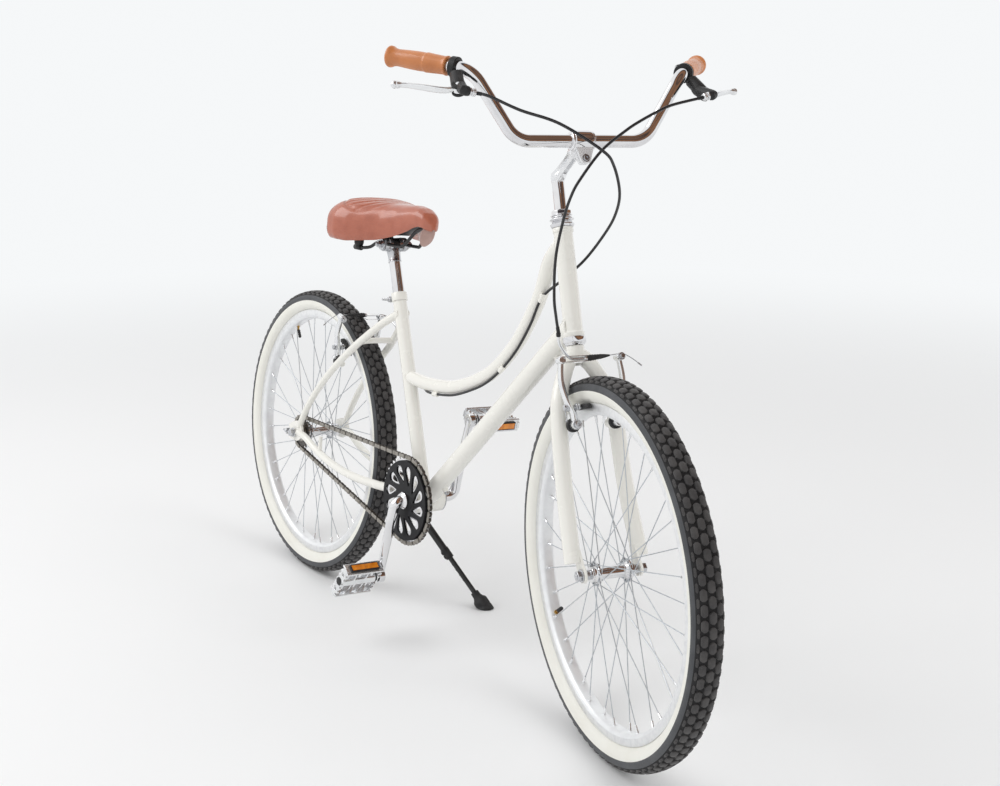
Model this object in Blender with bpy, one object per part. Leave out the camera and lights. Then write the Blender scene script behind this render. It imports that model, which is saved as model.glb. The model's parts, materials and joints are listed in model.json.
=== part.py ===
"""A step-through bicycle parked on its side stand, in metres.

Bike frame: +X forward, +Y to the rider's left, +Z up, origin under the rear axle. The fork, bar and
front wheel are drawn in a steering frame whose Z is the head tube's axis and whose X points forward.
The whole bike then leans onto its stand, both tyres and the stand's foot touching z = 0.
"""
import math

import bmesh
import bpy
from mathutils import Matrix, Vector

# Clearances
GAP = 0.0003
RUNNING_GAP = 0.0005

# Parked pose
LEAN = math.radians(5.56)
STEER_TURNED = math.radians(-14.0)
CRANK_TURNED = math.radians(10.3)
PEDAL_TILT_RIGHT = math.radians(-62.0)
PEDAL_TILT_LEFT = math.radians(-2.0)

# Frame geometry
WHEELBASE = 1.090
CHAIN_STAY_REACH = 0.480
BOTTOM_BRACKET_HEIGHT = 0.297
HEAD_ANGLE = math.radians(72.3)
SEAT_ANGLE = math.radians(69.0)
FORK_OFFSET = 0.0495
HEAD_TUBE_BOTTOM = 0.407
HEAD_TUBE_LENGTH = 0.193
SEAT_TUBE_LENGTH = 0.418
TOP_TUBE_ON_SEAT_TUBE = 0.537

# Screws and bosses on the frame
BOSS_RADIUS = 0.0055
SCREW_HEAD_RADIUS = 0.0042
SCREW_HEAD_HEIGHT = 0.0050

# Tube radii
STEERER_RADIUS = 0.0127
QUILL_RADIUS = STEERER_RADIUS - 0.0016
HEAD_BORE = STEERER_RADIUS + 0.0025
HEAD_TUBE_RADIUS = HEAD_BORE + 0.0018
FACET_GAP = 0.0007
BAR_RADIUS = 0.0111
BAR_BORE = BAR_RADIUS + 0.0006
DOWN_TUBE_RADIUS = 0.0190
TOP_TUBE_RADIUS = 0.0138
SEAT_POST_RADIUS = 0.0127
SEAT_TUBE_RADIUS = SEAT_POST_RADIUS + 0.0020
CHAIN_STAY_RADIUS = 0.0100
CHAIN_STAY_TAPER = 0.0022
SHELL_RADIUS = 0.0285
SHELL_WIDTH = 0.068
SHELL_BORE = SHELL_RADIUS - 0.0033
CABLE_RADIUS = 0.0024

# Wheels
TYRE_RADIUS = 0.3335
TYRE_HALF_WIDTH = 0.0260
RIM_RADIUS = 0.2862
RIM_BED_RADIUS = 0.2660
RIM_HALF_WIDTH = 0.0150
RIM_WALL = 0.0022
RIM_WELL_DEPTH = 0.0082
WHEEL_FACETS = 24
SPOKE_COUNT = 36
SPOKE_CROSSES = 3
SPOKE_RADIUS = 0.0013
FLANGE_RADIUS = 0.0200
AXLE_RADIUS = 0.00475
FRONT_HUB_WIDTH = 0.100
REAR_HUB_WIDTH = 0.115
FRONT_SHELL_HALF = 0.0390
REAR_SHELL_HALF = 0.0495
VALVE_RADIUS = 0.0035
FRONT_VALVE_ANGLE = math.radians(198.0)
REAR_VALVE_ANGLE = math.radians(112.0)

# Drive
CHAIN_PITCH = 0.0127
CHAINRING_TEETH = 44
FREEWHEEL_TEETH = 18
CHAIN_LINE = 0.0435
CHAIN_HALF_HEIGHT = 0.0040
CHAIN_HALF_WIDTH = 0.0038
SPROCKET_THICKNESS = 0.0030
GUARD_RADIUS = 0.0820
GUARD_WINDOWS = 12
CRANK_LENGTH = 0.170
CRANK_OUT = 0.078
CRANK_ARM_RADIUS = 0.0080
GUARD_OUT = 0.0500
SPINDLE_RADIUS = 0.0115
PEDAL_SPINDLE_RADIUS = 0.0065
PEDAL_IN = 0.0870
PEDAL_LENGTH = 0.087
PEDAL_WIDTH = 0.086
PEDAL_HEIGHT = 0.024
PEDAL_NUT_RADIUS = 0.0078
PEDAL_CAP_DEPTH = 0.0060

# Handlebar, in the steering frame: forward, left, up the head axis
BAR_CENTRE = Vector((0.1086, 0.0, 0.724))
BAR_LOW_BEND = Vector((0.1086, 0.119, 0.724))
BAR_HIGH_BEND = Vector((0.129, 0.192, 0.835))
BAR_END = Vector((0.0235, 0.2915, 0.8915))
BAR_BEND_RADIUS = 0.045
GRIP_LENGTH = 0.1145
GRIP_CAP = 0.0030
LEVER_CLAMP_OUT = 0.0315
LEVER_ADJUSTER = Vector((0.1722, 0.2055, 0.7823))
LEVER_PIN_RADIUS = 0.0026
LEVER_PIVOT = Vector((0.1456, 0.2247, 0.7975))
LEVER_TIP = Vector((0.0995, 0.3154, 0.8179))

# Brakes
STUD_RADIUS = 0.0040
STUD_OUT = 0.040
FRONT_ARM_BOW = 0.0175
REAR_ARM_BOW = 0.0115
FRONT_ARM_HEIGHT = 0.110
REAR_ARM_HEIGHT = 0.101
FRONT_STUD_HEIGHT = 0.252
REAR_STUD = Vector((0.170, 0.0, 0.5245))
REAR_ARM_TILT = math.radians(14.5)
PAD_GAP = 0.0028
PAD_LENGTH = 0.050
PAD_BLOCK_HEIGHT = 0.0090
PAD_HEIGHT = 0.0300
PAD_POST_RADIUS = 0.0045
FRONT_ARM_PLANE = 0.054

# Saddle, along X and up from the floor
RAIL_RADIUS = 0.0035
RAIL_OUT = 0.022
RAIL_HEIGHT = 0.804
RAIL_REAR_HEIGHT = 0.7875
SADDLE_RECESS = 0.22
SADDLE_SHELL = 0.0040
CROWN_STEPS = 6
SEAT_POST_OUT = 0.108
SEAT_POST_IN = 0.110

# Stand
STAND_HINGE = Vector((0.3045, 0.0538, 0.2648))
STAND_FOOT = Vector((0.4536, 0.1931, 0.0248))
STAND_PIN_RADIUS = 0.0035
STAND_TUBE_RADIUS = 0.0080
STAND_ROD_RADIUS = 0.0055
STAND_TUBE_LENGTH = 0.185

# Brake cables and their curved guides: front ones in the steering frame, rear ones in the bike frame
# as parked
CABLE_STEP = 0.036
CABLE_END_GAP = 0.00155
FRONT_NOODLE = [Vector((0.0662, -0.0120, 0.3620)), Vector((0.0662, -0.0360, 0.3622)),
                Vector((0.0680, -0.0460, 0.3665)), Vector((0.0765, -0.0590, 0.3775)),
                Vector((0.0865, -0.0690, 0.3895)), Vector((0.0950, -0.0718, 0.4046))]
FRONT_CABLE = [Vector((0.1010, -0.0758, 0.4300)), Vector((0.1110, -0.0800, 0.4620)),
               Vector((0.1240, -0.0760, 0.5243)), Vector((0.1400, -0.0626, 0.5833)),
               Vector((0.1572, -0.0523, 0.6188)), Vector((0.1637, -0.0359, 0.6449)),
               Vector((0.1724, 0.0040, 0.6901)), Vector((0.1778, 0.0498, 0.7225)),
               Vector((0.1763, 0.0809, 0.7400)), Vector((0.1750, 0.1123, 0.7550)),
               Vector((0.1739, 0.1433, 0.7676))]
REAR_CABLE_FREE = [Vector((WHEELBASE - 0.1555, -0.228, 1.0960)), Vector((WHEELBASE - 0.115, -0.195, 1.078)),
                   Vector((WHEELBASE - 0.072, -0.148, 1.062)), Vector((WHEELBASE - 0.047, -0.079, 1.027)),
                   Vector((WHEELBASE - 0.055, -0.045, 1.005)), Vector((WHEELBASE - 0.084, -0.002, 0.961)),
                   Vector((WHEELBASE - 0.123, 0.026, 0.922)), Vector((WHEELBASE - 0.165, 0.040, 0.884)),
                   Vector((WHEELBASE - 0.210, 0.038, 0.835)), Vector((WHEELBASE - 0.238, 0.012, 0.795))]
REAR_CABLE_END = [Vector((0.468, -0.004, 0.5200)), Vector((0.440, 0.009, 0.5180)),
                  Vector((0.408, 0.0165, 0.5225)), Vector((0.385, 0.0185, 0.5320)),
                  Vector((0.368, 0.0185, 0.5500)), Vector((0.352, 0.0210, 0.5720)),
                  Vector((0.330, 0.0300, 0.5870)), Vector((0.290, 0.0450, 0.5960)),
                  Vector((0.250, 0.0600, 0.6020))]
REAR_NOODLE = [Vector((0.1570, 0.0155, 0.6320)), Vector((0.1570, 0.0440, 0.6322)),
               Vector((0.1573, 0.0570, 0.6320)), Vector((0.1630, 0.0665, 0.6300)),
               Vector((0.1760, 0.0705, 0.6250)), Vector((0.1960, 0.0715, 0.6160)),
               Vector((0.2160, 0.0690, 0.6080))]
CABLE_MEETS_TUBE = WHEELBASE - 0.252
CABLE_STOPS = (0.509, WHEELBASE - 0.3816, WHEELBASE - 0.2504)
CABLE_LEAVES_TUBE = 0.490

RIGHT = -1
LEFT = 1
SIDES = {RIGHT: "right", LEFT: "left"}

WHITE_PAINT = ("white_paint", (0.86, 0.84, 0.76), 0.25, 0.0)
CHROME = ("chrome", (0.80, 0.80, 0.80), 0.10, 1.0)
STEEL = ("zinc_steel", (0.62, 0.62, 0.62), 0.35, 1.0)
ALLOY = ("alloy", (0.78, 0.79, 0.80), 0.25, 1.0)
BLACK_PLASTIC = ("black_plastic", (0.02, 0.02, 0.02), 0.45, 0.0)
BLACK_PAINT = ("black_paint", (0.02, 0.02, 0.02), 0.35, 0.0)
RUBBER = ("rubber", (0.025, 0.025, 0.027), 0.75, 0.0)
TYRE_RUBBER = ("tyre_rubber", (0.03, 0.03, 0.033), 0.80, 0.0)
TAN_LEATHERETTE = ("tan_leatherette", (0.52, 0.22, 0.11), 0.40, 0.0)
TAN_GRIP = ("tan_grip", (0.62, 0.27, 0.08), 0.40, 0.0)
DARK_STEEL = ("dark_steel", (0.16, 0.14, 0.12), 0.45, 1.0)


# Plain shapes: each is a pair of a vertex list and a face list

def merge(*shapes):
    """Several shapes as one list of vertices and faces."""
    vertices, faces = [], []
    for shape_vertices, shape_faces in shapes:
        start = len(vertices)
        vertices.extend(shape_vertices)
        faces.extend(tuple(start + index for index in face) for face in shape_faces)
    return vertices, faces


def moved(shape, matrix):
    """The shape carried by a matrix."""
    return [matrix @ Vector(vertex) for vertex in shape[0]], shape[1]


def circle(radius, sides, phase=0.0):
    """Points round a circle, as pairs."""
    angles = [phase + math.tau * index / sides for index in range(sides)]
    return [(radius * math.cos(angle), radius * math.sin(angle)) for angle in angles]


def lathe(profile, segments, phase=0.0, closed=True):
    """Profile of (along Y, radius) turned round Y; a closed loop, or a chain ending on the axis."""
    vertices, rings = [], []
    for along, radius in profile:
        if radius == 0.0:
            rings.append([len(vertices)] * segments)
            vertices.append(Vector((0.0, along, 0.0)))
            continue
        rings.append(list(range(len(vertices), len(vertices) + segments)))
        vertices.extend(Vector((x, along, z)) for x, z in circle(radius, segments, phase))
    faces = []
    last = len(rings) if closed else len(rings) - 1
    for row in range(last):
        near, far = rings[row], rings[(row + 1) % len(rings)]
        for column in range(segments):
            after = (column + 1) % segments
            corners = [near[column], near[after], far[after], far[column]]
            unique = tuple(dict.fromkeys(corners))
            if len(unique) > 2:
                faces.append(unique)
    return vertices, faces


def cylinder(start, end, radius, sides=12, end_radius=None):
    """Solid round bar between two points."""
    return pipe([start, end], [radius, radius if end_radius is None else end_radius], sides)


def sweep(points, sections):
    """Closed body through one section polygon per point, each in the frame carried along the path."""
    points = [Vector(point) for point in points]
    tangents = []
    for index in range(len(points)):
        before, after = points[max(index - 1, 0)], points[min(index + 1, len(points) - 1)]
        tangents.append((after - before).normalized())
    helper = Vector((0.0, 0.0, 1.0)) if abs(tangents[0].z) < 0.9 else Vector((1.0, 0.0, 0.0))
    across = tangents[0].cross(helper).normalized()
    vertices, faces = [], []
    count = len(sections[0])
    for index, (point, tangent, section) in enumerate(zip(points, tangents, sections)):
        across = (across - tangent * across.dot(tangent)).normalized()
        upward = across.cross(tangent)
        vertices.extend(point + across * u + upward * v for u, v in section)
        if index:
            low, high = (index - 1) * count, index * count
            for side in range(count):
                after = (side + 1) % count
                faces.append((low + side, low + after, high + after, high + side))
    faces.append(tuple(range(count)))
    faces.append(tuple(range(len(vertices) - count, len(vertices))))
    return vertices, faces


def pipe(points, radii, sides=12):
    """Round bar along a path, with one radius or one per point."""
    if not isinstance(radii, (list, tuple)):
        radii = [radii] * len(points)
    return sweep(points, [circle(radius, sides) for radius in radii])


def box(low, high):
    """Box between two corners."""
    (x0, y0, z0), (x1, y1, z1) = low, high
    vertices = [Vector((x, y, z)) for x in (x0, x1) for y in (y0, y1) for z in (z0, z1)]
    faces = [(0, 1, 3, 2), (4, 6, 7, 5), (0, 4, 5, 1), (2, 3, 7, 6), (0, 2, 6, 4), (1, 5, 7, 3)]
    return vertices, faces


def slab(outline, low, high, holes=()):
    """Plate in the XZ plane from y = low to y = high, with holes through it."""
    work = bmesh.new()
    edges = []
    for loop in (outline, *holes):
        ring = [work.verts.new((x, low, z)) for x, z in loop]
        edges.extend(work.edges.new((ring[index - 1], ring[index])) for index in range(len(ring)))
    bmesh.ops.triangle_fill(work, use_beauty=True, use_dissolve=False, edges=edges)
    pushed = bmesh.ops.extrude_face_region(work, geom=work.faces[:])
    top = [item for item in pushed["geom"] if isinstance(item, bmesh.types.BMVert)]
    bmesh.ops.translate(work, verts=top, vec=(0.0, high - low, 0.0))
    work.verts.index_update()
    shape = [vertex.co.copy() for vertex in work.verts], [tuple(v.index for v in f.verts) for f in work.faces]
    work.free()
    return shape


def rounded_path(corners, radius, steps=5):
    """Straight runs joined by arcs of one bend radius."""
    corners = [Vector(corner) for corner in corners]
    path = [corners[0]]
    for before, corner, after in zip(corners, corners[1:], corners[2:]):
        back, ahead = (before - corner).normalized(), (after - corner).normalized()
        half = back.angle(ahead) / 2.0
        reach = radius / math.tan(half)
        centre = corner + (back + ahead).normalized() * (radius / math.sin(half))
        start = corner + back * reach - centre
        turn = math.pi - 2.0 * half
        axis = start.cross(corner + ahead * reach - centre).normalized()
        for step in range(steps + 1):
            path.append(centre + Matrix.Rotation(turn * step / steps, 3, axis) @ start)
    path.append(corners[-1])
    return path


def smooth_route(knots, spacing):
    """Evenly stepped points on the smooth curve through the knots."""
    knots = [Vector(knot) for knot in knots]
    ends = [2.0 * knots[0] - knots[1], *knots, 2.0 * knots[-1] - knots[-2]]
    fine = []
    for p0, p1, p2, p3 in zip(ends, ends[1:], ends[2:], ends[3:]):
        for step in range(24):
            t = step / 24.0
            fine.append(0.5 * ((2 * p1) + (p2 - p0) * t + (2 * p0 - 5 * p1 + 4 * p2 - p3) * t ** 2
                               + (3 * p1 - p0 - 3 * p2 + p3) * t ** 3))
    fine.append(knots[-1])
    lengths = [0.0]
    for before, after in zip(fine, fine[1:]):
        lengths.append(lengths[-1] + (after - before).length)
    count = max(2, round(lengths[-1] / spacing))
    route, row = [], 0
    for step in range(count + 1):
        wanted = lengths[-1] * step / count
        while row < len(fine) - 2 and lengths[row + 1] < wanted:
            row += 1
        share = (wanted - lengths[row]) / (lengths[row + 1] - lengths[row])
        route.append(fine[row].lerp(fine[row + 1], share))
    return route


# Meshes, materials and objects

def mesh_from(shape):
    """Blender mesh of one shape, faces pointing out."""
    work = bmesh.new()
    corners = [work.verts.new(vertex) for vertex in shape[0]]
    for face in shape[1]:
        work.faces.new([corners[index] for index in face])
    bmesh.ops.recalc_face_normals(work, faces=work.faces[:])
    mesh = bpy.data.meshes.new("shape")
    work.to_mesh(mesh)
    work.free()
    return mesh


def combined(base, operands, operation):
    """Mesh left when each operand is joined to the base or cut out of it."""
    scene_objects = bpy.context.scene.collection.objects
    block = bpy.data.objects.new("block", base)
    scene_objects.link(block)
    tools = []
    for mesh in operands:
        tool = bpy.data.objects.new("tool", mesh)
        scene_objects.link(tool)
        tools.append(tool)
        modifier = block.modifiers.new("combine", "BOOLEAN")
        modifier.operation = operation
        modifier.solver = "EXACT"
        modifier.object = tool
    depsgraph = bpy.context.evaluated_depsgraph_get()
    result = bpy.data.meshes.new_from_object(block.evaluated_get(depsgraph))
    for thing in (block, *tools):
        bpy.data.objects.remove(thing)
    return result


def united(*shapes):
    """One mesh of overlapping shapes."""
    meshes = [mesh_from(shape) for shape in shapes]
    return combined(meshes[0], meshes[1:], "UNION") if len(meshes) > 1 else meshes[0]


def cut(mesh, *shapes):
    """The mesh with each shape taken out."""
    return combined(mesh, [mesh_from(shape) for shape in shapes], "DIFFERENCE")


def material(finish):
    """Principled material of a finish, made once."""
    name, colour, roughness, metallic = finish
    if name not in bpy.data.materials:
        made = bpy.data.materials.new(name)
        made.use_nodes = True
        shader = made.node_tree.nodes["Principled BSDF"]
        shader.inputs["Base Color"].default_value = (*colour, 1.0)
        shader.inputs["Roughness"].default_value = roughness
        shader.inputs["Metallic"].default_value = metallic
        made.diffuse_color = (*colour, 1.0)
    return bpy.data.materials[name]


def piece(name, mesh, finish, parent, matrix=None):
    """Named object of a mesh (or a plain shape), placed in its parent's frame."""
    if isinstance(mesh, tuple):
        mesh = mesh_from(mesh)
    mesh.name = name
    mesh.materials.clear()
    mesh.materials.append(material(finish))
    mesh.shade_smooth()
    mesh.set_sharp_from_angle(angle=math.radians(38.0))
    thing = bpy.data.objects.new(name, mesh)
    bpy.context.scene.collection.objects.link(thing)
    thing.parent = parent
    thing.matrix_basis = matrix or Matrix.Identity(4)
    return thing


def pivot(name, parent, matrix):
    """Empty on a joint's axis."""
    thing = bpy.data.objects.new(name, None)
    bpy.context.scene.collection.objects.link(thing)
    thing.parent = parent
    thing.matrix_basis = matrix
    return thing


def axes_matrix(x_axis, y_axis, z_axis, origin):
    """Matrix from three unit axes and an origin."""
    matrix = Matrix((x_axis, y_axis, z_axis)).transposed().to_4x4()
    matrix.translation = origin
    return matrix


# Frames shared by several pieces

HEAD_AXIS = Vector((-math.cos(HEAD_ANGLE), 0.0, math.sin(HEAD_ANGLE)))
HEAD_FORWARD = Vector((math.sin(HEAD_ANGLE), 0.0, math.cos(HEAD_ANGLE)))
HEAD_FOOT = Vector((WHEELBASE, 0.0, TYRE_RADIUS)) - HEAD_FORWARD * FORK_OFFSET
SEAT_AXIS = Vector((-math.cos(SEAT_ANGLE), 0.0, math.sin(SEAT_ANGLE)))
BOTTOM_BRACKET = Vector((CHAIN_STAY_REACH, 0.0, BOTTOM_BRACKET_HEIGHT))
REAR_AXLE_POINT = Vector((0.0, 0.0, TYRE_RADIUS))
HEAD_TUBE_TOP = HEAD_TUBE_BOTTOM + HEAD_TUBE_LENGTH
SEAT_TUBE_TOP = BOTTOM_BRACKET + SEAT_AXIS * SEAT_TUBE_LENGTH
GRIP_AXIS = (BAR_END - BAR_HIGH_BEND).normalized()


def on_head(along, forward=0.0, side=0.0):
    """Point of the bike frame from steering-frame coordinates, wheel straight ahead."""
    return HEAD_FOOT + HEAD_AXIS * along + HEAD_FORWARD * forward + Vector((0.0, side, 0.0))


def on_seat_tube(height):
    """Point of the seat tube's axis at a height above the floor."""
    return BOTTOM_BRACKET + SEAT_AXIS * ((height - BOTTOM_BRACKET_HEIGHT) / SEAT_AXIS.z)


def mirrored(point, side):
    """The point with its Y turned to the given side."""
    return Vector((point[0], side * point[1], point[2]))


# Wheels

def rim_profile():
    """Closed rim section: flanges, bead well and spoke bed."""
    lip = RIM_HALF_WIDTH - RIM_WALL
    half = [(RIM_HALF_WIDTH, RIM_RADIUS), (RIM_HALF_WIDTH - 0.0008, RIM_BED_RADIUS + 0.0050),
            (0.0090, RIM_BED_RADIUS)]
    inner = [(lip, RIM_RADIUS - RIM_WELL_DEPTH), (lip, RIM_RADIUS)]
    back = [(-y, r) for y, r in reversed(half)]
    well = [(-y, r) for y, r in reversed(inner)]
    return half + back + well + inner


def tyre_profile():
    """Closed tyre section: beads inside the rim's flanges, round tread, hollow for the tube."""
    bead = RIM_HALF_WIDTH - RIM_WALL - GAP
    wide = TYRE_HALF_WIDTH
    outer = [(bead, 0.2800), (bead, RIM_RADIUS + 0.0007), (wide, 0.2990), (wide, 0.3150),
             (0.0150, TYRE_RADIUS - 0.0025)]
    hollow = [(-0.0085, 0.2800), (-0.0205, 0.3010), (-0.0130, TYRE_RADIUS - 0.0085)]
    back = [(-y, r) for y, r in reversed(outer)]
    return outer + [(0.0, TYRE_RADIUS)] + back + hollow + [(-y, r) for y, r in reversed(hollow)]


def tube_profile():
    """Closed inner-tube section, a little inside the tyre's hollow."""
    half = [(0.0095, 0.2890), (0.0126, TYRE_RADIUS - 0.0089)]
    return half + [(-y, r) for y, r in reversed(half)]


def valve_direction(angle):
    """Unit vector from the hub towards the valve."""
    return Vector((math.cos(angle), 0.0, math.sin(angle)))


def spokes(right_flange, left_flange):
    """All the spokes of a wheel, crossed three times, heads in and out of each flange in turn."""
    bars = []
    per_side = SPOKE_COUNT // 2
    step = math.tau / per_side
    reach = RIM_BED_RADIUS * math.cos(math.pi / WHEEL_FACETS) - 2 * GAP
    for side, flange in ((RIGHT, right_flange), (LEFT, left_flange)):
        for index in range(per_side):
            lead = 1 if index % 2 == 0 else -1
            hub_angle = step * index + (step / 2 if side == LEFT else 0.0)
            rim_angle = hub_angle + lead * SPOKE_CROSSES * step
            start = Vector((math.cos(hub_angle), 0.0, math.sin(hub_angle))) * (FLANGE_RADIUS - 0.0035)
            end = Vector((math.cos(rim_angle), 0.0, math.sin(rim_angle))) * reach
            start.y = flange + lead * 0.0017
            end.y = side * 0.0030 + lead * 0.0013
            bars.append(cylinder(start, end, SPOKE_RADIUS, 3))
    return merge(*bars)


def hub_and_spokes(name, parent, right_flange, left_flange, half_shell, nose):
    """Hub shell with two drilled flanges and its spokes, open for the axle."""
    bore = AXLE_RADIUS + 2 * GAP
    profile = [(-half_shell, bore), (-half_shell, nose), (right_flange - 0.0025, nose),
               (right_flange - 0.0015, FLANGE_RADIUS), (right_flange + 0.0015, FLANGE_RADIUS),
               (right_flange + 0.0025, 0.0105), (left_flange - 0.0025, 0.0105),
               (left_flange - 0.0015, FLANGE_RADIUS), (left_flange + 0.0015, FLANGE_RADIUS),
               (left_flange + 0.0025, nose), (half_shell, nose), (half_shell, bore)]
    mesh = united(lathe(profile, 8), spokes(right_flange, left_flange))
    return piece(name, mesh, ALLOY, parent)


def build_wheel(prefix, parent, flanges, half_shell, nose, valve_angle):
    """Hub, spokes, rim, inner tube with its valve, and tyre, all turning on one axle."""
    phase = math.pi / WHEEL_FACETS
    toward = valve_direction(valve_angle)
    hub_and_spokes(f"{prefix}_hub_and_spokes", parent, *flanges, half_shell, nose)
    rim = mesh_from(lathe(rim_profile(), WHEEL_FACETS, phase))
    hole = cylinder(toward * 0.255, toward * 0.282, VALVE_RADIUS + 2 * GAP, 8)
    piece(f"{prefix}_rim", cut(rim, hole), ALLOY, parent)
    stem = cylinder(toward * 0.236, toward * 0.294, VALVE_RADIUS, 8)
    tube = united(lathe(tube_profile(), WHEEL_FACETS, phase), stem)
    piece(f"{prefix}_inner_tube", tube, RUBBER, parent)
    return piece(f"{prefix}_tyre", lathe(tyre_profile(), WHEEL_FACETS, phase), TYRE_RUBBER, parent)


def sprocket_outline(teeth, pitch_radius, arc_step):
    """Low teeth that stay inside the chain's inner face at any angle."""
    tip = (pitch_radius - CHAIN_HALF_HEIGHT) * math.cos(arc_step / 2) - GAP
    outline = []
    for tooth in range(teeth):
        angle = math.tau * tooth / teeth
        for share, radius in ((0.0, tip), (0.5, tip - 0.0022)):
            turn = angle + share * math.tau / teeth
            outline.append((radius * math.cos(turn), radius * math.sin(turn)))
    return outline


def pitch_radius(teeth):
    """Pitch radius of a chain sprocket."""
    return CHAIN_PITCH / (2.0 * math.sin(math.pi / teeth))


CHAIN_ARC_STEP = math.radians(15.0)


def axle_with_nuts(hub_width, plate, overhang, shell_half):
    """Axle, the cones inside the fork or frame ends and the hexagon nuts outside them."""
    inner = hub_width / 2 - GAP
    outer = hub_width / 2 + plate + 2 * GAP
    shapes = [cylinder((0, -overhang, 0), (0, overhang, 0), AXLE_RADIUS, 10)]
    for side in (RIGHT, LEFT):
        shapes.append(cylinder((0, side * (shell_half + GAP), 0), (0, side * inner, 0), 0.0082, 8))
        shapes.append(cylinder((0, side * outer, 0), (0, side * (outer + 0.0075), 0), 0.0092, 6))
    return shapes


# Frame

DROPOUT_PLATE = 0.005
DROPOUT_IN = REAR_HUB_WIDTH / 2
DROPOUT_OUT = DROPOUT_IN + DROPOUT_PLATE
DOWN_TUBE_START = BOTTOM_BRACKET + Vector((0.0065, 0.0, 0.0))
DOWN_TUBE_END = on_head(HEAD_TUBE_BOTTOM + 0.0195)


def top_tube_path():
    """Centre line of the curved tube from the seat tube to the upper head tube."""
    start = on_seat_tube(TOP_TUBE_ON_SEAT_TUBE)
    knots = [start, (0.452, 0, 0.5350), (0.5185, 0, 0.5400), (0.5664, 0, 0.5490),
             (WHEELBASE - 0.4575, 0, 0.5735), (WHEELBASE - 0.3992, 0, 0.6060),
             (WHEELBASE - 0.3397, 0, 0.6625), (WHEELBASE - 0.3017, 0, 0.7180),
             (WHEELBASE - 0.2755, 0, 0.7680), (WHEELBASE - 0.2560, 0, 0.8300),
             on_head(HEAD_TUBE_TOP - 0.022)]
    return smooth_route(knots, 0.058)


def chain_stay_path(side):
    """Drooping stay from the bottom bracket shell to the rear end."""
    knots = [(0.470, 0.020, 0.297), (0.405, 0.0265, 0.298), (0.345, 0.0365, 0.294),
             (0.269, 0.0465, 0.292), (0.190, 0.0530, 0.297), (0.110, 0.0565, 0.312),
             (0.045, 0.0600, 0.334), (0.014, 0.0600, 0.336)]
    return smooth_route([mirrored(knot, side) for knot in knots], 0.078)


def chain_stay_radii():
    """Radius at each point of a chain stay, tapering to the rear end."""
    last = len(chain_stay_path(LEFT)) - 1
    return [CHAIN_STAY_RADIUS - CHAIN_STAY_TAPER * index / last for index in range(last + 1)]


def seat_stay_path(side):
    """Stay from the seat tube round the wheel to the rear end."""
    knots = [(0.343, 0.006, 0.664), (0.300, 0.026, 0.632), (0.226, 0.0445, 0.573),
             (0.150, 0.0510, 0.512), (0.090, 0.0560, 0.452), (0.048, 0.0590, 0.400),
             (0.018, 0.0600, 0.352)]
    return smooth_route([mirrored(knot, side) for knot in knots], 0.082)


def dropout(side):
    """Rounded end plate with a slot open to the rear for the axle."""
    x0, z0 = REAR_AXLE_POINT.x, REAR_AXLE_POINT.z
    slot = AXLE_RADIUS + RUNNING_GAP
    outline = [(x0 - 0.030, z0 - 0.018), (x0 + 0.012, z0 - 0.018), (x0 + 0.034, z0 - 0.004),
               (x0 + 0.034, z0 + 0.016), (x0 + 0.016, z0 + 0.030), (x0 - 0.012, z0 + 0.024),
               (x0 - 0.030, z0 + 0.014), (x0 - 0.030, z0 + slot)]
    arc = [(x0 + slot * math.cos(math.radians(angle)), z0 + slot * math.sin(math.radians(angle)))
           for angle in (90, 50, 10, -30, -70, -90)]
    outline += arc + [(x0 - 0.030, z0 - slot)]
    low, high = sorted((side * DROPOUT_IN, side * DROPOUT_OUT))
    return slab(outline, low, high)


def screw_boss(point, outward, reach):
    """Painted boss with its screw head, standing off a tube."""
    top = point + outward * reach
    boss = cylinder(point, top, BOSS_RADIUS, 8)
    screw = cylinder(top - outward * 0.001, top + outward * SCREW_HEAD_HEIGHT, SCREW_HEAD_RADIUS, 6)
    return [boss, screw]


def stud_shape(frame, base):
    """Boss, pivot stud and bolt head as one turned shape, in a brake arm's frame."""
    profile = [(base, 0.0), (base, 0.0075), (0.0120, 0.0075), (0.0120, STUD_RADIUS), (-0.0098, STUD_RADIUS),
               (-0.0098, 0.0068), (-0.0128, 0.0068), (-0.0128, 0.0)]
    to_x = axes_matrix(Vector((0, 0, 1)), Vector((1, 0, 0)), Vector((0, 1, 0)), Vector((0, 0, 0)))
    return moved(lathe(profile, 8, closed=False), frame @ to_x)


def rear_arm_frame(side):
    """Frame of a rear brake arm: Z up the arm, Y to the left, origin on the stud in the arm's plane."""
    upward = Vector((math.sin(REAR_ARM_TILT), 0.0, math.cos(REAR_ARM_TILT)))
    forward = Vector((math.cos(REAR_ARM_TILT), 0.0, -math.sin(REAR_ARM_TILT)))
    origin = mirrored((REAR_STUD.x, STUD_OUT, REAR_STUD.z), side) - forward * 0.027
    return axes_matrix(forward, Vector((0, 1, 0)), upward, origin)


def front_arm_frame(side):
    """Frame of a front brake arm in the steering frame: X back to the blade, Z up the arm."""
    return axes_matrix(Vector((-1, 0, 0)), Vector((0, -1, 0)), Vector((0, 0, 1)),
                       Vector((FRONT_ARM_PLANE, side * STUD_OUT, FRONT_STUD_HEIGHT)))


def cable_line():
    """Where the rear brake cable lies under the curved tube, a little to the drive side."""
    reach = TOP_TUBE_RADIUS + CABLE_RADIUS + 0.0016
    points = top_tube_path()
    line = []
    for before, point, after in zip(points, points[1:], points[2:]):
        tangent = (after - before).normalized()
        below = Vector((tangent.z, 0.0, -tangent.x))
        lean = math.radians(28.0)
        line.append(point + below * reach * math.cos(lean) + Vector((0, -reach * math.sin(lean), 0)))
    return line


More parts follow.
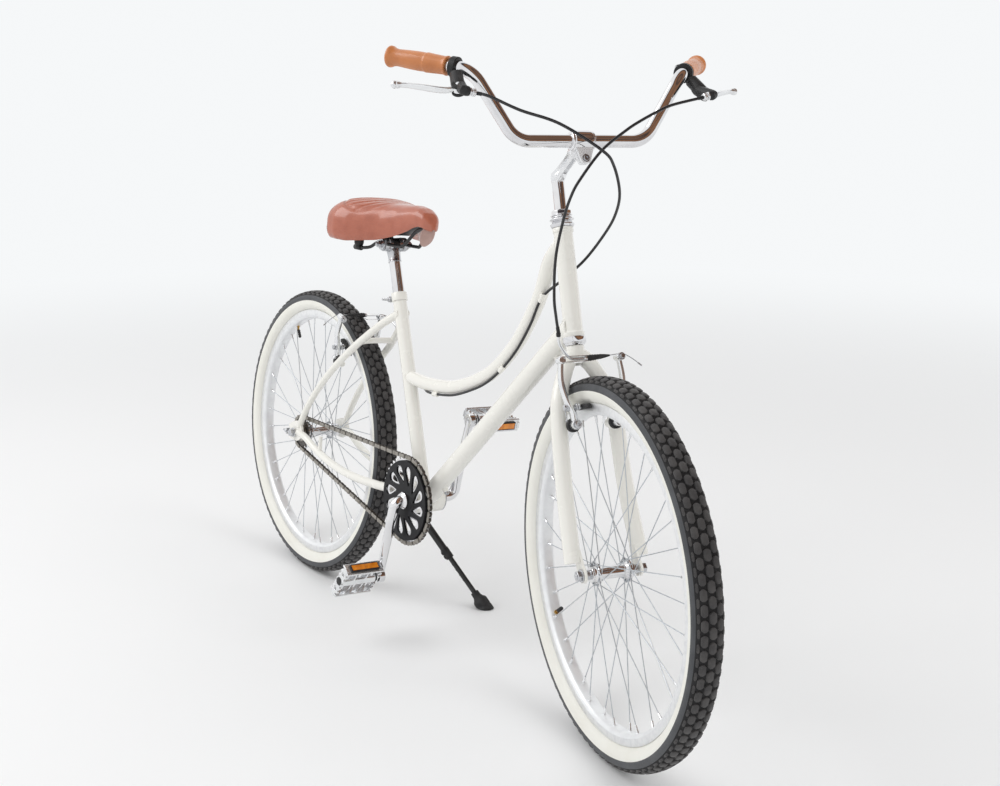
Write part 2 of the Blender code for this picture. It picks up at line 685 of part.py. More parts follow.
def cable_clip(route_point, toward_tube):
    """Small welded stop between the tube and the cable."""
    inner = route_point + toward_tube * (CABLE_RADIUS + 2 * GAP)
    return cylinder(inner, inner + toward_tube * 0.006, 0.0045, 8)


def frame_mesh():
    """Every tube and fitting welded into one frame."""
    head_low, head_high = on_head(HEAD_TUBE_BOTTOM - 0.002), on_head(HEAD_TUBE_TOP)
    shapes = [cylinder(head_low, head_high, HEAD_TUBE_RADIUS, 12),
              cylinder(BOTTOM_BRACKET, SEAT_TUBE_TOP, SEAT_TUBE_RADIUS, 10),
              cylinder(DOWN_TUBE_START, DOWN_TUBE_END, DOWN_TUBE_RADIUS, 12),
              pipe(top_tube_path(), TOP_TUBE_RADIUS, 10),
              cylinder(BOTTOM_BRACKET - Vector((0, SHELL_WIDTH / 2, 0)),
                       BOTTOM_BRACKET + Vector((0, SHELL_WIDTH / 2, 0)), SHELL_RADIUS, 16)]
    for side in (RIGHT, LEFT):
        shapes.append(pipe(chain_stay_path(side), chain_stay_radii(), 8))
        upper = seat_stay_path(side)
        radii = [0.0086 - 0.0014 * index / (len(upper) - 1) for index in range(len(upper))]
        shapes.append(pipe(upper, radii, 8))
        shapes.append(dropout(side))
        stud = rear_arm_frame(side)
        shapes.append(stud_shape(stud, 0.029))
    bridge = Vector((0.247, 0.041, 0.588))
    shapes.append(cylinder(mirrored(bridge, RIGHT), bridge, 0.0065, 8))
    low_bridge = Vector((0.362, 0.034, 0.2945))
    shapes.append(cylinder(mirrored(low_bridge, RIGHT), low_bridge, 0.0070, 8))
    down = (DOWN_TUBE_END - DOWN_TUBE_START).normalized()
    under = Vector((down.z, 0.0, -down.x))
    for along in (0.535, 0.075):
        shapes.extend(screw_boss(DOWN_TUBE_START + down * along + under * (DOWN_TUBE_RADIUS - 0.003),
                                 under, 0.012))
    shapes.append(cylinder((0.118, -0.0565, 0.317), (0.118, -0.0565, 0.350), 0.0045, 8))
    line = cable_line()
    points = top_tube_path()[1:-1]
    for stop in CABLE_STOPS:
        index = min(range(len(line)), key=lambda number: abs(line[number].x - stop))
        shapes.append(cable_clip(line[index], (points[index] - line[index]).normalized()))
    solid = united(*shapes)
    head_bore = cylinder(on_head(HEAD_TUBE_BOTTOM - 0.05), on_head(HEAD_TUBE_TOP + 0.05), HEAD_BORE, 14)
    seat_bore = cylinder(SEAT_TUBE_TOP - SEAT_AXIS * 0.240, SEAT_TUBE_TOP + SEAT_AXIS * 0.05,
                         SEAT_POST_RADIUS + FACET_GAP, 14)
    shell_bore = cylinder(BOTTOM_BRACKET - Vector((0, 0.06, 0)), BOTTOM_BRACKET + Vector((0, 0.06, 0)),
                          SHELL_BORE, 14)
    below_head = cylinder(on_head(HEAD_TUBE_BOTTOM - 0.05), on_head(HEAD_TUBE_BOTTOM), 0.045, 14)
    return cut(solid, head_bore, seat_bore, shell_bore, below_head)


def turned_about(axis_origin, axis, profile, segments):
    """Profile of (along, radius) turned about any axis."""
    axis = axis.normalized()
    helper = Vector((0, 1, 0)) if abs(axis.y) < 0.9 else Vector((1, 0, 0))
    across = axis.cross(helper).normalized()
    return moved(lathe(profile, segments), axes_matrix(across, axis, across.cross(axis), axis_origin))


def build_headset(bike):
    """Chrome cups pressed into the head tube."""
    insert, flange, bore = HEAD_BORE - FACET_GAP, 0.0205, STEERER_RADIUS + RUNNING_GAP
    low = [(-0.0150, bore), (-0.0150, 0.0180), (-0.0110, flange), (-GAP, flange), (-GAP, insert),
           (0.0100, insert), (0.0100, bore)]
    high = [(-0.0100, bore), (-0.0100, insert), (GAP, insert), (GAP, 0.0195), (0.0050, 0.0205),
            (0.0110, 0.0170), (0.0110, bore)]
    piece("headset_lower_cup", turned_about(on_head(HEAD_TUBE_BOTTOM), HEAD_AXIS, low, 12), CHROME, bike)
    piece("headset_upper_cup", turned_about(on_head(HEAD_TUBE_TOP), HEAD_AXIS, high, 12), CHROME, bike)


def build_bottom_bracket(bike):
    """Cups that carry the one-piece crank in the shell."""
    half = SHELL_WIDTH / 2
    bore = SPINDLE_RADIUS + RUNNING_GAP
    for side, name in SIDES.items():
        profile = [(half - 0.010, bore), (half - 0.010, SHELL_BORE - GAP), (half + GAP, SHELL_BORE - GAP),
                   (half + GAP, SHELL_RADIUS), (half + 0.0025, SHELL_RADIUS), (half + 0.0025, bore)]
        cup = lathe([(side * along, radius) for along, radius in profile], 14)
        piece(f"bottom_bracket_cup_{name}", cup, STEEL, bike, Matrix.Translation(BOTTOM_BRACKET))


def build_seat_collar(bike):
    """Painted collar round the top of the seat tube, with its pinch bolt behind."""
    origin = SEAT_TUBE_TOP + SEAT_AXIS * GAP
    inner, outer = SEAT_POST_RADIUS + FACET_GAP, SEAT_TUBE_RADIUS + 0.0020
    ring = turned_about(origin, SEAT_AXIS, [(0, inner), (0, outer), (0.018, outer), (0.018, inner)], 12)
    back = SEAT_AXIS.cross(Vector((0, 1, 0))).normalized()
    back = back if back.x < 0 else -back
    middle = origin + SEAT_AXIS * 0.009
    frame = axes_matrix(-back, Vector((0, 1, 0)), SEAT_AXIS, middle)
    bolt_back = SEAT_POST_RADIUS + 0.0098
    ears = moved(box((-bolt_back - 0.0055, -0.008, -0.0065), (-bolt_back + 0.008, 0.008, 0.0065)), frame)
    hole = moved(cylinder((-bolt_back, -0.03, 0), (-bolt_back, 0.03, 0), 0.0029, 10), frame)
    slit = moved(box((-bolt_back - 0.0075, -0.0010, -0.012), (-bolt_back + 0.0105, 0.0010, 0.012)), frame)
    piece("seat_collar", cut(united(ring, ears), hole, slit), WHITE_PAINT, bike)
    bolt = united(cylinder((0, -0.0115, 0), (0, 0.0125, 0), 0.0026, 10),
                  cylinder((0, -0.0130, 0), (0, -0.0083, 0), 0.0048, 8),
                  cylinder((0, 0.0083, 0), (0, 0.0128, 0), 0.0050, 6))
    piece("seat_collar_bolt", bolt, STEEL, bike, frame @ Matrix.Translation((-bolt_back, 0, 0)))


def build_rear_axle(bike, shell_half):
    """Axle with cones, nuts and the two chain adjusters."""
    plate = DROPOUT_PLATE
    shapes = axle_with_nuts(REAR_HUB_WIDTH, plate + 0.0030, 0.073, shell_half)
    for side in (RIGHT, LEFT):
        near = side * (DROPOUT_OUT + GAP)
        far = side * (DROPOUT_OUT + 0.0026)
        shapes.append(cylinder((0, near, 0), (0, far, 0), 0.0105, 8))
        middle = (near + far) / 2 + side * 0.0018
        shapes.append(cylinder((-0.006, middle, -0.004), (-0.050, middle, -0.004), 0.0030, 6))
    piece("rear_axle", united(*shapes), STEEL, bike, Matrix.Translation(REAR_AXLE_POINT))


def arc_points(centre, radius, start, end):
    """Points of an arc in the XZ plane, in the chain's steps."""
    steps = max(2, round(abs(end - start) / CHAIN_ARC_STEP))
    angles = [start + (end - start) * step / steps for step in range(steps + 1)]
    return [(centre.x + radius * math.cos(a), centre.z + radius * math.sin(a)) for a in angles]


def chain_loop(grow):
    """Closed line round both sprockets, grown outward from the pitch line."""
    big, small = pitch_radius(CHAINRING_TEETH), pitch_radius(FREEWHEEL_TEETH)
    between = BOTTOM_BRACKET - REAR_AXLE_POINT
    tilt = math.atan2(between.z, between.x)
    spread = math.acos((big - small) / Vector((between.x, between.z)).length)
    front = arc_points(BOTTOM_BRACKET, big + grow, tilt - math.pi + spread, tilt + math.pi - spread)
    rear = arc_points(REAR_AXLE_POINT, small + grow, tilt + math.pi - spread, tilt + math.pi + spread)
    return front + rear


def build_chain(bike):
    """The roller chain as a band of its own height and width round both sprockets."""
    low, high = -CHAIN_LINE - CHAIN_HALF_WIDTH, -CHAIN_LINE + CHAIN_HALF_WIDTH
    band = slab(chain_loop(CHAIN_HALF_HEIGHT), low, high, [chain_loop(-CHAIN_HALF_HEIGHT)])
    piece("chain", band, DARK_STEEL, bike)


def build_freewheel(parent, shell_nose):
    """Sprocket and ratchet body on the hub's right side."""
    radius = pitch_radius(FREEWHEEL_TEETH)
    bore = circle(shell_nose + 2 * RUNNING_GAP, 10)
    half = SPROCKET_THICKNESS / 2
    teeth = slab(sprocket_outline(FREEWHEEL_TEETH, radius, CHAIN_ARC_STEP), -CHAIN_LINE - half,
                 -CHAIN_LINE + half, [bore])
    body = slab(circle(0.0255, 12), -CHAIN_LINE - 0.0030, -CHAIN_LINE + 0.0075, [bore])
    piece("freewheel", united(teeth, body), DARK_STEEL, parent)


def build_stand_bracket(bike):
    """Clamp round the left chain stay, its plate and the stand's hinge pin."""
    stay = chain_stay_path(LEFT)
    near = min(stay, key=lambda point: abs(point.x - STAND_HINGE.x))
    index = stay.index(near)
    along = (stay[index + 1] - stay[index - 1]).normalized()
    axis = stand_axis()
    sleeve = cylinder(near - along * 0.017, near + along * 0.017, 0.0148, 12)
    lobe = cylinder(near, STAND_HINGE - axis * 0.0085, 0.0085, 10)
    plate = cylinder(STAND_HINGE - axis * 0.0130, STAND_HINGE - axis * 0.0045, 0.0122, 12)
    leg_room = cylinder(STAND_HINGE - axis * 0.0045, STAND_HINGE + axis * 0.030, 0.0132, 16)
    bore = pipe(stay, [radius + GAP for radius in chain_stay_radii()], 8)
    pin = cylinder(STAND_HINGE - axis * 0.010, STAND_HINGE + axis * 0.0105, STAND_PIN_RADIUS, 10)
    body = cut(united(sleeve, lobe, plate), leg_room, bore)
    piece("stand_bracket", combined(body, [mesh_from(pin)], "UNION"), BLACK_PAINT, bike)


def stand_direction():
    """Unit vector down the lowered leg."""
    return (STAND_FOOT - STAND_HINGE).normalized()


def stand_folded():
    """Unit vector along the folded leg, back beside the wheel."""
    return Vector((-0.975, 0.195, 0.10)).normalized()


def stand_axis():
    """Unit vector of the stand's hinge."""
    return stand_direction().cross(stand_folded()).normalized()


# Fork, stem and handlebar, all in the steering frame

FORK_TIP_IN = FRONT_HUB_WIDTH / 2
FORK_TIP_PLATE = 0.0045
HEADSET_STACK = 0.0113


def blade_path(side):
    """Fork blade from the crown round the wheel to its tip."""
    knots = [(0.0, 0.004, 0.3750), (0.004, 0.0180, 0.3640), (0.010, 0.0305, 0.342), (0.0155, 0.0440, 0.311),
             (0.0195, 0.0530, 0.270), (0.0215, 0.0575, 0.150), (0.0380, 0.0634, 0.021)]
    return [mirrored(knot, side) for knot in knots]


def fork_tip(side):
    """Flat plate at the end of a blade, slotted for the axle."""
    slot = AXLE_RADIUS + RUNNING_GAP
    x0 = FORK_OFFSET
    outline = [(0.026, 0.046), (0.046, 0.046), (x0 + 0.009, 0.0155), (x0 + 0.0135, 0.006),
               (x0 + 0.0135, -0.006), (x0 + slot, -0.013)]
    outline += [(x0 + slot * math.cos(math.radians(a)), slot * math.sin(math.radians(a)))
                for a in (0, 45, 90, 135, 180)]
    outline += [(x0 - slot, -0.013), (x0 - 0.0135, -0.006), (x0 - 0.0145, 0.010)]
    low, high = sorted((side * FORK_TIP_IN, side * (FORK_TIP_IN + FORK_TIP_PLATE)))
    return slab(outline, low, high)


def build_fork(steering):
    """Steerer, crown, blades, tips and brake studs in one piece."""
    crown_top = HEAD_TUBE_BOTTOM - 0.0150 - GAP
    shapes = [cylinder((0, 0, 0.372), (0, 0, HEAD_TUBE_TOP + 0.027), STEERER_RADIUS, 12),
              cylinder((0, 0, 0.366), (0, 0, crown_top), 0.0172, 12)]
    for side in (RIGHT, LEFT):
        shapes.append(pipe(blade_path(side), [0.0150, 0.0142, 0.0136, 0.0143, 0.0147, 0.0147, 0.0147], 8))
        shapes.append(fork_tip(side))
        stud = front_arm_frame(side)
        shapes.append(stud_shape(stud, 0.036))
    bore = cylinder((0, 0, 0.50), (0, 0, HEAD_TUBE_TOP + 0.05), QUILL_RADIUS + FACET_GAP, 12)
    piece("fork", cut(united(*shapes), bore), WHITE_PAINT, steering)


def turned_up(profile, segments):
    """Profile of (height, radius) turned round the head axis, closed."""
    return moved(lathe(profile, segments), axes_matrix(Vector((1, 0, 0)), Vector((0, 0, 1)),
                                                       Vector((0, -1, 0)), Vector((0, 0, 0))))


def build_stem(steering):
    """Locknut, quill stem with its bar clamp, and the clamp's bolt."""
    low = HEAD_TUBE_TOP + HEADSET_STACK
    top = HEAD_TUBE_TOP + 0.0310
    nut = [(low, STEERER_RADIUS + FACET_GAP), (low, 0.0180), (low + 0.003, 0.0200), (low + 0.006, 0.0170),
           (top - 0.002, 0.0170), (top, 0.0155), (top, QUILL_RADIUS + FACET_GAP),
           (top - 0.0035, QUILL_RADIUS + FACET_GAP), (top - 0.0035, STEERER_RADIUS + FACET_GAP)]
    piece("headset_locknut", turned_up(nut, 12), CHROME, steering)
    centre = BAR_CENTRE
    quill = [Vector((0, 0, 0.535)), Vector((0, 0, 0.672)), Vector((0.006, 0, 0.688)),
             Vector((0.050, 0, 0.706)), Vector((0.100, 0, centre.z))]
    neck = pipe(quill, [QUILL_RADIUS, QUILL_RADIUS, 0.0128, 0.0128, 0.0140], 10)
    cap = cylinder((0, 0, 0.682), (0, 0, 0.7045), 0.0120, 12)
    clamp = cylinder(centre + Vector((0, -0.021, 0)), centre + Vector((0, 0.021, 0)), BAR_RADIUS + 0.0069, 12)
    ears = box((centre.x + 0.006, -0.011, centre.z - 0.0315), (centre.x + 0.0215, 0.011, centre.z - 0.006))
    hole = cylinder(centre + Vector((0, -0.05, 0)), centre + Vector((0, 0.05, 0)), BAR_BORE, 12)
    low_bolt = centre + Vector((0.0135, 0, -0.0245))
    bolt_hole = cylinder(low_bolt - Vector((0.03, 0, 0)), low_bolt + Vector((0.03, 0, 0)), 0.0036, 8)
    slit = box((centre.x + 0.0128, -0.05, centre.z - 0.050), (centre.x + 0.0143, 0.05, centre.z - 0.003))
    piece("stem", cut(united(neck, cap, clamp, ears), hole, bolt_hole, slit), CHROME, steering)
    bolt = united(cylinder(low_bolt - Vector((0.012, 0, 0)), low_bolt + Vector((0.013, 0, 0)), 0.0030, 10),
                  cylinder(low_bolt + Vector((0.0084, 0, 0)), low_bolt + Vector((0.0135, 0, 0)), 0.0050, 8),
                  cylinder(low_bolt - Vector((0.0122, 0, 0)), low_bolt - Vector((0.0079, 0, 0)), 0.0052, 6))
    piece("stem_clamp_bolt", bolt, STEEL, steering)


def along_grip(distance, side):
    """Point of the bar's end run, a distance out from its upper bend."""
    return mirrored(BAR_HIGH_BEND + GRIP_AXIS * distance, side)


def bar_path():
    """Centre line of the handlebar, left grip to right grip."""
    half = [BAR_END, BAR_HIGH_BEND, BAR_LOW_BEND]
    corners = half + [mirrored(corner, RIGHT) for corner in reversed(half)]
    return rounded_path(corners, BAR_BEND_RADIUS, 3)


def build_handlebar(steering):
    """Bent bar and its two grips."""
    piece("handlebar", pipe(bar_path(), BAR_RADIUS, 10), CHROME, steering)
    reach = (BAR_END - BAR_HIGH_BEND).length
    for side, name in SIDES.items():
        start = reach + GRIP_CAP - GRIP_LENGTH
        axis = mirrored(GRIP_AXIS, side)
        outside = [(start, 0.0064), (start + 0.006, 0.0054), (start + 0.020, 0.0041), (reach - 0.050, 0.0051),
                   (reach - 0.008, 0.0047), (reach - 0.001, 0.0067), (reach + GRIP_CAP, 0.0054)]
        profile = [(start, BAR_BORE), *((along, BAR_RADIUS + wall) for along, wall in outside),
                   (reach + GRIP_CAP, 0.0), (reach + GAP, 0.0), (reach + GAP, BAR_BORE)]
        grip = lathe(profile, 12)
        across = axis.cross(Vector((0, 0, 1))).normalized()
        frame = axes_matrix(across, axis, across.cross(axis), mirrored(BAR_HIGH_BEND, side))
        piece(f"grip_{name}", moved(grip, frame), TAN_GRIP, steering)


def lever_axis():
    """Hinge axis of the left brake lever."""
    pull = (LEVER_TIP - LEVER_PIVOT).normalized()
    toward_bar = (along_grip(LEVER_CLAMP_OUT, LEFT) - LEVER_PIVOT).normalized()
    return pull.cross(toward_bar).normalized()


def bar_frame(side):
    """Frame at the lever clamp with Y along the grip."""
    axis = GRIP_AXIS
    across = axis.cross(Vector((0, 0, 1))).normalized()
    return axes_matrix(across, axis, across.cross(axis), along_grip(LEVER_CLAMP_OUT, LEFT))


def lever_bracket_mesh():
    """Left lever bracket: clamp ring, arm, two cheeks with their pin, and the cable's stop."""
    pivot_point, axis = LEVER_PIVOT, lever_axis()
    clamp = along_grip(LEVER_CLAMP_OUT, LEFT)
    toward = pivot_point - clamp
    leaving = (FRONT_CABLE[-1] - LEVER_ADJUSTER).normalized()
    ring = moved(cylinder((0, -0.0055, 0), (0, 0.0055, 0), BAR_RADIUS + 0.0059, 10), bar_frame(LEFT))
    arm = cylinder(clamp + toward * 0.22, pivot_point, 0.0088, 10, 0.0082)
    cheeks = cylinder(pivot_point - axis * 0.0086, pivot_point + axis * 0.0086, 0.0104, 10)
    neck = cylinder(clamp + toward * 0.66, LEVER_ADJUSTER - leaving * 0.016, 0.0070, 8)
    barrel = cylinder(LEVER_ADJUSTER - leaving * 0.0195, LEVER_ADJUSTER, 0.0060, 8)
    slot = cylinder(pivot_point - axis * 0.0048, pivot_point + axis * 0.0048, 0.0142, 10)
    bore = pipe(bar_path(), BAR_RADIUS + GAP, 10)
    pin = cylinder(pivot_point - axis * 0.0075, pivot_point + axis * 0.0075, LEVER_PIN_RADIUS, 8)
    body = cut(united(ring, arm, cheeks, neck, barrel), slot, bore)
    return combined(body, [mesh_from(pin)], "UNION")


def brake_lever_mesh():
    """Left brake lever: flat head on the pin, kinked blade and ball end."""
    pivot_point, axis = LEVER_PIVOT, lever_axis()
    pull = LEVER_TIP - pivot_point
    away = (pivot_point - along_grip(LEVER_CLAMP_OUT, LEFT)).normalized()
    head = cylinder(pivot_point - axis * 0.0044, pivot_point + axis * 0.0044, 0.0085, 12)
    run = [pivot_point, pivot_point + pull * 0.10 + away * 0.003, pivot_point + pull * 0.30 + away * 0.005,
           pivot_point + pull * 0.62 + away * 0.001, pivot_point + pull * 0.97]
    blade = pipe(run, [0.0041, 0.0043, 0.0048, 0.0046, 0.0042], 8)
    ball = round_end(LEVER_TIP, pull.normalized(), 0.0068)
    through = axis * 0.02
    hole = cylinder(pivot_point - through, pivot_point + through, LEVER_PIN_RADIUS + 2 * RUNNING_GAP, 8)
    return cut(united(head, blade, ball), hole)


def flipped(mesh):
    """Mirror image of a mesh across the bike's middle plane."""
    work = bmesh.new()
    work.from_mesh(mesh)
    for vertex in work.verts:
        vertex.co.y = -vertex.co.y
    bmesh.ops.reverse_faces(work, faces=work.faces[:])
    image = bpy.data.meshes.new("image")
    work.to_mesh(image)
    work.free()
    return image


def build_levers(steering):
    """Both lever brackets on the bar and both levers on their pins."""
    bracket, lever = lever_bracket_mesh(), brake_lever_mesh()
    for side, name in SIDES.items():
        place = Matrix.Translation(mirrored(LEVER_PIVOT, side))
        hinge = pivot(f"lever_hinge_{name}", steering, place)
        body = bracket if side == LEFT else flipped(bracket)
        blade = lever if side == LEFT else flipped(lever)
        piece(f"lever_bracket_{name}", body, BLACK_PLASTIC, steering)
        piece(f"brake_lever_{name}", blade, ALLOY, hinge, place.inverted())


def round_end(centre, axis, radius):
    """Ball as a turned profile about an axis."""
    angles = [math.pi * step / 5 for step in range(6)]
    profile = [(-radius * math.cos(angle), radius * math.sin(angle) if 0 < step < 5 else 0.0)
               for step, angle in enumerate(angles)]
    helper = Vector((0, 0, 1)) if abs(axis.z) < 0.9 else Vector((1, 0, 0))
    across = axis.cross(helper).normalized()
    return moved(lathe(profile, 8, closed=False), axes_matrix(across, axis, across.cross(axis), centre))


# Brakes

def arm_line(bow, height):
    """Centre line of a brake arm: (outward, up) from its stud."""
    return [(0.0, 0.0), (0.002, 0.020), (0.6 * bow, 0.040), (bow, 0.65 * height), (0.82 * bow, height)]


def build_brake_arm(name, parent, frame, outward, bow, height):
    """Cast brake arm on its stud, in the arm's own frame; the hinge it turns on is given back."""
    hinge = pivot(f"{name}_hinge", parent, frame)
    line = [Vector((0.0, outward * out, up)) for out, up in arm_line(bow, height)]
    arm = pipe(line, [0.0070, 0.0062, 0.0056, 0.0051, 0.0058], 8)
    boss = cylinder((-0.0093, 0, 0), (0.0115, 0, 0), 0.0086, 10)
    top = line[-1]
    eye = cylinder((-0.0085, top.y, top.z), (0.0085, top.y, top.z), 0.0068, 8)
    bore = cylinder((-0.02, 0, 0), (0.02, 0, 0), STUD_RADIUS + 2 * RUNNING_GAP, 8)
    piece(name, cut(united(arm, boss, eye), bore), ALLOY, hinge)
    return hinge


def pad_height_point(bow, height, outward):
    """Point of the arm's centre line at the pad's height."""
    (out0, up0), (out1, up1) = arm_line(bow, height)[1:3]
    share = (PAD_HEIGHT - up0) / (up1 - up0)
    return Vector((0.0, outward * (out0 + (out1 - out0) * share), PAD_HEIGHT))


def build_brake_pad(name, hinge, bow, height, outward, radial):
    """Rubber block facing the rim, with its post ending at the arm."""
    arm_point = pad_height_point(bow, height, outward)
    face = RIM_HALF_WIDTH + PAD_GAP - STUD_OUT
    back = face + 0.0095
    tilt = Matrix.Rotation(math.atan2(radial.x, radial.z), 4, "Y")
    low, high = sorted((outward * face, outward * back))
    half, high_half = PAD_LENGTH / 2, PAD_BLOCK_HEIGHT / 2
    outline = [(-half, -high_half), (half, -high_half), (half + 0.002, 0.0), (half, high_half),
               (-half, high_half), (-half - 0.002, 0.0)]
    block = moved(slab(outline, low, high), Matrix.Translation((0, 0, PAD_HEIGHT)) @ tilt)
    (out0, up0), (out1, up1) = arm_line(bow, height)[1:3]
    slope = (out1 - out0) / (up1 - up0)
    clear = 0.0060 * math.hypot(1.0, slope) + PAD_POST_RADIUS * slope + 2 * GAP
    arm_face = arm_point.y - outward * clear
    post = cylinder((0, outward * (back - 0.002), PAD_HEIGHT), (0, arm_face, PAD_HEIGHT), PAD_POST_RADIUS, 8)
    piece(name, united(block, post), RUBBER, hinge)


def build_brakes(prefix, parent, frame_of, bow, height, wheel_centre):
    """Two arms, their pads and the curved cable guide of one brake."""
    hinges = {}
    for side, name in SIDES.items():
        frame = frame_of(side)
        outward = side * (1 if frame[1][1] > 0 else -1)
        hinge = build_brake_arm(f"{prefix}_brake_arm_{name}", parent, frame, outward, bow, height)
        pad_centre = frame @ Vector((0, 0, PAD_HEIGHT)) - wheel_centre
        radial = frame.to_3x3().inverted() @ Vector((pad_centre.x, 0, pad_centre.z))
        build_brake_pad(f"{prefix}_brake_pad_{name}", hinge, bow, height, outward, radial)
        hinges[side] = (hinge, frame)
    return hinges


def build_noodle(name, hinge, frame, knots, bow):
    """Curved steel guide that leads the cable into the brake, with the link that holds it to the arm."""
    route = smooth_route(knots, 0.010)
    start, side = knots[0], 1 if knots[0].y > 0 else -1
    y0, y1 = sorted((start.y + side * 0.0040, side * (STUD_OUT + 0.82 * bow + 0.0060)))
    link = box((start.x - 0.0033, y0, start.z - 0.0036), (start.x + 0.0024, y1, start.z + 0.0036))
    piece(name, united(pipe(route, 0.0026, 6), link), STEEL, hinge, frame.inverted())


def cable(name, parent, route):
    """Cable as a round tube along its route."""
    curve = bpy.data.curves.new(name, "CURVE")
    curve.dimensions = "3D"
    curve.bevel_depth = CABLE_RADIUS
    curve.bevel_resolution = 2
    curve.use_fill_caps = True
    spline = curve.splines.new("POLY")
    spline.points.add(len(route) - 1)
    for point, place in zip(spline.points, route):
        point.co = (*place, 1.0)
    curve.materials.append(material(BLACK_PLASTIC))
    thing = bpy.data.objects.new(name, curve)
    bpy.context.scene.collection.objects.link(thing)
    thing.parent = parent
    return thing


def steering_matrix():
    """Steering frame in the bike frame, turned as parked."""
    upright = axes_matrix(HEAD_FORWARD, Vector((0, 1, 0)), HEAD_AXIS, HEAD_FOOT)
    return upright @ Matrix.Rotation(STEER_TURNED, 4, "Z")


def build_cables(bike, steering):
    """Front cable in the steering frame and rear cable from the bar down under the curved tube."""
    front = [FRONT_NOODLE[-1], *FRONT_CABLE, LEVER_ADJUSTER]
    cable("front_brake_cable", steering, cable_ends(smooth_route(front, CABLE_STEP)))
    start = steering_matrix() @ mirrored(LEVER_ADJUSTER, RIGHT)
    line = cable_line()
    clipped = [point for point in reversed(line) if CABLE_LEAVES_TUBE < point.x < CABLE_MEETS_TUBE]
    rear = [start, *REAR_CABLE_FREE, *clipped, *REAR_CABLE_END, REAR_NOODLE[-1]]
    cable("rear_brake_cable", bike, cable_ends(smooth_route(rear, CABLE_STEP)))


def cable_ends(route):
    """The route with both ends drawn back by the gap to what they meet."""
    first, last = (route[1] - route[0]).normalized(), (route[-2] - route[-1]).normalized()
    return [route[0] + first * CABLE_END_GAP] + route[1:-1] + [route[-1] + last * CABLE_END_GAP]


# Crank, chainring and pedals

def crank_line():
    """Centre line of the one-piece crank, right arm down."""
    bend = CRANK_OUT - 0.007
    corners = [(0, -CRANK_OUT, -CRANK_LENGTH), (0, -bend, 0), (0, bend, 0), (0, CRANK_OUT, CRANK_LENGTH)]
    return rounded_path(corners, 0.015, 3)


def build_crank(crank):
    """One-piece crank with a threaded eye at each end."""
    line = crank_line()
    radii = [CRANK_ARM_RADIUS] + [0.0105] * (len(line) - 2) + [CRANK_ARM_RADIUS]
    arms = pipe(line, radii, 8)
    bend = CRANK_OUT - 0.020
    spindle = cylinder((0, -bend, 0), (0, bend, 0), SPINDLE_RADIUS, 12)
    shapes = [arms, spindle]
    bores = []
    for side in (RIGHT, LEFT):
        x, y, z = 0, side * CRANK_OUT, side * CRANK_LENGTH
        shapes.append(cylinder((x, y - 0.0065, z), (x, y + 0.0065, z), 0.0145, 12))
        bores.append(cylinder((x, y - 0.03, z), (x, y + 0.03, z), PEDAL_SPINDLE_RADIUS + GAP, 10))
    piece("crank", cut(united(*shapes), *bores), CHROME, crank)


def teardrop(middle_radius, angle, scale):
    """Slanted teardrop window of the guard disc."""
    centre = Vector((middle_radius * math.cos(angle), middle_radius * math.sin(angle)))
    slant = angle + math.radians(24.0)
    along = Vector((math.cos(slant), math.sin(slant)))
    across = Vector((-along.y, along.x))
    shape = [(-0.0165, 0.0), (0.0040, -0.0060), (0.0130, -0.0062), (0.0172, 0.0), (0.0120, 0.0066),
             (-0.0020, 0.0046)]
    return [tuple(centre + (along * u + across * v) * scale) for u, v in shape]


def build_chainring(crank):
    """Toothed ring and the pierced guard disc outside it."""
    bore = circle(SPINDLE_RADIUS + 2 * GAP, 12)
    half = SPROCKET_THICKNESS / 2
    angles = [math.tau * index / GUARD_WINDOWS for index in range(GUARD_WINDOWS)]
    teeth = sprocket_outline(CHAINRING_TEETH, pitch_radius(CHAINRING_TEETH), CHAIN_ARC_STEP)
    inner = [teardrop(0.0530, angle, 0.88)[::2] for angle in angles]
    piece("chainring", slab(teeth, -CHAIN_LINE - half, -CHAIN_LINE + half, [bore, *inner]), CHROME, crank)
    outer = [teardrop(0.0530, angle, 1.0) for angle in angles]
    disc = slab(circle(GUARD_RADIUS, 24), -GUARD_OUT - 0.0010, -GUARD_OUT + 0.0010, [bore, *outer])
    piece("guard_disc", disc, BLACK_PAINT, crank)


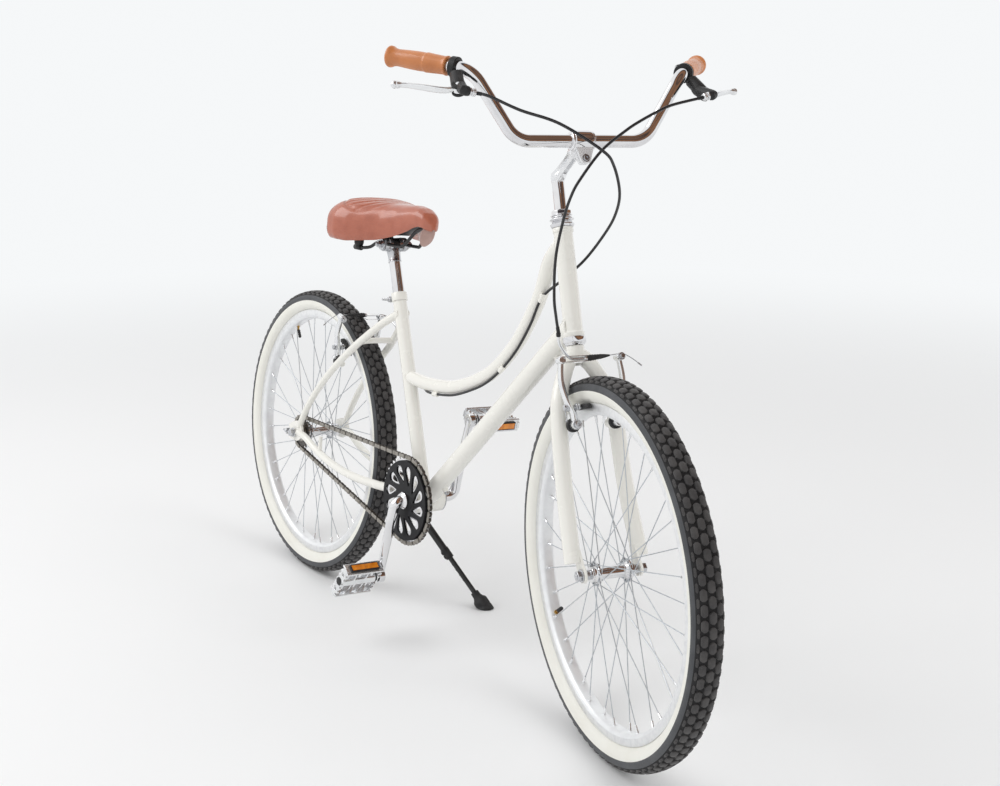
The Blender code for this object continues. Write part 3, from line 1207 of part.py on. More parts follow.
def build_pedal(crank, side, name, tilt):
    """Pedal body turning on its spindle."""
    end = Vector((0, side * CRANK_OUT, side * CRANK_LENGTH))
    inner = PEDAL_IN - CRANK_OUT
    outer = inner + PEDAL_LENGTH
    tip = side * (outer - PEDAL_CAP_DEPTH)
    shaft = cylinder((0, side * -0.0068, 0), (0, tip, 0), PEDAL_SPINDLE_RADIUS, 10)
    nut = cylinder((0, tip - side * 0.0040, 0), (0, tip, 0), PEDAL_NUT_RADIUS, 6)
    piece(f"pedal_spindle_{name}", united(shaft, nut), STEEL, crank, Matrix.Translation(end))
    hinge = pivot(f"pedal_hinge_{name}", crank, Matrix.Translation(end) @ Matrix.Rotation(tilt, 4, "Y"))
    half, high = PEDAL_WIDTH / 2, PEDAL_HEIGHT / 2
    shapes = [cylinder((0, side * inner, 0), (0, side * (outer - 0.004), 0), 0.0120, 10)]
    for near, far in ((inner, inner + 0.006), (outer - 0.008, outer)):
        low, top = sorted((side * near, side * far))
        plate = [(-half, -high * 0.55), (-half * 0.45, -high * 0.9), (half * 0.45, -high * 0.9),
                 (half, -high * 0.55), (half, high * 0.55), (half * 0.45, high * 0.9),
                 (-half * 0.45, high * 0.9), (-half, high * 0.55)]
        shapes.append(slab(plate, low, top))
    for front in (-1, 1):
        low, top = sorted((side * (inner + 0.001), side * (outer - 0.001)))
        x0, x1 = sorted((front * (half - 0.007), front * (half + 0.001)))
        shapes.append(box((x0, low, -high), (x1, top, high)))
    well_floor = tip - side * 0.0055
    bore = cylinder((0, side * (inner - 0.01), 0), (0, well_floor + side * 0.0005, 0),
                    PEDAL_SPINDLE_RADIUS + 2 * RUNNING_GAP, 10)
    well = cylinder((0, well_floor, 0), (0, tip + side * 0.0005, 0), PEDAL_NUT_RADIUS + 2 * RUNNING_GAP, 10)
    piece(f"pedal_{name}", cut(united(*shapes), bore, well), ALLOY, hinge)


# Saddle, in the bike frame

def between(table, x):
    """Value at x of a line through (x, value) pairs."""
    for (x0, v0), (x1, v1) in zip(table, table[1:]):
        if x <= x1:
            return v0 + (v1 - v0) * max(0.0, x - x0) / (x1 - x0)
    return table[-1][1]


SADDLE_WIDTHS = [(0.166, 0.020), (0.169, 0.058), (0.176, 0.088), (0.188, 0.107), (0.205, 0.1150),
                 (0.228, 0.113), (0.255, 0.1005), (0.285, 0.0785), (0.315, 0.0570), (0.350, 0.0405),
                 (0.385, 0.0305), (0.412, 0.0245), (0.430, 0.0195), (0.438, 0.0130), (0.4425, 0.0045)]
SADDLE_TOPS = [(0.166, 0.862), (0.172, 0.876), (0.190, 0.891), (0.215, 0.8975), (0.245, 0.8965),
               (0.285, 0.8915), (0.320, 0.8875), (0.350, 0.8870), (0.385, 0.8880), (0.408, 0.8850),
               (0.427, 0.8765), (0.437, 0.8680), (0.4425, 0.8580)]
SADDLE_SKIRTS = [(0.166, 0.838), (0.176, 0.819), (0.200, 0.8045), (0.250, 0.805), (0.310, 0.813),
                 (0.350, 0.825), (0.385, 0.838), (0.415, 0.847), (0.4425, 0.851)]


def stitched(x, y):
    """Depth of the sewn channels at a point of the saddle's top."""
    depth = 0.0
    oval = math.hypot((x - 0.243) / 0.064, y / 0.088)
    depth += 0.0022 * math.exp(-((oval - 1.0) / 0.10) ** 2)
    if oval < 1.0:
        for line in (0.210, 0.240, 0.270):
            bend = line - 3.2 * y * y
            depth += 0.0024 * math.exp(-((x - bend) / 0.0055) ** 2)
    side_seam = abs(abs(y) - 0.55 * between(SADDLE_WIDTHS, x))
    if x > 0.310:
        depth += 0.0014 * math.exp(-(side_seam / 0.0040) ** 2)
    return depth


def saddle_section(x):
    """Outline of the cushion at one station: crown, drawn-in side, skirt and flat under side."""
    width, top, skirt = (between(table, x) for table in (SADDLE_WIDTHS, SADDLE_TOPS, SADDLE_SKIRTS))
    rise = top - skirt
    half = []
    for step in range(CROWN_STEPS + 1):
        angle = math.pi / 2 * step / CROWN_STEPS
        y = width * math.sin(angle) ** 0.94
        z = skirt + rise * (0.29 + 0.71 * math.cos(angle) ** 0.78)
        half.append((y, z - stitched(x, y) * math.cos(angle)))
    half.append((width * 0.985, skirt + rise * 0.16))
    half.append((width * 0.93, skirt))
    half.append((max(width * 0.80 - 0.004, width * 0.4), skirt + rise * SADDLE_RECESS))
    left = [(x, y, z) for y, z in half]
    right = [(x, -y, z) for y, z in reversed(half[1:])]
    return left + [(x, 0.0, half[-1][1])] + right


def loft(sections):
    """Closed body through rings of points, ends closed flat."""
    vertices, faces = [], []
    count = len(sections[0])
    for row, section in enumerate(sections):
        vertices.extend(Vector(point) for point in section)
        if row:
            low, high = (row - 1) * count, row * count
            for side in range(count):
                after = (side + 1) % count
                faces.append((low + side, low + after, high + after, high + side))
    faces.append(tuple(range(count)))
    faces.append(tuple(range(len(vertices) - count, len(vertices))))
    return vertices, faces


def build_saddle(seat, place):
    """Cushion, base shell, rails, bumpers, clamp and post."""
    stations = [0.166, 0.170, 0.178] + [0.189 + 0.0075 * step for step in range(14)]
    stations += [0.301 + 0.019 * step for step in range(7)] + [0.427, 0.437, 0.4425]
    piece("saddle_cover", loft([saddle_section(x) for x in stations]), TAN_LEATHERETTE, seat, place)
    rings = []
    for x in [station for station in stations if 0.180 < station < 0.430]:
        width, top, skirt = (between(table, x) for table in (SADDLE_WIDTHS, SADDLE_TOPS, SADDLE_SKIRTS))
        roof = skirt + (top - skirt) * SADDLE_RECESS - 2 * GAP
        half = max(width * 0.80 - 0.004, width * 0.4) - 0.0035
        floor = roof - SADDLE_SHELL
        rings.append([(x, half, floor), (x, half, roof), (x, -half, roof), (x, -half, floor)])
    piece("saddle_base", loft(rings), BLACK_PLASTIC, seat, place)
    build_rails(seat, place)
    for side, name in SIDES.items():
        low = mirrored((0.2050, 0.0360, base_floor(0.2050) - 2 * GAP), side)
        drop = low.z - RAIL_REAR_HEIGHT - RAIL_RADIUS - GAP
        bumper = turned_about(low, Vector((0, 0, -1)), [(0, 0), (0, 0.0100), (drop * 0.4, 0.0110),
                                                        (drop, 0.0085), (drop, 0)], 10)
        piece(f"saddle_bumper_{name}", bumper, RUBBER, seat, place)
    top = SEAT_TUBE_TOP + SEAT_AXIS * SEAT_POST_OUT
    post = cylinder(SEAT_TUBE_TOP - SEAT_AXIS * SEAT_POST_IN, top, SEAT_POST_RADIUS, 12)
    piece("seat_post", post, CHROME, seat, place)
    sleeve = cylinder(top - SEAT_AXIS * 0.024, top + SEAT_AXIS * 0.006, SEAT_POST_RADIUS + 0.0022, 12)
    centre = Vector((top.x - 0.001, 0, RAIL_HEIGHT - 0.001))
    block = cylinder(centre - Vector((0, 0.033, 0)), centre + Vector((0, 0.033, 0)), 0.0150, 10)
    bolt = cylinder(centre - Vector((0, 0.043, 0)), centre + Vector((0, 0.043, 0)), 0.0042, 8)
    nuts = []
    for side in (RIGHT, LEFT):
        near, far = (centre + Vector((0, side * out, 0)) for out in (0.0325, 0.0395))
        nuts.append(cylinder(near, far, 0.0078, 6))
    body = united(sleeve, block, bolt, *nuts)
    well = cylinder(top - SEAT_AXIS * 0.06, top + SEAT_AXIS * GAP, SEAT_POST_RADIUS + GAP, 12)
    grooves = []
    for side in (RIGHT, LEFT):
        start, end = ((x, side * RAIL_OUT, RAIL_HEIGHT) for x in (0.25, 0.36))
        grooves.append(cylinder(start, end, RAIL_RADIUS + FACET_GAP, 8))
    piece("seat_clamp", cut(body, well, *grooves), STEEL, seat, place)


def base_floor(x):
    """Height of the base shell's under side at a station."""
    top, skirt = between(SADDLE_TOPS, x), between(SADDLE_SKIRTS, x)
    return skirt + (top - skirt) * SADDLE_RECESS - 2 * GAP - SADDLE_SHELL


def build_rails(seat, place):
    """Pair of steel rails joined at the nose."""
    shapes = []
    nose = base_floor(0.425) - RAIL_RADIUS - GAP
    for side in (RIGHT, LEFT):
        knots = [(0.196, 0.036, RAIL_REAR_HEIGHT), (0.214, 0.0355, RAIL_REAR_HEIGHT),
                 (0.240, 0.0280, RAIL_REAR_HEIGHT + 0.0045), (0.262, RAIL_OUT, RAIL_HEIGHT),
                 (0.345, RAIL_OUT, RAIL_HEIGHT), (0.362, 0.0205, RAIL_HEIGHT + 0.0025),
                 (0.400, 0.0130, nose - 0.008), (0.425, 0.0085, nose)]
        shapes.append(pipe([mirrored(knot, side) for knot in knots], RAIL_RADIUS, 6))
    shapes.append(cylinder((0.4235, -0.0095, nose), (0.4235, 0.0095, nose), RAIL_RADIUS * 0.95, 6))
    piece("saddle_rails", united(*shapes), BLACK_PAINT, seat, place)


# Stand

def leg_frame():
    """Frame along the lowered leg: Z down the leg, Y along the hinge."""
    down, axis = stand_direction(), stand_axis()
    return axes_matrix(axis.cross(down), axis, down, STAND_HINGE)


def build_stand(bike):
    """Upper leg on its hinge, and the sliding lower leg with its rubber foot."""
    frame = leg_frame()
    hinge = pivot("stand_hinge", bike, frame)
    head = cylinder((0, -0.0041, 0), (0, 0.0075, 0), 0.0118, 12)
    shank = box((-0.0080, -0.0036, 0.0020), (0.0080, 0.0070, 0.020))
    neck = cylinder((0, 0.0017, 0.0148), (0, 0, 0.036), 0.0088, 12, 0.0086)
    tube = cylinder((0, 0, 0.028), (0, 0, STAND_TUBE_LENGTH), STAND_TUBE_RADIUS, 12)
    button_height = STAND_TUBE_LENGTH - 0.010
    button = cylinder((0, -0.004, button_height), (0, -0.0105, button_height), 0.0048, 10)
    pin_hole = cylinder((0, -0.03, 0), (0, 0.03, 0), STAND_PIN_RADIUS + 2 * RUNNING_GAP, 8)
    rod_hole = cylinder((0, 0, 0.045), (0, 0, 0.40), STAND_ROD_RADIUS + GAP, 12)
    piece("stand_leg", cut(united(head, shank, neck, tube, button), pin_hole, rod_hole), BLACK_PAINT, hinge)
    length = (STAND_FOOT - STAND_HINGE).length
    slide = pivot("stand_slide", hinge, Matrix.Identity(4))
    rod = cylinder((0, 0, 0.070), (0, 0, length - 0.006), STAND_ROD_RADIUS, 12)
    piece("stand_lower_leg", rod, BLACK_PAINT, slide)
    return hinge, slide, length


def build_stand_foot(slide, length, bike_matrix):
    """Rubber foot with a sole that lies flat on the floor."""
    to_world = bike_matrix.to_3x3() @ leg_frame().to_3x3()
    floor_up = (to_world.inverted() @ Vector((0, 0, 1))).normalized()
    down = Vector((0, 0, 1))
    end = down * (length + 0.004)
    rings = []
    for back, radius in ((0.040, 0.0090), (0.028, 0.0105), (0.0185, 0.0165)):
        centre = end - down * back
        rings.append([centre + Vector((radius * c, radius * s, 0)) for c, s in circle(1.0, 12)])
    sole = []
    for point in rings[-1]:
        reach = (end - point).dot(floor_up) / down.dot(floor_up)
        sole.append(point + down * reach)
    rings.append(sole)
    foot = mesh_from(loft(rings))
    hole = cylinder((0, 0, 0), (0, 0, length - 0.006 + GAP), STAND_ROD_RADIUS + GAP, 12)
    return piece("stand_foot", cut(foot, hole), RUBBER, slide)


# Assembly

def world_points(things):
    """Vertices of the given objects in the world."""
    depsgraph = bpy.context.evaluated_depsgraph_get()
    points = []
    for thing in things:
        evaluated = thing.evaluated_get(depsgraph)
        mesh = evaluated.to_mesh()
        points.extend(evaluated.matrix_world @ vertex.co for vertex in mesh.vertices)
        evaluated.to_mesh_clear()
    return points


def facet_down(wheel_matrix):
    """Turn about the axle that puts the middle of a tyre facet at the bottom."""
    down = wheel_matrix.to_3x3().inverted() @ Vector((0, 0, -1))
    angle = math.atan2(down.z, down.x)
    facet = math.tau / WHEEL_FACETS
    return -(angle - facet * round(angle / facet))


def clear_scene():
    """Empty the scene before building."""
    for thing in list(bpy.data.objects):
        bpy.data.objects.remove(thing, do_unlink=True)


def build_bicycle():
    """Whole bicycle, upright first, then leaned until both tyres and the stand touch the floor."""
    bike = pivot("bike", None, Matrix.Identity(4))
    steering = pivot("steering", bike, steering_matrix())
    front = pivot("front_wheel", steering, Matrix.Translation((FORK_OFFSET, 0, 0)))
    rear = pivot("rear_wheel", bike, Matrix.Translation(REAR_AXLE_POINT))
    crank_turn = Matrix.Rotation(CRANK_TURNED, 4, "Y")
    crank = pivot("crank_axis", bike, Matrix.Translation(BOTTOM_BRACKET) @ crank_turn)
    freewheel = pivot("freewheel_axis", bike, Matrix.Translation(REAR_AXLE_POINT))
    seat_frame = axes_matrix(Vector((0, 1, 0)).cross(SEAT_AXIS), Vector((0, 1, 0)), SEAT_AXIS, SEAT_TUBE_TOP)
    seat = pivot("seat", bike, seat_frame)

    piece("frame", frame_mesh(), WHITE_PAINT, bike)
    build_headset(bike)
    build_bottom_bracket(bike)
    build_seat_collar(bike)
    build_rear_axle(bike, REAR_SHELL_HALF)
    build_chain(bike)
    build_stand_bracket(bike)
    front_tyre = build_wheel("front", front, (-0.029, 0.029), FRONT_SHELL_HALF, 0.0135, FRONT_VALVE_ANGLE)
    rear_tyre = build_wheel("rear", rear, (-0.0265, 0.030), REAR_SHELL_HALF, 0.0150, REAR_VALVE_ANGLE)
    build_freewheel(freewheel, 0.0150)
    build_fork(steering)
    build_stem(steering)
    build_handlebar(steering)
    axle = united(*axle_with_nuts(FRONT_HUB_WIDTH, FORK_TIP_PLATE, 0.0665, FRONT_SHELL_HALF))
    piece("front_axle", axle, STEEL, steering, Matrix.Translation((FORK_OFFSET, 0, 0)))
    build_levers(steering)
    wheel_centre = Vector((FORK_OFFSET, 0, 0))
    front_arms = build_brakes("front", steering, front_arm_frame, FRONT_ARM_BOW, FRONT_ARM_HEIGHT,
                              wheel_centre)
    rear_arms = build_brakes("rear", bike, rear_arm_frame, REAR_ARM_BOW, REAR_ARM_HEIGHT,
                             REAR_AXLE_POINT)
    build_noodle("front_noodle", *front_arms[RIGHT], FRONT_NOODLE, FRONT_ARM_BOW)
    build_noodle("rear_noodle", *rear_arms[LEFT], REAR_NOODLE, REAR_ARM_BOW)
    build_cables(bike, steering)
    build_crank(crank)
    build_chainring(crank)
    build_pedal(crank, RIGHT, "right", PEDAL_TILT_RIGHT)
    build_pedal(crank, LEFT, "left", PEDAL_TILT_LEFT)
    build_saddle(seat, seat_frame.inverted())
    hinge, slide, length = build_stand(bike)
    settle(bike, steering, front, front_tyre, rear_tyre)
    foot = build_stand_foot(slide, length, bike.matrix_world)
    put_foot_down(bike, slide, foot)
    centre_on_origin(bike)


def settle(bike, steering, front, front_tyre, rear_tyre):
    """Lean the bike, level its two tyres and raise it onto z = 0."""
    lean = Matrix.Rotation(-LEAN, 4, "X")
    pitch, rise = 0.0, 0.0
    for _ in range(4):
        bike.matrix_basis = Matrix.Translation((0, 0, rise)) @ Matrix.Rotation(pitch, 4, "Y") @ lean
        bpy.context.view_layer.update()
        turn = facet_down(bike.matrix_world @ steering.matrix_basis)
        front.matrix_basis = Matrix.Translation((FORK_OFFSET, 0, 0)) @ Matrix.Rotation(-turn, 4, "Y")
        bpy.context.view_layer.update()
        low_front = min(point.z for point in world_points([front_tyre]))
        low_rear = min(point.z for point in world_points([rear_tyre]))
        pitch += math.atan2(low_front - low_rear, WHEELBASE)
        rise -= low_rear
    bike.matrix_basis = Matrix.Translation((0, 0, rise)) @ Matrix.Rotation(pitch, 4, "Y") @ lean
    bpy.context.view_layer.update()


def put_foot_down(bike, slide, foot):
    """Slide the lower leg until the foot's sole is on z = 0."""
    along = (bike.matrix_world @ leg_frame()).to_3x3() @ Vector((0, 0, 1))
    low = min(point.z for point in world_points([foot]))
    slide.matrix_basis = Matrix.Translation((0, 0, -low / along.z))
    bpy.context.view_layer.update()


def centre_on_origin(bike):
    """Move the bike so the middle of its floor area is the origin."""
    things = [thing for thing in bpy.data.objects if thing.type in ("MESH", "CURVE")]
    points = world_points(things)
    middle_x = (min(p.x for p in points) + max(p.x for p in points)) / 2
    middle_y = (min(p.y for p in points) + max(p.y for p in points)) / 2
    bike.matrix_basis = Matrix.Translation((-middle_x, -middle_y, 0.0)) @ bike.matrix_basis
    bpy.context.view_layer.update()


clear_scene()
build_bicycle()
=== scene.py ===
"""Looks of a step-through bicycle parked on its side stand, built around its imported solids.

Lengths are metres. Bike frame: X forward, Y to the rider's left, Z up, origin under the rear axle.
Steering frame: Z up the head tube's axis, X forward, origin level with the front axle. Both are found
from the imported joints, so every piece lies where its solid lies.
"""

import json
import logging
import math
from dataclasses import dataclass, field
from enum import Enum

import bmesh
import bpy
from mathutils import Matrix, Vector


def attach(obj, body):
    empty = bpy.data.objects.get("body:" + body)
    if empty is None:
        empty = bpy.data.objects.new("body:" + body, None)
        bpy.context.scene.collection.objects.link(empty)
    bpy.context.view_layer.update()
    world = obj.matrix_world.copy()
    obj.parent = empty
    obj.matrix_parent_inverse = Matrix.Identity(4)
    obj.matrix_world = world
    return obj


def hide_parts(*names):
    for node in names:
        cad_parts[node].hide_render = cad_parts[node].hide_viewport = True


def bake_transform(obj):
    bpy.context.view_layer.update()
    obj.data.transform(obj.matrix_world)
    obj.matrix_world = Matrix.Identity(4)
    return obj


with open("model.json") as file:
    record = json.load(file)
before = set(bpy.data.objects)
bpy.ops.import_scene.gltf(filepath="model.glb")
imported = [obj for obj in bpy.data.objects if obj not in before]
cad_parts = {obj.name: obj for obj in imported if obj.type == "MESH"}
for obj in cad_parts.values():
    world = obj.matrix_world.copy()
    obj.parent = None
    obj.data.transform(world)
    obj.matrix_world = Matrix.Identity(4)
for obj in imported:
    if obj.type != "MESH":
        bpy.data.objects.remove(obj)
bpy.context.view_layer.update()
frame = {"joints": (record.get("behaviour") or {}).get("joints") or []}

log = logging.getLogger("bicycle")

Points = list[Vector]
Shape = tuple[list[Vector], list[tuple[int, ...]]]
Pair = tuple[float, float]

ORIGIN = Vector((0.0, 0.0, 0.0))
SIDE_VECTOR = Vector((0.0, 1.0, 0.0))

BUMP_DEPTH = 0.0004
COAT_ROUGHNESS = 0.06
CURVE_STEPS = 24


class Side(Enum):
    """The rider's right or left, with its sign along Y."""

    RIGHT = -1
    LEFT = 1

    @property
    def word(self) -> str:
        """Lower-case name used in piece names."""
        return self.name.lower()

    @property
    def other(self) -> "Side":
        """The opposite side."""
        return Side.LEFT if self is Side.RIGHT else Side.RIGHT


class Surface(Enum):
    """How a finish varies over a surface."""

    CLOUD = "soft clouds"
    BRUSHED = "fine lines"
    GRAIN = "pebbled grain"
    CAST = "fine cast skin"
    PRISM = "reflector prisms"


# Shapes


def axes(x_axis: Vector, y_axis: Vector, z_axis: Vector, origin: Vector) -> Matrix:
    """Matrix from three unit axes and an origin.

    Args:
        x_axis: image of X.
        y_axis: image of Y.
        z_axis: image of Z.
        origin: image of the origin.

    Returns:
        The 4 x 4 matrix.
    """
    matrix = Matrix((x_axis, y_axis, z_axis)).transposed().to_4x4()
    matrix.translation = origin
    return matrix


Y_TO_X = axes(Vector((0, 0, 1)), Vector((1, 0, 0)), Vector((0, 1, 0)), ORIGIN)
Y_TO_Z = axes(Vector((1, 0, 0)), Vector((0, 0, 1)), Vector((0, -1, 0)), ORIGIN)


def aim(origin: Vector, axis: Vector) -> Matrix:
    """Frame at a point with Y along an axis.

    Args:
        origin: where the frame stands.
        axis: direction of its Y.

    Returns:
        The frame's matrix.
    """
    along = Vector(axis).normalized()
    helper = Vector((0.0, 0.0, 1.0)) if abs(along.z) < 0.9 else Vector((1.0, 0.0, 0.0))
    across = along.cross(helper).normalized()
    return axes(across, along, across.cross(along), Vector(origin))


def flip(point: Vector, side: Side) -> Vector:
    """The point with its Y turned to the given side."""
    return Vector((point[0], side.value * point[1], point[2]))


def span(side: Side, near: float, far: float) -> Pair:
    """Two distances out on a side as a low and a high Y."""
    low, high = sorted((side.value * near, side.value * far))
    return low, high


def circle(radius: float, sides: int, phase: float = 0.0) -> list[Pair]:
    """Points round a circle, as pairs.

    Args:
        radius: its radius.
        sides: how many points.
        phase: angle of the first one.

    Returns:
        The pairs.
    """
    angles = [phase + math.tau * index / sides for index in range(sides)]
    return [(radius * math.cos(angle), radius * math.sin(angle)) for angle in angles]


def turned(profile: list[Pair], segments: int = 40, closed: bool = False, phase: float = 0.0) -> Shape:
    """Profile turned round Y.

    Args:
        profile: pairs of distance along Y and radius.
        segments: faces round the axis.
        closed: whether the profile is a loop rather than a chain that ends on the axis.
        phase: angle of the first corner.

    Returns:
        The shape.
    """
    points: Points = []
    rings = []
    for along, radius in profile:
        if radius == 0.0:
            rings.append([len(points)] * segments)
            points.append(Vector((0.0, along, 0.0)))
            continue
        rings.append(list(range(len(points), len(points) + segments)))
        points.extend(Vector((x, along, z)) for x, z in circle(radius, segments, phase))
    faces = []
    last = len(rings) if closed else len(rings) - 1
    for row in range(last):
        near, far = rings[row], rings[(row + 1) % len(rings)]
        for column in range(segments):
            after = (column + 1) % segments
            corners = tuple(dict.fromkeys((near[column], near[after], far[after], far[column])))
            if len(corners) > 2:
                faces.append(corners)
    return points, faces


def signed(profile: list[Pair], sign: int) -> list[Pair]:
    """Profile with its distances along Y turned to a side."""
    return [(sign * along, radius) for along, radius in profile]


def both_ways(half: list[Pair]) -> list[Pair]:
    """Profile that is its own mirror image, from its positive half, outermost pair first."""
    return [(-along, radius) for along, radius in half] + half[::-1]


def disc(near: float, far: float, radius: float, sides: int = 24, sign: int = 1) -> Shape:
    """Plain disc on Y between two distances."""
    return turned(signed([(near, 0.0), (near, radius), (far, radius), (far, 0.0)], sign), sides)


def squircle(power: float, steps: int = 20) -> list[Pair]:
    """Unit outline between a circle and a square."""
    outline = []
    for u, v in circle(1.0, steps):
        shape = (abs(u) ** power + abs(v) ** power) ** (-1 / power)
        outline.append((u * shape, v * shape))
    return outline


def swept(path: Points, sections: list[list[Pair]], loop: bool = False) -> Shape:
    """Body through one outline per point, carried along a path without twist.

    Args:
        path: points of the centre line.
        sections: outline at each point, in the plane across the path.
        loop: whether the path's end joins its start.

    Returns:
        The shape, with flat ends unless it is a loop.
    """
    count, last = len(sections[0]), len(path) - 1
    tangents = []
    for index in range(len(path)):
        if loop:
            tangents.append((path[(index + 1) % len(path)] - path[index - 1]).normalized())
        else:
            tangents.append((path[min(index + 1, last)] - path[max(index - 1, 0)]).normalized())
    helper = Vector((0.0, 0.0, 1.0)) if abs(tangents[0].z) < 0.9 else Vector((1.0, 0.0, 0.0))
    across = tangents[0].cross(helper).normalized()
    points: Points = []
    faces = []
    for point, tangent, section in zip(path, tangents, sections):
        across = (across - tangent * across.dot(tangent)).normalized()
        upward = across.cross(tangent)
        points.extend(point + across * u + upward * v for u, v in section)
    rows = len(path) if loop else last
    for row in range(rows):
        low, high = row * count, (row + 1) % len(path) * count
        for side in range(count):
            after = (side + 1) % count
            faces.append((low + side, low + after, high + after, high + side))
    if not loop:
        faces.append(tuple(range(count)))
        faces.append(tuple(range(len(points) - count, len(points))))
    return points, faces


def tube(path: list, radius: float | list[float], sides: int = 20) -> Shape:
    """Round bar along a path.

    Args:
        path: points of the centre line.
        radius: one radius, or one per point.
        sides: faces round it.

    Returns:
        The shape.
    """
    path = [Vector(point) for point in path]
    radii = radius if isinstance(radius, list) else [radius] * len(path)
    return swept(path, [circle(each, sides) for each in radii])


def rod(start: Vector, end: Vector, radius: float, sides: int = 20, chamfer: float = 0.0) -> Shape:
    """Straight round bar, its ends chamfered.

    Args:
        start: middle of one end.
        end: middle of the other.
        radius: its radius.
        sides: faces round it.
        chamfer: size of the chamfer at both ends.

    Returns:
        The shape.
    """
    start, end = Vector(start), Vector(end)
    if chamfer == 0.0:
        return tube([start, end], radius, sides)
    step = (end - start).normalized() * chamfer
    small = radius - chamfer
    return tube([start, start + step, end - step, end], [small, radius, radius, small], sides)


def hoop(path: Points, radius: float, sides: int = 8) -> Shape:
    """Round bar along a closed path.

    Args:
        path: points of the closed centre line.
        radius: its radius.
        sides: faces round it.

    Returns:
        The shape.
    """
    return swept(path, [circle(radius, sides)] * len(path), loop=True)


def plate(outline: list[Pair], low: float, high: float, holes: list[list[Pair]] | None = None) -> Shape:
    """Flat plate in the XZ plane.

    Args:
        outline: its edge.
        low: Y of one face.
        high: Y of the other.
        holes: outlines of the holes through it.

    Returns:
        The shape.
    """
    work = bmesh.new()
    edges, loops = [], [outline, *(holes or [])]
    for loop in loops:
        ring = [work.verts.new((x, low, z)) for x, z in loop]
        edges.extend(work.edges.new((ring[index - 1], ring[index])) for index in range(len(ring)))
    work.verts.index_update()
    bmesh.ops.triangle_fill(work, use_beauty=True, use_dissolve=False, edges=edges)
    base = sorted(tuple(sorted(vertex.index for vertex in face.verts)) for face in work.faces)
    work.free()
    points = [Vector((x, y, z)) for y in (low, high) for loop in loops for x, z in loop]
    count, start = len(points) // 2, 0
    faces = base + [tuple(index + count for index in face) for face in base]
    for loop in loops:
        for index in range(len(loop)):
            near, far = start + index, start + (index + 1) % len(loop)
            faces.append((near, far, far + count, near + count))
        start += len(loop)
    return points, faces


def block(low: tuple, high: tuple) -> Shape:
    """Box between two corners."""
    (x0, y0, z0), (x1, y1, z1) = low, high
    points = [Vector((x, y, z)) for x in (x0, x1) for y in (y0, y1) for z in (z0, z1)]
    faces = [(0, 1, 3, 2), (4, 6, 7, 5), (0, 4, 5, 1), (2, 3, 7, 6), (0, 2, 6, 4), (1, 5, 7, 3)]
    return points, faces


def lofted(sections: list[list[tuple]]) -> Shape:
    """Closed body through rings of points, its ends closed flat.

    Args:
        sections: rings with the same number of points.

    Returns:
        The shape.
    """
    points = [Vector(point) for section in sections for point in section]
    count = len(sections[0])
    faces = []
    for row in range(len(sections) - 1):
        for side in range(count):
            after = (side + 1) % count
            low, high = row * count, (row + 1) * count
            faces.append((low + side, low + after, high + after, high + side))
    faces.append(tuple(range(count)))
    faces.append(tuple(range(len(points) - count, len(points))))
    return points, faces


def bent(corners: list, radius: float, steps: int = 10) -> Points:
    """Straight runs joined by arcs of one bend radius.

    Args:
        corners: where the straight runs would meet.
        radius: bend radius.
        steps: steps in each arc.

    Returns:
        The points of the path.
    """
    corners = [Vector(corner) for corner in corners]
    path = [corners[0]]
    for before, corner, after in zip(corners, corners[1:], corners[2:]):
        back, ahead = (before - corner).normalized(), (after - corner).normalized()
        half = back.angle(ahead) / 2.0
        reach = radius / math.tan(half)
        centre = corner + (back + ahead).normalized() * (radius / math.sin(half))
        start = corner + back * reach - centre
        axis = start.cross(corner + ahead * reach - centre).normalized()
        for step in range(steps + 1):
            turn = (math.pi - 2.0 * half) * step / steps
            path.append(centre + Matrix.Rotation(turn, 3, axis) @ start)
    path.append(corners[-1])
    return path


def curve_point(four: list, t: float) -> Vector:
    """Point of the smooth curve between the middle two of four points, at a share t."""
    p0, p1, p2, p3 = four
    return 0.5 * (2 * p1 + (p2 - p0) * t + (2 * p0 - 5 * p1 + 4 * p2 - p3) * t ** 2
                  + (3 * p1 - p0 - 3 * p2 + p3) * t ** 3)


def line_length(line: Points) -> float:
    """Length along a line of points."""
    return sum((after - before).length for before, after in zip(line, line[1:]))


def stepped(line: Points, count: int) -> Points:
    """Points that divide a line into equal lengths.

    Args:
        line: its points.
        count: how many lengths.

    Returns:
        The points, both ends with them.
    """
    lengths = [0.0]
    for before, after in zip(line, line[1:]):
        lengths.append(lengths[-1] + (after - before).length)
    route: Points = []
    row = 0
    for step in range(count + 1):
        wanted = lengths[-1] * step / count
        while row < len(line) - 2 and lengths[row + 1] < wanted:
            row += 1
        share = (wanted - lengths[row]) / (lengths[row + 1] - lengths[row])
        route.append(line[row].lerp(line[row + 1], share))
    return route


def flowing(knots: list, spacing: float) -> Points:
    """Evenly stepped points on the smooth curve through the knots.

    Args:
        knots: points that the curve goes through.
        spacing: distance between the points given back.

    Returns:
        The points.
    """
    knots = [Vector(knot) for knot in knots]
    ends = [2.0 * knots[0] - knots[1], *knots, 2.0 * knots[-1] - knots[-2]]
    fine = [curve_point(four, step / CURVE_STEPS) for four in zip(ends, ends[1:], ends[2:], ends[3:])
            for step in range(CURVE_STEPS)]
    fine.append(knots[-1])
    return stepped(fine, max(2, round(line_length(fine) / spacing)))


def between(table: list[Pair], x: float) -> float:
    """Value at x of a line through (x, value) pairs."""
    for (x0, v0), (x1, v1) in zip(table, table[1:]):
        if x <= x1:
            return v0 + (v1 - v0) * max(0.0, x - x0) / (x1 - x0)
    return table[-1][1]


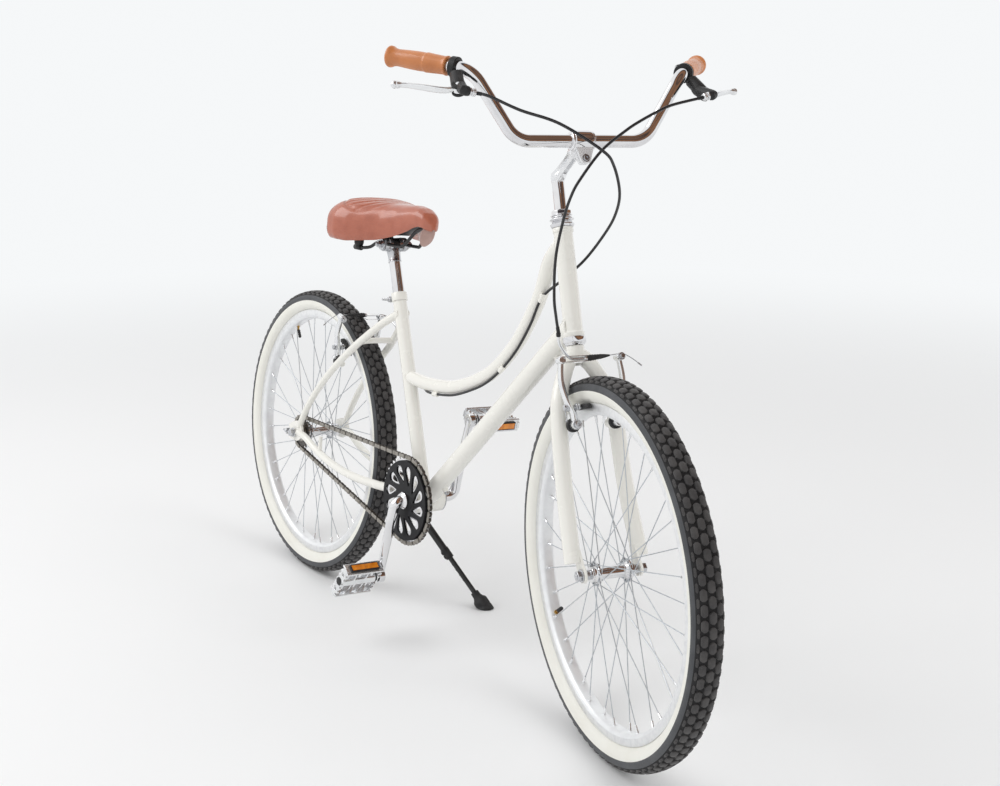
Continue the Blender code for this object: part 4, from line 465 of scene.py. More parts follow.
def eased(table: list[Pair], x: float, reach: float = 0.010) -> float:
    """Value at x of the line through the pairs, its corners rounded over a reach.

    Args:
        table: (x, value) pairs.
        x: where to read it.
        reach: how far the corners are rounded.

    Returns:
        The value.
    """
    shares = [index / 8.0 - 1.0 for index in range(17)]
    weights = [1.0 - abs(share) for share in shares]
    total = sum(w * between(table, min(max(x + s * reach, table[0][0]), table[-1][0]))
                for s, w in zip(shares, weights))
    return total / sum(weights)


def weld_bead(start: Vector, along: Vector, radius: float, main: tuple[Vector, Vector, float]) -> Shape:
    """Bead where a round tube meets another.

    Args:
        start: point of the branch's axis inside the main tube.
        along: direction in which the branch leaves.
        radius: the branch's radius.
        main: a point of the main tube's axis, its direction and its radius.

    Returns:
        A thin ring round the joint.
    """
    point, axis, reach = main
    axis = axis.normalized()
    along = along.normalized()
    branch = aim(start, along).to_3x3()
    path: Points = []
    for u, v in circle(radius + 0.0003, 40):
        base = start + branch @ Vector((u, 0.0, v)) - point
        flat, run = base - axis * base.dot(axis), along - axis * along.dot(axis)
        a, b, c = run.dot(run), 2.0 * flat.dot(run), flat.dot(flat) - reach * reach
        root = max(b * b - 4.0 * a * c, 0.0)
        path.append(point + base + along * ((-b + math.sqrt(root)) / (2.0 * a)))
    return hoop(path, 0.0017)


# Finishes


class Nodes:
    """One node tree, with short ways to add nodes to it and to feed their inputs."""

    def __init__(self, tree: bpy.types.NodeTree) -> None:
        """Takes the tree to add to."""
        self.tree = tree

    def feed(self, node: bpy.types.Node, inputs: dict) -> None:
        """Links or sets inputs of a node.

        Args:
            node: the node.
            inputs: name or number of each input, with the socket it is linked to or the value it gets.
        """
        for key, value in inputs.items():
            if isinstance(value, bpy.types.NodeSocket):
                self.tree.links.new(value, node.inputs[key])
            else:
                node.inputs[key].default_value = value

    def add(self, kind: str, inputs: dict | None = None) -> bpy.types.Node:
        """New node of a kind, its inputs fed."""
        node = self.tree.nodes.new(kind)
        self.feed(node, inputs or {})
        return node

    def worked(self, kind: str, operation: str, inputs: dict) -> bpy.types.Node:
        """New math node of a kind that does one operation."""
        node = self.tree.nodes.new(kind)
        node.operation = operation
        self.feed(node, inputs)
        return node

    def mixed(self, factor: bpy.types.NodeSocket, first: object, second: object) -> bpy.types.NodeSocket:
        """Colour between two, by a factor.

        Args:
            factor: 0 for the first, 1 for the second.
            first: a colour or the socket that has it.
            second: a colour or the socket that has it.

        Returns:
            The colour's socket.
        """
        node = self.tree.nodes.new("ShaderNodeMix")
        node.data_type = "RGBA"
        self.feed(node, {"A": first, "B": second, "Factor": factor})
        return node.outputs["Result"]

    def ranged(self, value: bpy.types.NodeSocket, given: Pair, wanted: Pair) -> bpy.types.NodeSocket:
        """Value carried from one range to another.

        Args:
            value: socket to read.
            given: range that it has.
            wanted: range that it gets.

        Returns:
            The new socket.
        """
        return self.add("ShaderNodeMapRange", {"Value": value, "From Min": given[0], "From Max": given[1],
                                               "To Min": wanted[0], "To Max": wanted[1]}).outputs["Result"]


@dataclass(frozen=True)
class Finish:
    """One procedural material: tone, grain, gloss and relief."""

    name: str
    colour: tuple[float, float, float]
    second: tuple[float, float, float]
    gloss: Pair
    surface: Surface = Surface.CLOUD
    scale: float = 60.0
    relief: float = 0.05
    metallic: float = 0.0
    coat: float = 0.0
    sheen: float = 0.0
    edge: float = 0.0
    shine: float = 0.5

    def material(self) -> bpy.types.Material:
        """Material of this finish, made once."""
        known = bpy.data.materials.get(self.name)
        if known:
            return known
        made = bpy.data.materials.new(self.name)
        made.use_nodes = True
        self.dress(Nodes(made.node_tree))
        made.diffuse_color = (*self.colour, 1.0)
        return made

    def pattern(self, nodes: Nodes) -> tuple[bpy.types.NodeSocket, bpy.types.NodeSocket]:
        """Nodes that vary the surface.

        Args:
            nodes: the material's nodes.

        Returns:
            A broad variation, and the fine height used for relief.
        """
        place = nodes.add("ShaderNodeTexCoord").outputs["Object"]
        broad = nodes.add("ShaderNodeTexNoise", {"Scale": self.scale, "Detail": 4.0, "Vector": place}).outputs["Fac"]
        if self.surface in (Surface.GRAIN, Surface.PRISM):
            finer = 22.0 if self.surface is Surface.GRAIN else 6.0
            fine = nodes.add("ShaderNodeTexVoronoi", {"Scale": self.scale * finer, "Vector": place})
            return broad, fine.outputs["Distance"]
        if self.surface is Surface.BRUSHED:
            place = nodes.add("ShaderNodeMapping", {"Scale": (1.0, 9.0, 9.0), "Vector": place}).outputs["Vector"]
        finer = 12.0 if self.surface is Surface.CAST else 5.0
        fine = nodes.add("ShaderNodeTexNoise", {"Scale": self.scale * finer, "Detail": 5.0, "Vector": place})
        return broad, fine.outputs["Fac"]

    def dress(self, nodes: Nodes) -> None:
        """Links tone, worn edges, gloss and relief to the shader.

        Args:
            nodes: the material's nodes.
        """
        broad, fine = self.pattern(nodes)
        second = (*self.second, 1.0)
        tone = nodes.mixed(nodes.ranged(broad, (0.42, 0.72), (0.0, 1.0)), (*self.colour, 1.0), second)
        if self.edge:
            raised = nodes.add("ShaderNodeNewGeometry").outputs["Pointiness"]
            tone = nodes.mixed(nodes.ranged(raised, (0.52, 0.60), (0.0, self.edge)), tone, second)
        bump = nodes.add("ShaderNodeBump", {"Strength": self.relief, "Distance": BUMP_DEPTH, "Height": fine})
        nodes.feed(nodes.tree.nodes["Principled BSDF"],
                   {"Base Color": tone, "Roughness": nodes.ranged(fine, (0.3, 0.7), self.gloss),
                    "Normal": bump.outputs["Normal"], "Metallic": self.metallic, "Specular IOR Level": self.shine,
                    "Coat Weight": self.coat, "Coat Roughness": COAT_ROUGHNESS, "Sheen Weight": self.sheen})


CREAM_PAINT = Finish("cream_paint", (0.88, 0.870, 0.820), (0.868, 0.856, 0.803), (0.25, 0.28), scale=9.0,
                     relief=0.004, coat=0.50)
CHROME = Finish("bright_chrome", (0.80, 0.80, 0.81), (0.70, 0.70, 0.72), (0.04, 0.10), scale=30.0,
                relief=0.015, metallic=1.0)
ZINC = Finish("zinc_plated_steel", (0.62, 0.63, 0.65), (0.46, 0.47, 0.49), (0.20, 0.38), scale=90.0,
              relief=0.10, metallic=1.0, edge=0.3)
ZINC_DULL = Finish("dull_zinc", (0.40, 0.38, 0.35), (0.26, 0.24, 0.21), (0.28, 0.50), scale=140.0, relief=0.10,
                   metallic=1.0, edge=0.3)
POLISHED = Finish("polished_alloy", (0.84, 0.85, 0.86), (0.76, 0.77, 0.79), (0.11, 0.20), scale=40.0,
                  relief=0.012, metallic=0.88)
BRIGHT_ALLOY = Finish("bright_rim_alloy", (0.86, 0.875, 0.89), (0.79, 0.80, 0.82), (0.34, 0.46), Surface.BRUSHED,
                      scale=50.0, relief=0.03, metallic=0.42)
BRAKE_TRACK = Finish("machined_rim_side", (0.82, 0.83, 0.84), (0.73, 0.74, 0.76), (0.30, 0.44),
                     Surface.BRUSHED, scale=120.0, relief=0.06, metallic=0.60)
SPOKE_STEEL = Finish("spoke_steel", (0.56, 0.59, 0.62), (0.44, 0.47, 0.50), (0.34, 0.48), Surface.BRUSHED,
                     scale=80.0, relief=0.04, metallic=0.85)
CHAIN_STEEL = Finish("oiled_chain_steel", (0.085, 0.080, 0.076), (0.19, 0.175, 0.16), (0.26, 0.50), scale=150.0,
                     relief=0.12, metallic=1.0, edge=0.5)
BLACK_GLOSS = Finish("black_enamel", (0.012, 0.012, 0.013), (0.020, 0.020, 0.023), (0.30, 0.42), scale=30.0,
                     relief=0.02, shine=0.14)
BLACK_SATIN = Finish("satin_black_paint", (0.014, 0.014, 0.015), (0.030, 0.030, 0.032), (0.34, 0.48),
                     Surface.CAST, scale=60.0, relief=0.10, edge=0.15)
BLACK_PLASTIC = Finish("moulded_black_plastic", (0.016, 0.016, 0.017), (0.030, 0.030, 0.031), (0.38, 0.55),
                       Surface.CAST, scale=90.0, relief=0.18, shine=0.32)
CABLE_BLACK = Finish("cable_sheath", (0.013, 0.013, 0.015), (0.024, 0.024, 0.027), (0.26, 0.38), scale=120.0,
                     relief=0.06)
SOFT_RUBBER = Finish("soft_black_rubber", (0.020, 0.020, 0.021), (0.042, 0.042, 0.043), (0.62, 0.80),
                     Surface.CAST, scale=80.0, relief=0.22)
TREAD_RUBBER = Finish("tread_rubber", (0.044, 0.042, 0.043), (0.072, 0.068, 0.067), (0.58, 0.80), Surface.CAST,
                      scale=45.0, relief=0.25, sheen=0.10)
# Tread base between the blocks: same rubber as the blocks, painted much darker as shade in the recesses.
GROOVE_PAINTED_SHADE_RUBBER = Finish("groove_painted_shade_rubber", (0.010, 0.010, 0.011), (0.020, 0.020, 0.021), (0.70, 0.86), Surface.CAST,
                       scale=45.0, relief=0.25)
BRASS = Finish("valve_brass", (0.62, 0.40, 0.12), (0.50, 0.31, 0.09), (0.16, 0.30), scale=80.0, relief=0.05,
               metallic=1.0)
SIDE_RUBBER = Finish("black_side_rubber", (0.046, 0.049, 0.055), (0.070, 0.074, 0.082), (0.50, 0.66),
                     Surface.CAST, scale=25.0, relief=0.12, sheen=0.08)
CREAM_WALL = Finish("cream_wall_rubber", (0.86, 0.855, 0.80), (0.82, 0.81, 0.745), (0.42, 0.60), scale=14.0,
                    relief=0.08)
TAN_HIDE = Finish("tan_hide", (0.450, 0.135, 0.080), (0.390, 0.108, 0.062), (0.24, 0.36), Surface.GRAIN,
                  scale=45.0, relief=0.14, coat=0.45)
TAN_SEAM = Finish("tan_seam", (0.30, 0.085, 0.046), (0.24, 0.068, 0.036), (0.42, 0.58), Surface.GRAIN,
                  scale=60.0, relief=0.35)
TAN_UNDER = Finish("tan_underside", (0.50, 0.33, 0.29), (0.43, 0.28, 0.24), (0.50, 0.66), Surface.GRAIN,
                   scale=55.0, relief=0.22, sheen=0.2)
TAN_GRIP = Finish("tan_grip_rubber", (0.60, 0.215, 0.070), (0.50, 0.165, 0.050), (0.28, 0.42), Surface.CAST,
                  scale=35.0, relief=0.08, coat=0.22)
AMBER = Finish("amber_reflector", (0.80, 0.26, 0.012), (0.52, 0.13, 0.006), (0.12, 0.24), Surface.PRISM,
               scale=70.0, relief=0.9, coat=0.7)


# Pieces


class Form:
    """Shapes gathered into one piece, each face with the number of its finish."""

    def __init__(self) -> None:
        """Starts empty."""
        self.points: Points = []
        self.faces: list[tuple[int, ...]] = []
        self.numbers: list[int] = []

    def add(self, shape: Shape, number: int = 0, place: Matrix | None = None) -> "Form":
        """Adds a shape.

        Args:
            shape: its points and faces.
            number: which of the piece's finishes it has.
            place: matrix that carries it.

        Returns:
            The form itself.
        """
        start = len(self.points)
        self.points.extend(place @ point if place else point for point in shape[0])
        self.faces.extend(tuple(start + index for index in face) for face in shape[1])
        self.numbers.extend([number] * len(shape[1]))
        return self


@dataclass
class Piece:
    """A named object: its form, finishes, the body it rides on and the solids it stands for."""

    name: str
    form: Form
    finishes: list[Finish]
    body: str
    slot: str
    replaces: tuple[str, ...] = ()
    bevel: float = 0.0
    levels: int = 0
    sharp: float = 38.0
    place: Matrix | None = None

    def mesh(self) -> bpy.types.Mesh:
        """Mesh with its faces pointing out and its finishes set."""
        points = [self.place @ point for point in self.form.points] if self.place else self.form.points
        mesh = bpy.data.meshes.new(self.name)
        mesh.from_pydata([tuple(point) for point in points], [], self.form.faces)
        mesh.polygons.foreach_set("material_index", self.form.numbers)
        work = bmesh.new()
        work.from_mesh(mesh)
        bmesh.ops.recalc_face_normals(work, faces=work.faces[:])
        work.to_mesh(mesh)
        work.free()
        for finish in self.finishes:
            mesh.materials.append(finish.material())
        mesh.shade_smooth()
        mesh.set_sharp_from_angle(angle=math.radians(self.sharp))
        return mesh

    def build(self) -> bpy.types.Object:
        """Object of the piece, riding on its body."""
        thing = bpy.data.objects.new(self.name, self.mesh())
        bpy.context.scene.collection.objects.link(thing)
        if self.bevel:
            bevel = thing.modifiers.new("edges", "BEVEL")
            bevel.width = self.bevel
            bevel.segments = 2
            bevel.limit_method = "ANGLE"
            bevel.angle_limit = math.radians(self.sharp)
        if self.levels:
            smooth = thing.modifiers.new("smooth", "SUBSURF")
            smooth.levels = smooth.render_levels = self.levels
        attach(thing, self.body)
        if self.replaces:
            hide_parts(*self.replaces)
        log.info("%s: %d faces on %s", self.name, len(self.form.faces), self.body)
        return thing


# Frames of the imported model


@dataclass
class Frames:
    """Frames in which the pieces are drawn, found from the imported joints."""

    tyre_radius: float = 0.3335
    fork_offset: float = 0.0495
    reach: float = 0.480
    bottom_bracket_height: float = 0.297
    crank_out: float = 0.078
    joints: dict = field(default_factory=lambda: {joint["name"]: joint for joint in frame["joints"]})

    def point(self, joint: str) -> Vector:
        """Point on a joint's axis."""
        return Vector(self.joints[joint]["pos_m"])

    def axis(self, joint: str) -> Vector:
        """Direction of a joint's axis."""
        return Vector(self.joints[joint]["axis"]).normalized()

    @property
    def bike(self) -> Matrix:
        """The leaned bike frame."""
        rear, across = self.point("rear_wheel_spin"), self.axis("rear_wheel_spin")
        forward = self.point("crank_spin") - rear
        forward = (forward - across * forward.dot(across)).normalized()
        flat = Vector((self.reach, 0.0, self.bottom_bracket_height - self.tyre_radius)).normalized()
        held = axes(flat, SIDE_VECTOR, flat.cross(SIDE_VECTOR), ORIGIN)
        turned_frame = axes(forward, across, forward.cross(across), ORIGIN) @ held.inverted()
        origin = rear - turned_frame.to_3x3() @ Vector((0.0, 0.0, self.tyre_radius))
        return Matrix.Translation(origin) @ turned_frame

    @property
    def steering(self) -> Matrix:
        """The steering frame, turned as parked."""
        up, across = self.axis("steering"), self.axis("front_wheel_spin")
        forward = across.cross(up).normalized()
        origin = self.point("front_wheel_spin") - forward * self.fork_offset
        return axes(forward, up.cross(forward), up, origin)

    def wheel(self, joint: str, base: Matrix) -> Matrix:
        """Frame of a wheel on its axle, its axes those of the frame that carries it."""
        return Matrix.Translation(self.point(joint)) @ base.to_3x3().to_4x4()

    @property
    def crank(self) -> Matrix:
        """Frame of the crank: Z up the left arm."""
        across = self.axis("crank_spin")
        up = self.point("pedal_left_spin") - self.point("crank_spin")
        up = (up - across * up.dot(across)).normalized()
        return axes(across.cross(up), across, up, self.point("crank_spin"))

    @property
    def leg(self) -> Matrix:
        """Frame of the stand's leg: Z down the leg, Y along its hinge."""
        down, axis = self.axis("stand_length_slide"), self.axis("stand_fold")
        return axes(axis.cross(down), axis, down, self.point("stand_fold"))


FRAMES = Frames()
BIKE = FRAMES.bike
STEERING = FRAMES.steering
CRANK = FRAMES.crank


# Studio


@dataclass
class Studio:
    """Pale floor, soft light and the camera at the photograph's view."""

    lens: float = 46.161
    camera_rows: tuple = ((0.574912, -0.197504, 0.79402, 2.094511),
                          (0.818213, 0.136621, -0.558446, -1.385374),
                          (0.001816, 0.970735, 0.240145, 1.144422),
                          (0.0, 0.0, 0.0, 1.0))
    backdrop: tuple = (0.92, 0.935, 0.945, 1.0)
    floor_colour: tuple = (0.90, 0.905, 0.915, 1.0)
    floor_radius: float = 40.0
    floor_fade: Pair = (1.2, 5.5)
    room_light: float = 0.72
    dark_side: tuple = (0.608, 0.335, 0.720)
    room_tones: tuple = ((0.70, (1.0, 1.0, 1.0, 1.0)), (0.775, (0.90, 0.91, 0.93, 1.0)),
                         (0.788, (0.35, 0.32, 0.31, 1.0)), (0.80, (0.04, 0.035, 0.04, 1.0)),
                         (0.825, (0.05, 0.04, 0.04, 1.0)), (0.85, (0.26, 0.13, 0.07, 1.0)),
                         (0.93, (0.24, 0.125, 0.075, 1.0)), (0.96, (0.07, 0.05, 0.045, 1.0)),
                         (1.0, (0.20, 0.11, 0.07, 1.0)))
    lamps: tuple = (((-1.6, -2.6, 3.4), 2.6, 66.0, True), ((2.6, 1.8, 3.2), 2.4, 26.0, False))

    def camera(self) -> None:
        """Places the camera."""
        lens = bpy.data.cameras.new("camera")
        lens.lens = self.lens
        lens.sensor_width = 36.0
        lens.clip_start = 0.05
        lens.clip_end = 200.0
        thing = bpy.data.objects.new("camera", lens)
        thing.matrix_world = Matrix(self.camera_rows)
        bpy.context.scene.collection.objects.link(thing)
        bpy.context.scene.camera = thing

    @staticmethod
    def seen_directly(nodes: Nodes) -> bpy.types.NodeSocket:
        """1 for camera, glossy and transmission rays.

        Args:
            nodes: nodes to add to.

        Returns:
            The socket that says so.
        """
        path = nodes.add("ShaderNodeLightPath")
        total = path.outputs["Is Camera Ray"]
        for name in ("Is Glossy Ray", "Is Transmission Ray"):
            total = nodes.worked("ShaderNodeMath", "MAXIMUM", {0: total, 1: path.outputs[name]}).outputs[0]
        return total

    def world(self) -> None:
        """Soft light all round; metal sees a pale room whose ceiling is darker and warmer."""
        world = bpy.data.worlds.new("studio")
        bpy.context.scene.world = world
        world.use_nodes = True
        world.node_tree.nodes.clear()
        nodes = Nodes(world.node_tree)
        soft = nodes.add("ShaderNodeBackground", {"Color": (1.0, 0.995, 0.985, 1.0), "Strength": self.room_light})
        place = nodes.add("ShaderNodeTexCoord").outputs["Generated"]
        lean = nodes.worked("ShaderNodeVectorMath", "DOT_PRODUCT", {0: place, 1: self.dark_side}).outputs["Value"]
        ramp = nodes.add("ShaderNodeValToRGB", {"Fac": nodes.ranged(lean, (-1.0, 1.0), (0.0, 1.0))})
        first, last = ramp.color_ramp.elements
        first.position, first.color = self.room_tones[0]
        last.position, last.color = self.room_tones[-1]
        for position, colour in self.room_tones[1:-1]:
            ramp.color_ramp.elements.new(position).color = colour
        camera = nodes.add("ShaderNodeLightPath").outputs["Is Camera Ray"]
        room = nodes.mixed(camera, ramp.outputs["Color"], self.backdrop)
        shown = nodes.add("ShaderNodeBackground", {"Color": room, "Strength": 1.0})
        both = nodes.add("ShaderNodeMixShader", {"Fac": self.seen_directly(nodes), 1: soft.outputs[0],
                                                 2: shown.outputs[0]})
        nodes.add("ShaderNodeOutputWorld", {"Surface": both.outputs[0]})

    def floor(self) -> None:
        """Round floor that keeps the shadow near the bicycle and fades into the backdrop."""
        mesh = bpy.data.meshes.new("floor")
        mesh.from_pydata([(x, y, 0.0) for x, y in circle(self.floor_radius, 96)], [], [tuple(range(96))])
        thing = bpy.data.objects.new("floor", mesh)
        bpy.context.scene.collection.objects.link(thing)
        made = bpy.data.materials.new("pale_floor")
        made.use_nodes = True
        nodes = Nodes(made.node_tree)
        shader = nodes.tree.nodes["Principled BSDF"]
        place = nodes.add("ShaderNodeTexCoord").outputs["Object"]
        grain = nodes.add("ShaderNodeTexNoise", {"Scale": 1.3, "Vector": place}).outputs["Fac"]
        darker = (*(0.985 * part for part in self.floor_colour[:3]), 1.0)
        nodes.feed(shader, {"Roughness": 0.75, "Specular IOR Level": 0.2,
                            "Base Color": nodes.mixed(grain, self.floor_colour, darker)})
        glow = nodes.add("ShaderNodeEmission", {"Color": self.backdrop})
        away = nodes.worked("ShaderNodeVectorMath", "LENGTH", {0: place}).outputs["Value"]
        fade = nodes.add("ShaderNodeMapRange", {"Value": away, "From Min": self.floor_fade[0],
                                                "From Max": self.floor_fade[1]})
        fade.interpolation_type = "SMOOTHSTEP"
        seen = nodes.worked("ShaderNodeMath", "MULTIPLY", {0: fade.outputs["Result"], 1: self.seen_directly(nodes)})
        both = nodes.add("ShaderNodeMixShader", {"Fac": seen.outputs[0], 1: shader.outputs[0], 2: glow.outputs[0]})
        nodes.feed(nodes.tree.nodes["Material Output"], {"Surface": both.outputs[0]})
        mesh.materials.append(made)

    def light(self) -> None:
        """Two wide soft lamps above."""
        for number, (place, size, power, mirrored) in enumerate(self.lamps):
            lamp = bpy.data.lights.new(f"softbox_{number}", "AREA")
            lamp.size = size
            lamp.energy = power
            thing = bpy.data.objects.new(f"softbox_{number}", lamp)
            thing.location = place
            thing.visible_glossy = mirrored
            thing.rotation_mode = "QUATERNION"
            thing.rotation_quaternion = (Vector((0.0, 0.0, 0.5)) - Vector(place)).to_track_quat("-Z", "Y")
            bpy.context.scene.collection.objects.link(thing)

    def build(self) -> None:
        """Builds the whole studio."""
        self.camera()
        self.world()
        self.floor()
        self.light()
        bpy.context.scene.view_settings.view_transform = "Standard"
        log.info("studio ready")


# Frame of the bicycle


@dataclass
class Tubing:
    """The painted frame with its bosses, stops and rear ends."""

    wheelbase: float = 1.090
    head_angle: float = math.radians(72.3)
    seat_angle: float = math.radians(69.0)
    head_bottom: float = 0.407
    head_length: float = 0.193
    seat_length: float = 0.418
    head_radius: float = 0.0170
    down_radius: float = 0.0190
    top_radius: float = 0.0138
    seat_radius: float = 0.0147
    shell_radius: float = 0.0285
    shell_width: float = 0.068
    cable_radius: float = 0.0024
    dropout_in: float = 0.0575
    dropout_out: float = 0.0625
    axle_slot: float = 0.00525

    def __post_init__(self) -> None:
        """Works out the points shared by several pieces."""
        tyre, offset = FRAMES.tyre_radius, FRAMES.fork_offset
        self.head_axis = Vector((-math.cos(self.head_angle), 0.0, math.sin(self.head_angle)))
        self.head_forward = Vector((math.sin(self.head_angle), 0.0, math.cos(self.head_angle)))
        self.head_foot = Vector((self.wheelbase, 0.0, tyre)) - self.head_forward * offset
        self.seat_axis = Vector((-math.cos(self.seat_angle), 0.0, math.sin(self.seat_angle)))
        self.bottom_bracket = Vector((FRAMES.reach, 0.0, FRAMES.bottom_bracket_height))
        self.seat_top = self.bottom_bracket + self.seat_axis * self.seat_length
        self.head_top = self.head_bottom + self.head_length
        self.rear_axle = Vector((0.0, 0.0, tyre))
        self.down_start = self.bottom_bracket + Vector((0.0065, 0.0, 0.0))
        self.down_end = self.on_head(self.head_bottom + 0.0195)

    def on_head(self, along: float) -> Vector:
        """Point of the head tube's axis."""
        return self.head_foot + self.head_axis * along

    def top_tube(self, spacing: float = 0.008) -> Points:
        """Centre line of the curved tube, seat tube to head tube."""
        start = self.bottom_bracket + self.seat_axis * ((0.537 - self.bottom_bracket.z) / self.seat_axis.z)
        knots = [start, (0.452, 0, 0.5350), (0.5185, 0, 0.5400), (0.5664, 0, 0.5490), (0.6325, 0, 0.5735),
                 (0.6908, 0, 0.6060), (0.7503, 0, 0.6625), (0.7883, 0, 0.7180), (0.8145, 0, 0.7680),
                 (0.8340, 0, 0.8300), self.on_head(self.head_top - 0.022)]
        return flowing(knots, spacing)

    def chain_stay(self, side: Side) -> Points:
        """Drooping stay from the shell to the rear end."""
        knots = [(0.470, 0.020, 0.297), (0.405, 0.0265, 0.298), (0.345, 0.0365, 0.294),
                 (0.269, 0.0465, 0.292), (0.190, 0.0530, 0.297), (0.110, 0.0565, 0.312),
                 (0.045, 0.0600, 0.334), (0.014, 0.0600, 0.336)]
        return flowing([flip(knot, side) for knot in knots], 0.010)

    def seat_stay(self, side: Side) -> Points:
        """Stay from the seat tube round the wheel to the rear end."""
        knots = [(0.343, 0.006, 0.664), (0.300, 0.026, 0.632), (0.226, 0.0445, 0.573),
                 (0.150, 0.0510, 0.512), (0.090, 0.0560, 0.452), (0.048, 0.0590, 0.400),
                 (0.018, 0.0600, 0.352)]
        return flowing([flip(knot, side) for knot in knots], 0.010)

    def dropout(self, side: Side) -> Shape:
        """Rounded end plate, slotted for the axle and drilled above it."""
        z0, slot = self.rear_axle.z, self.axle_slot
        corners = [(0.012, -0.018), (0.030, -0.008), (0.036, 0.006), (0.030, 0.022), (0.014, 0.030),
                   (-0.008, 0.025), (-0.030, 0.014)]
        curve = [(point.x, point.z) for point in flowing([(x, 0.0, z0 + z) for x, z in corners], 0.004)]
        arc = [(slot * math.cos(math.radians(angle)), z0 + slot * math.sin(math.radians(angle)))
               for angle in range(90, -91, -15)]
        outline = curve + [(-0.030, z0 + slot)] + arc + [(-0.030, z0 - slot), (-0.030, z0 - 0.018)]
        hole = [(0.017 + x, z0 + 0.019 + z) for x, z in circle(0.0026, 16)]
        return plate(outline, *span(side, self.dropout_in, self.dropout_out), [hole])

    def rear_arm_frame(self, side: Side) -> Matrix:
        """Frame of a rear brake arm: Z up the arm, Y to the left."""
        tilt = math.radians(14.5)
        upward = Vector((math.sin(tilt), 0.0, math.cos(tilt)))
        forward = Vector((math.cos(tilt), 0.0, -math.sin(tilt)))
        origin = flip(Vector((0.170, 0.040, 0.5245)), side) - forward * 0.027
        return axes(forward, SIDE_VECTOR, upward, origin)

    def cable_line(self) -> Points:
        """Where the rear cable lies under the curved tube, a little to the drive side."""
        reach, lean = self.top_radius + self.cable_radius + 0.0016, math.radians(28.0)
        points = self.top_tube(0.058)
        line: Points = []
        for before, point, after in zip(points, points[1:], points[2:]):
            tangent = (after - before).normalized()
            below = Vector((tangent.z, 0.0, -tangent.x))
            line.append(point + below * reach * math.cos(lean) - SIDE_VECTOR * reach * math.sin(lean))
        return line

    def main_tubes(self, form: Form) -> None:
        """Head, seat, down and curved tubes with the bottom bracket shell."""
        low, high = self.on_head(self.head_bottom), self.on_head(self.head_top)
        length, wide = (high - low).length, self.head_radius
        sleeve = [(0.0, 0.0152), (0.0, wide + 0.0010), (0.0010, wide + 0.0016), (0.0075, wide + 0.0016),
                  (0.0095, wide), (length - 0.0095, wide), (length - 0.0075, wide + 0.0016),
                  (length - 0.0010, wide + 0.0016), (length, wide + 0.0010), (length, 0.0152)]
        form.add(turned(sleeve, 56, True), 0, aim(low, self.head_axis))
        form.add(tube([self.bottom_bracket, self.seat_top], self.seat_radius, 40))
        form.add(tube([self.down_start, self.down_end], self.down_radius, 44))
        form.add(tube(self.top_tube(), self.top_radius, 36))
        half, wide = self.shell_width / 2, self.shell_radius
        shell = both_ways([(half, 0.0252), (half, wide - 0.0008), (half - 0.0008, wide)])
        form.add(turned(shell, 56, True), 0, Matrix.Translation(self.bottom_bracket))

    def welds(self, form: Form) -> None:
        """Beads round the joints of the main tubes and the stays."""
        down = self.down_end - self.down_start
        top = self.top_tube()
        head = (self.on_head(0.0), self.head_axis, self.head_radius)
        seat = (self.bottom_bracket, self.seat_axis, self.seat_radius)
        shell = (self.bottom_bracket, SIDE_VECTOR, self.shell_radius)
        form.add(weld_bead(self.down_end, -down, self.down_radius, head))
        form.add(weld_bead(top[-1], top[-4] - top[-1], self.top_radius, head))
        form.add(weld_bead(top[0], top[3] - top[0], self.top_radius, seat))
        form.add(weld_bead(self.down_start, down, self.down_radius, shell))
        form.add(weld_bead(self.bottom_bracket, self.seat_axis, self.seat_radius, shell))
        for side in Side:
            stay, upper = self.chain_stay(side), self.seat_stay(side)
            form.add(weld_bead(stay[0], stay[3] - stay[0], 0.0100, shell))
            form.add(weld_bead(upper[0], upper[3] - upper[0], 0.0086, seat))

    def stays(self, form: Form) -> None:
        """Chain stays, seat stays, bridges and rear ends."""
        for side in Side:
            stay = self.chain_stay(side)
            last = len(stay) - 1
            radii = [0.0100 - 0.0022 * index / last for index in range(last + 1)]
            form.add(tube(stay, radii, 24))
            upper = self.seat_stay(side)
            last = len(upper) - 1
            form.add(tube(upper, [0.0086 - 0.0014 * index / last for index in range(last + 1)], 24))
            form.add(self.dropout(side))
            form.add(self.brake_boss(), 0, self.rear_arm_frame(side) @ Y_TO_X)
        bridge, low_bridge = Vector((0.247, 0.041, 0.588)), Vector((0.362, 0.034, 0.2945))
        arch = [flip(bridge, Side.RIGHT), Vector((0.249, -0.020, 0.590)), Vector((0.249, 0.020, 0.590)), bridge]
        form.add(tube(flowing(arch, 0.006), 0.0065, 20))
        form.add(rod(flip(low_bridge, Side.RIGHT), low_bridge, 0.0070, 20))

    @staticmethod
    def brake_boss() -> Shape:
        """Painted boss that a rear brake arm turns on, along Y."""
        return turned([(0.027, 0.0), (0.027, 0.0068), (0.0155, 0.0068), (0.0135, 0.0068), (0.0125, 0.0064),
                       (0.0125, 0.0)], 28)

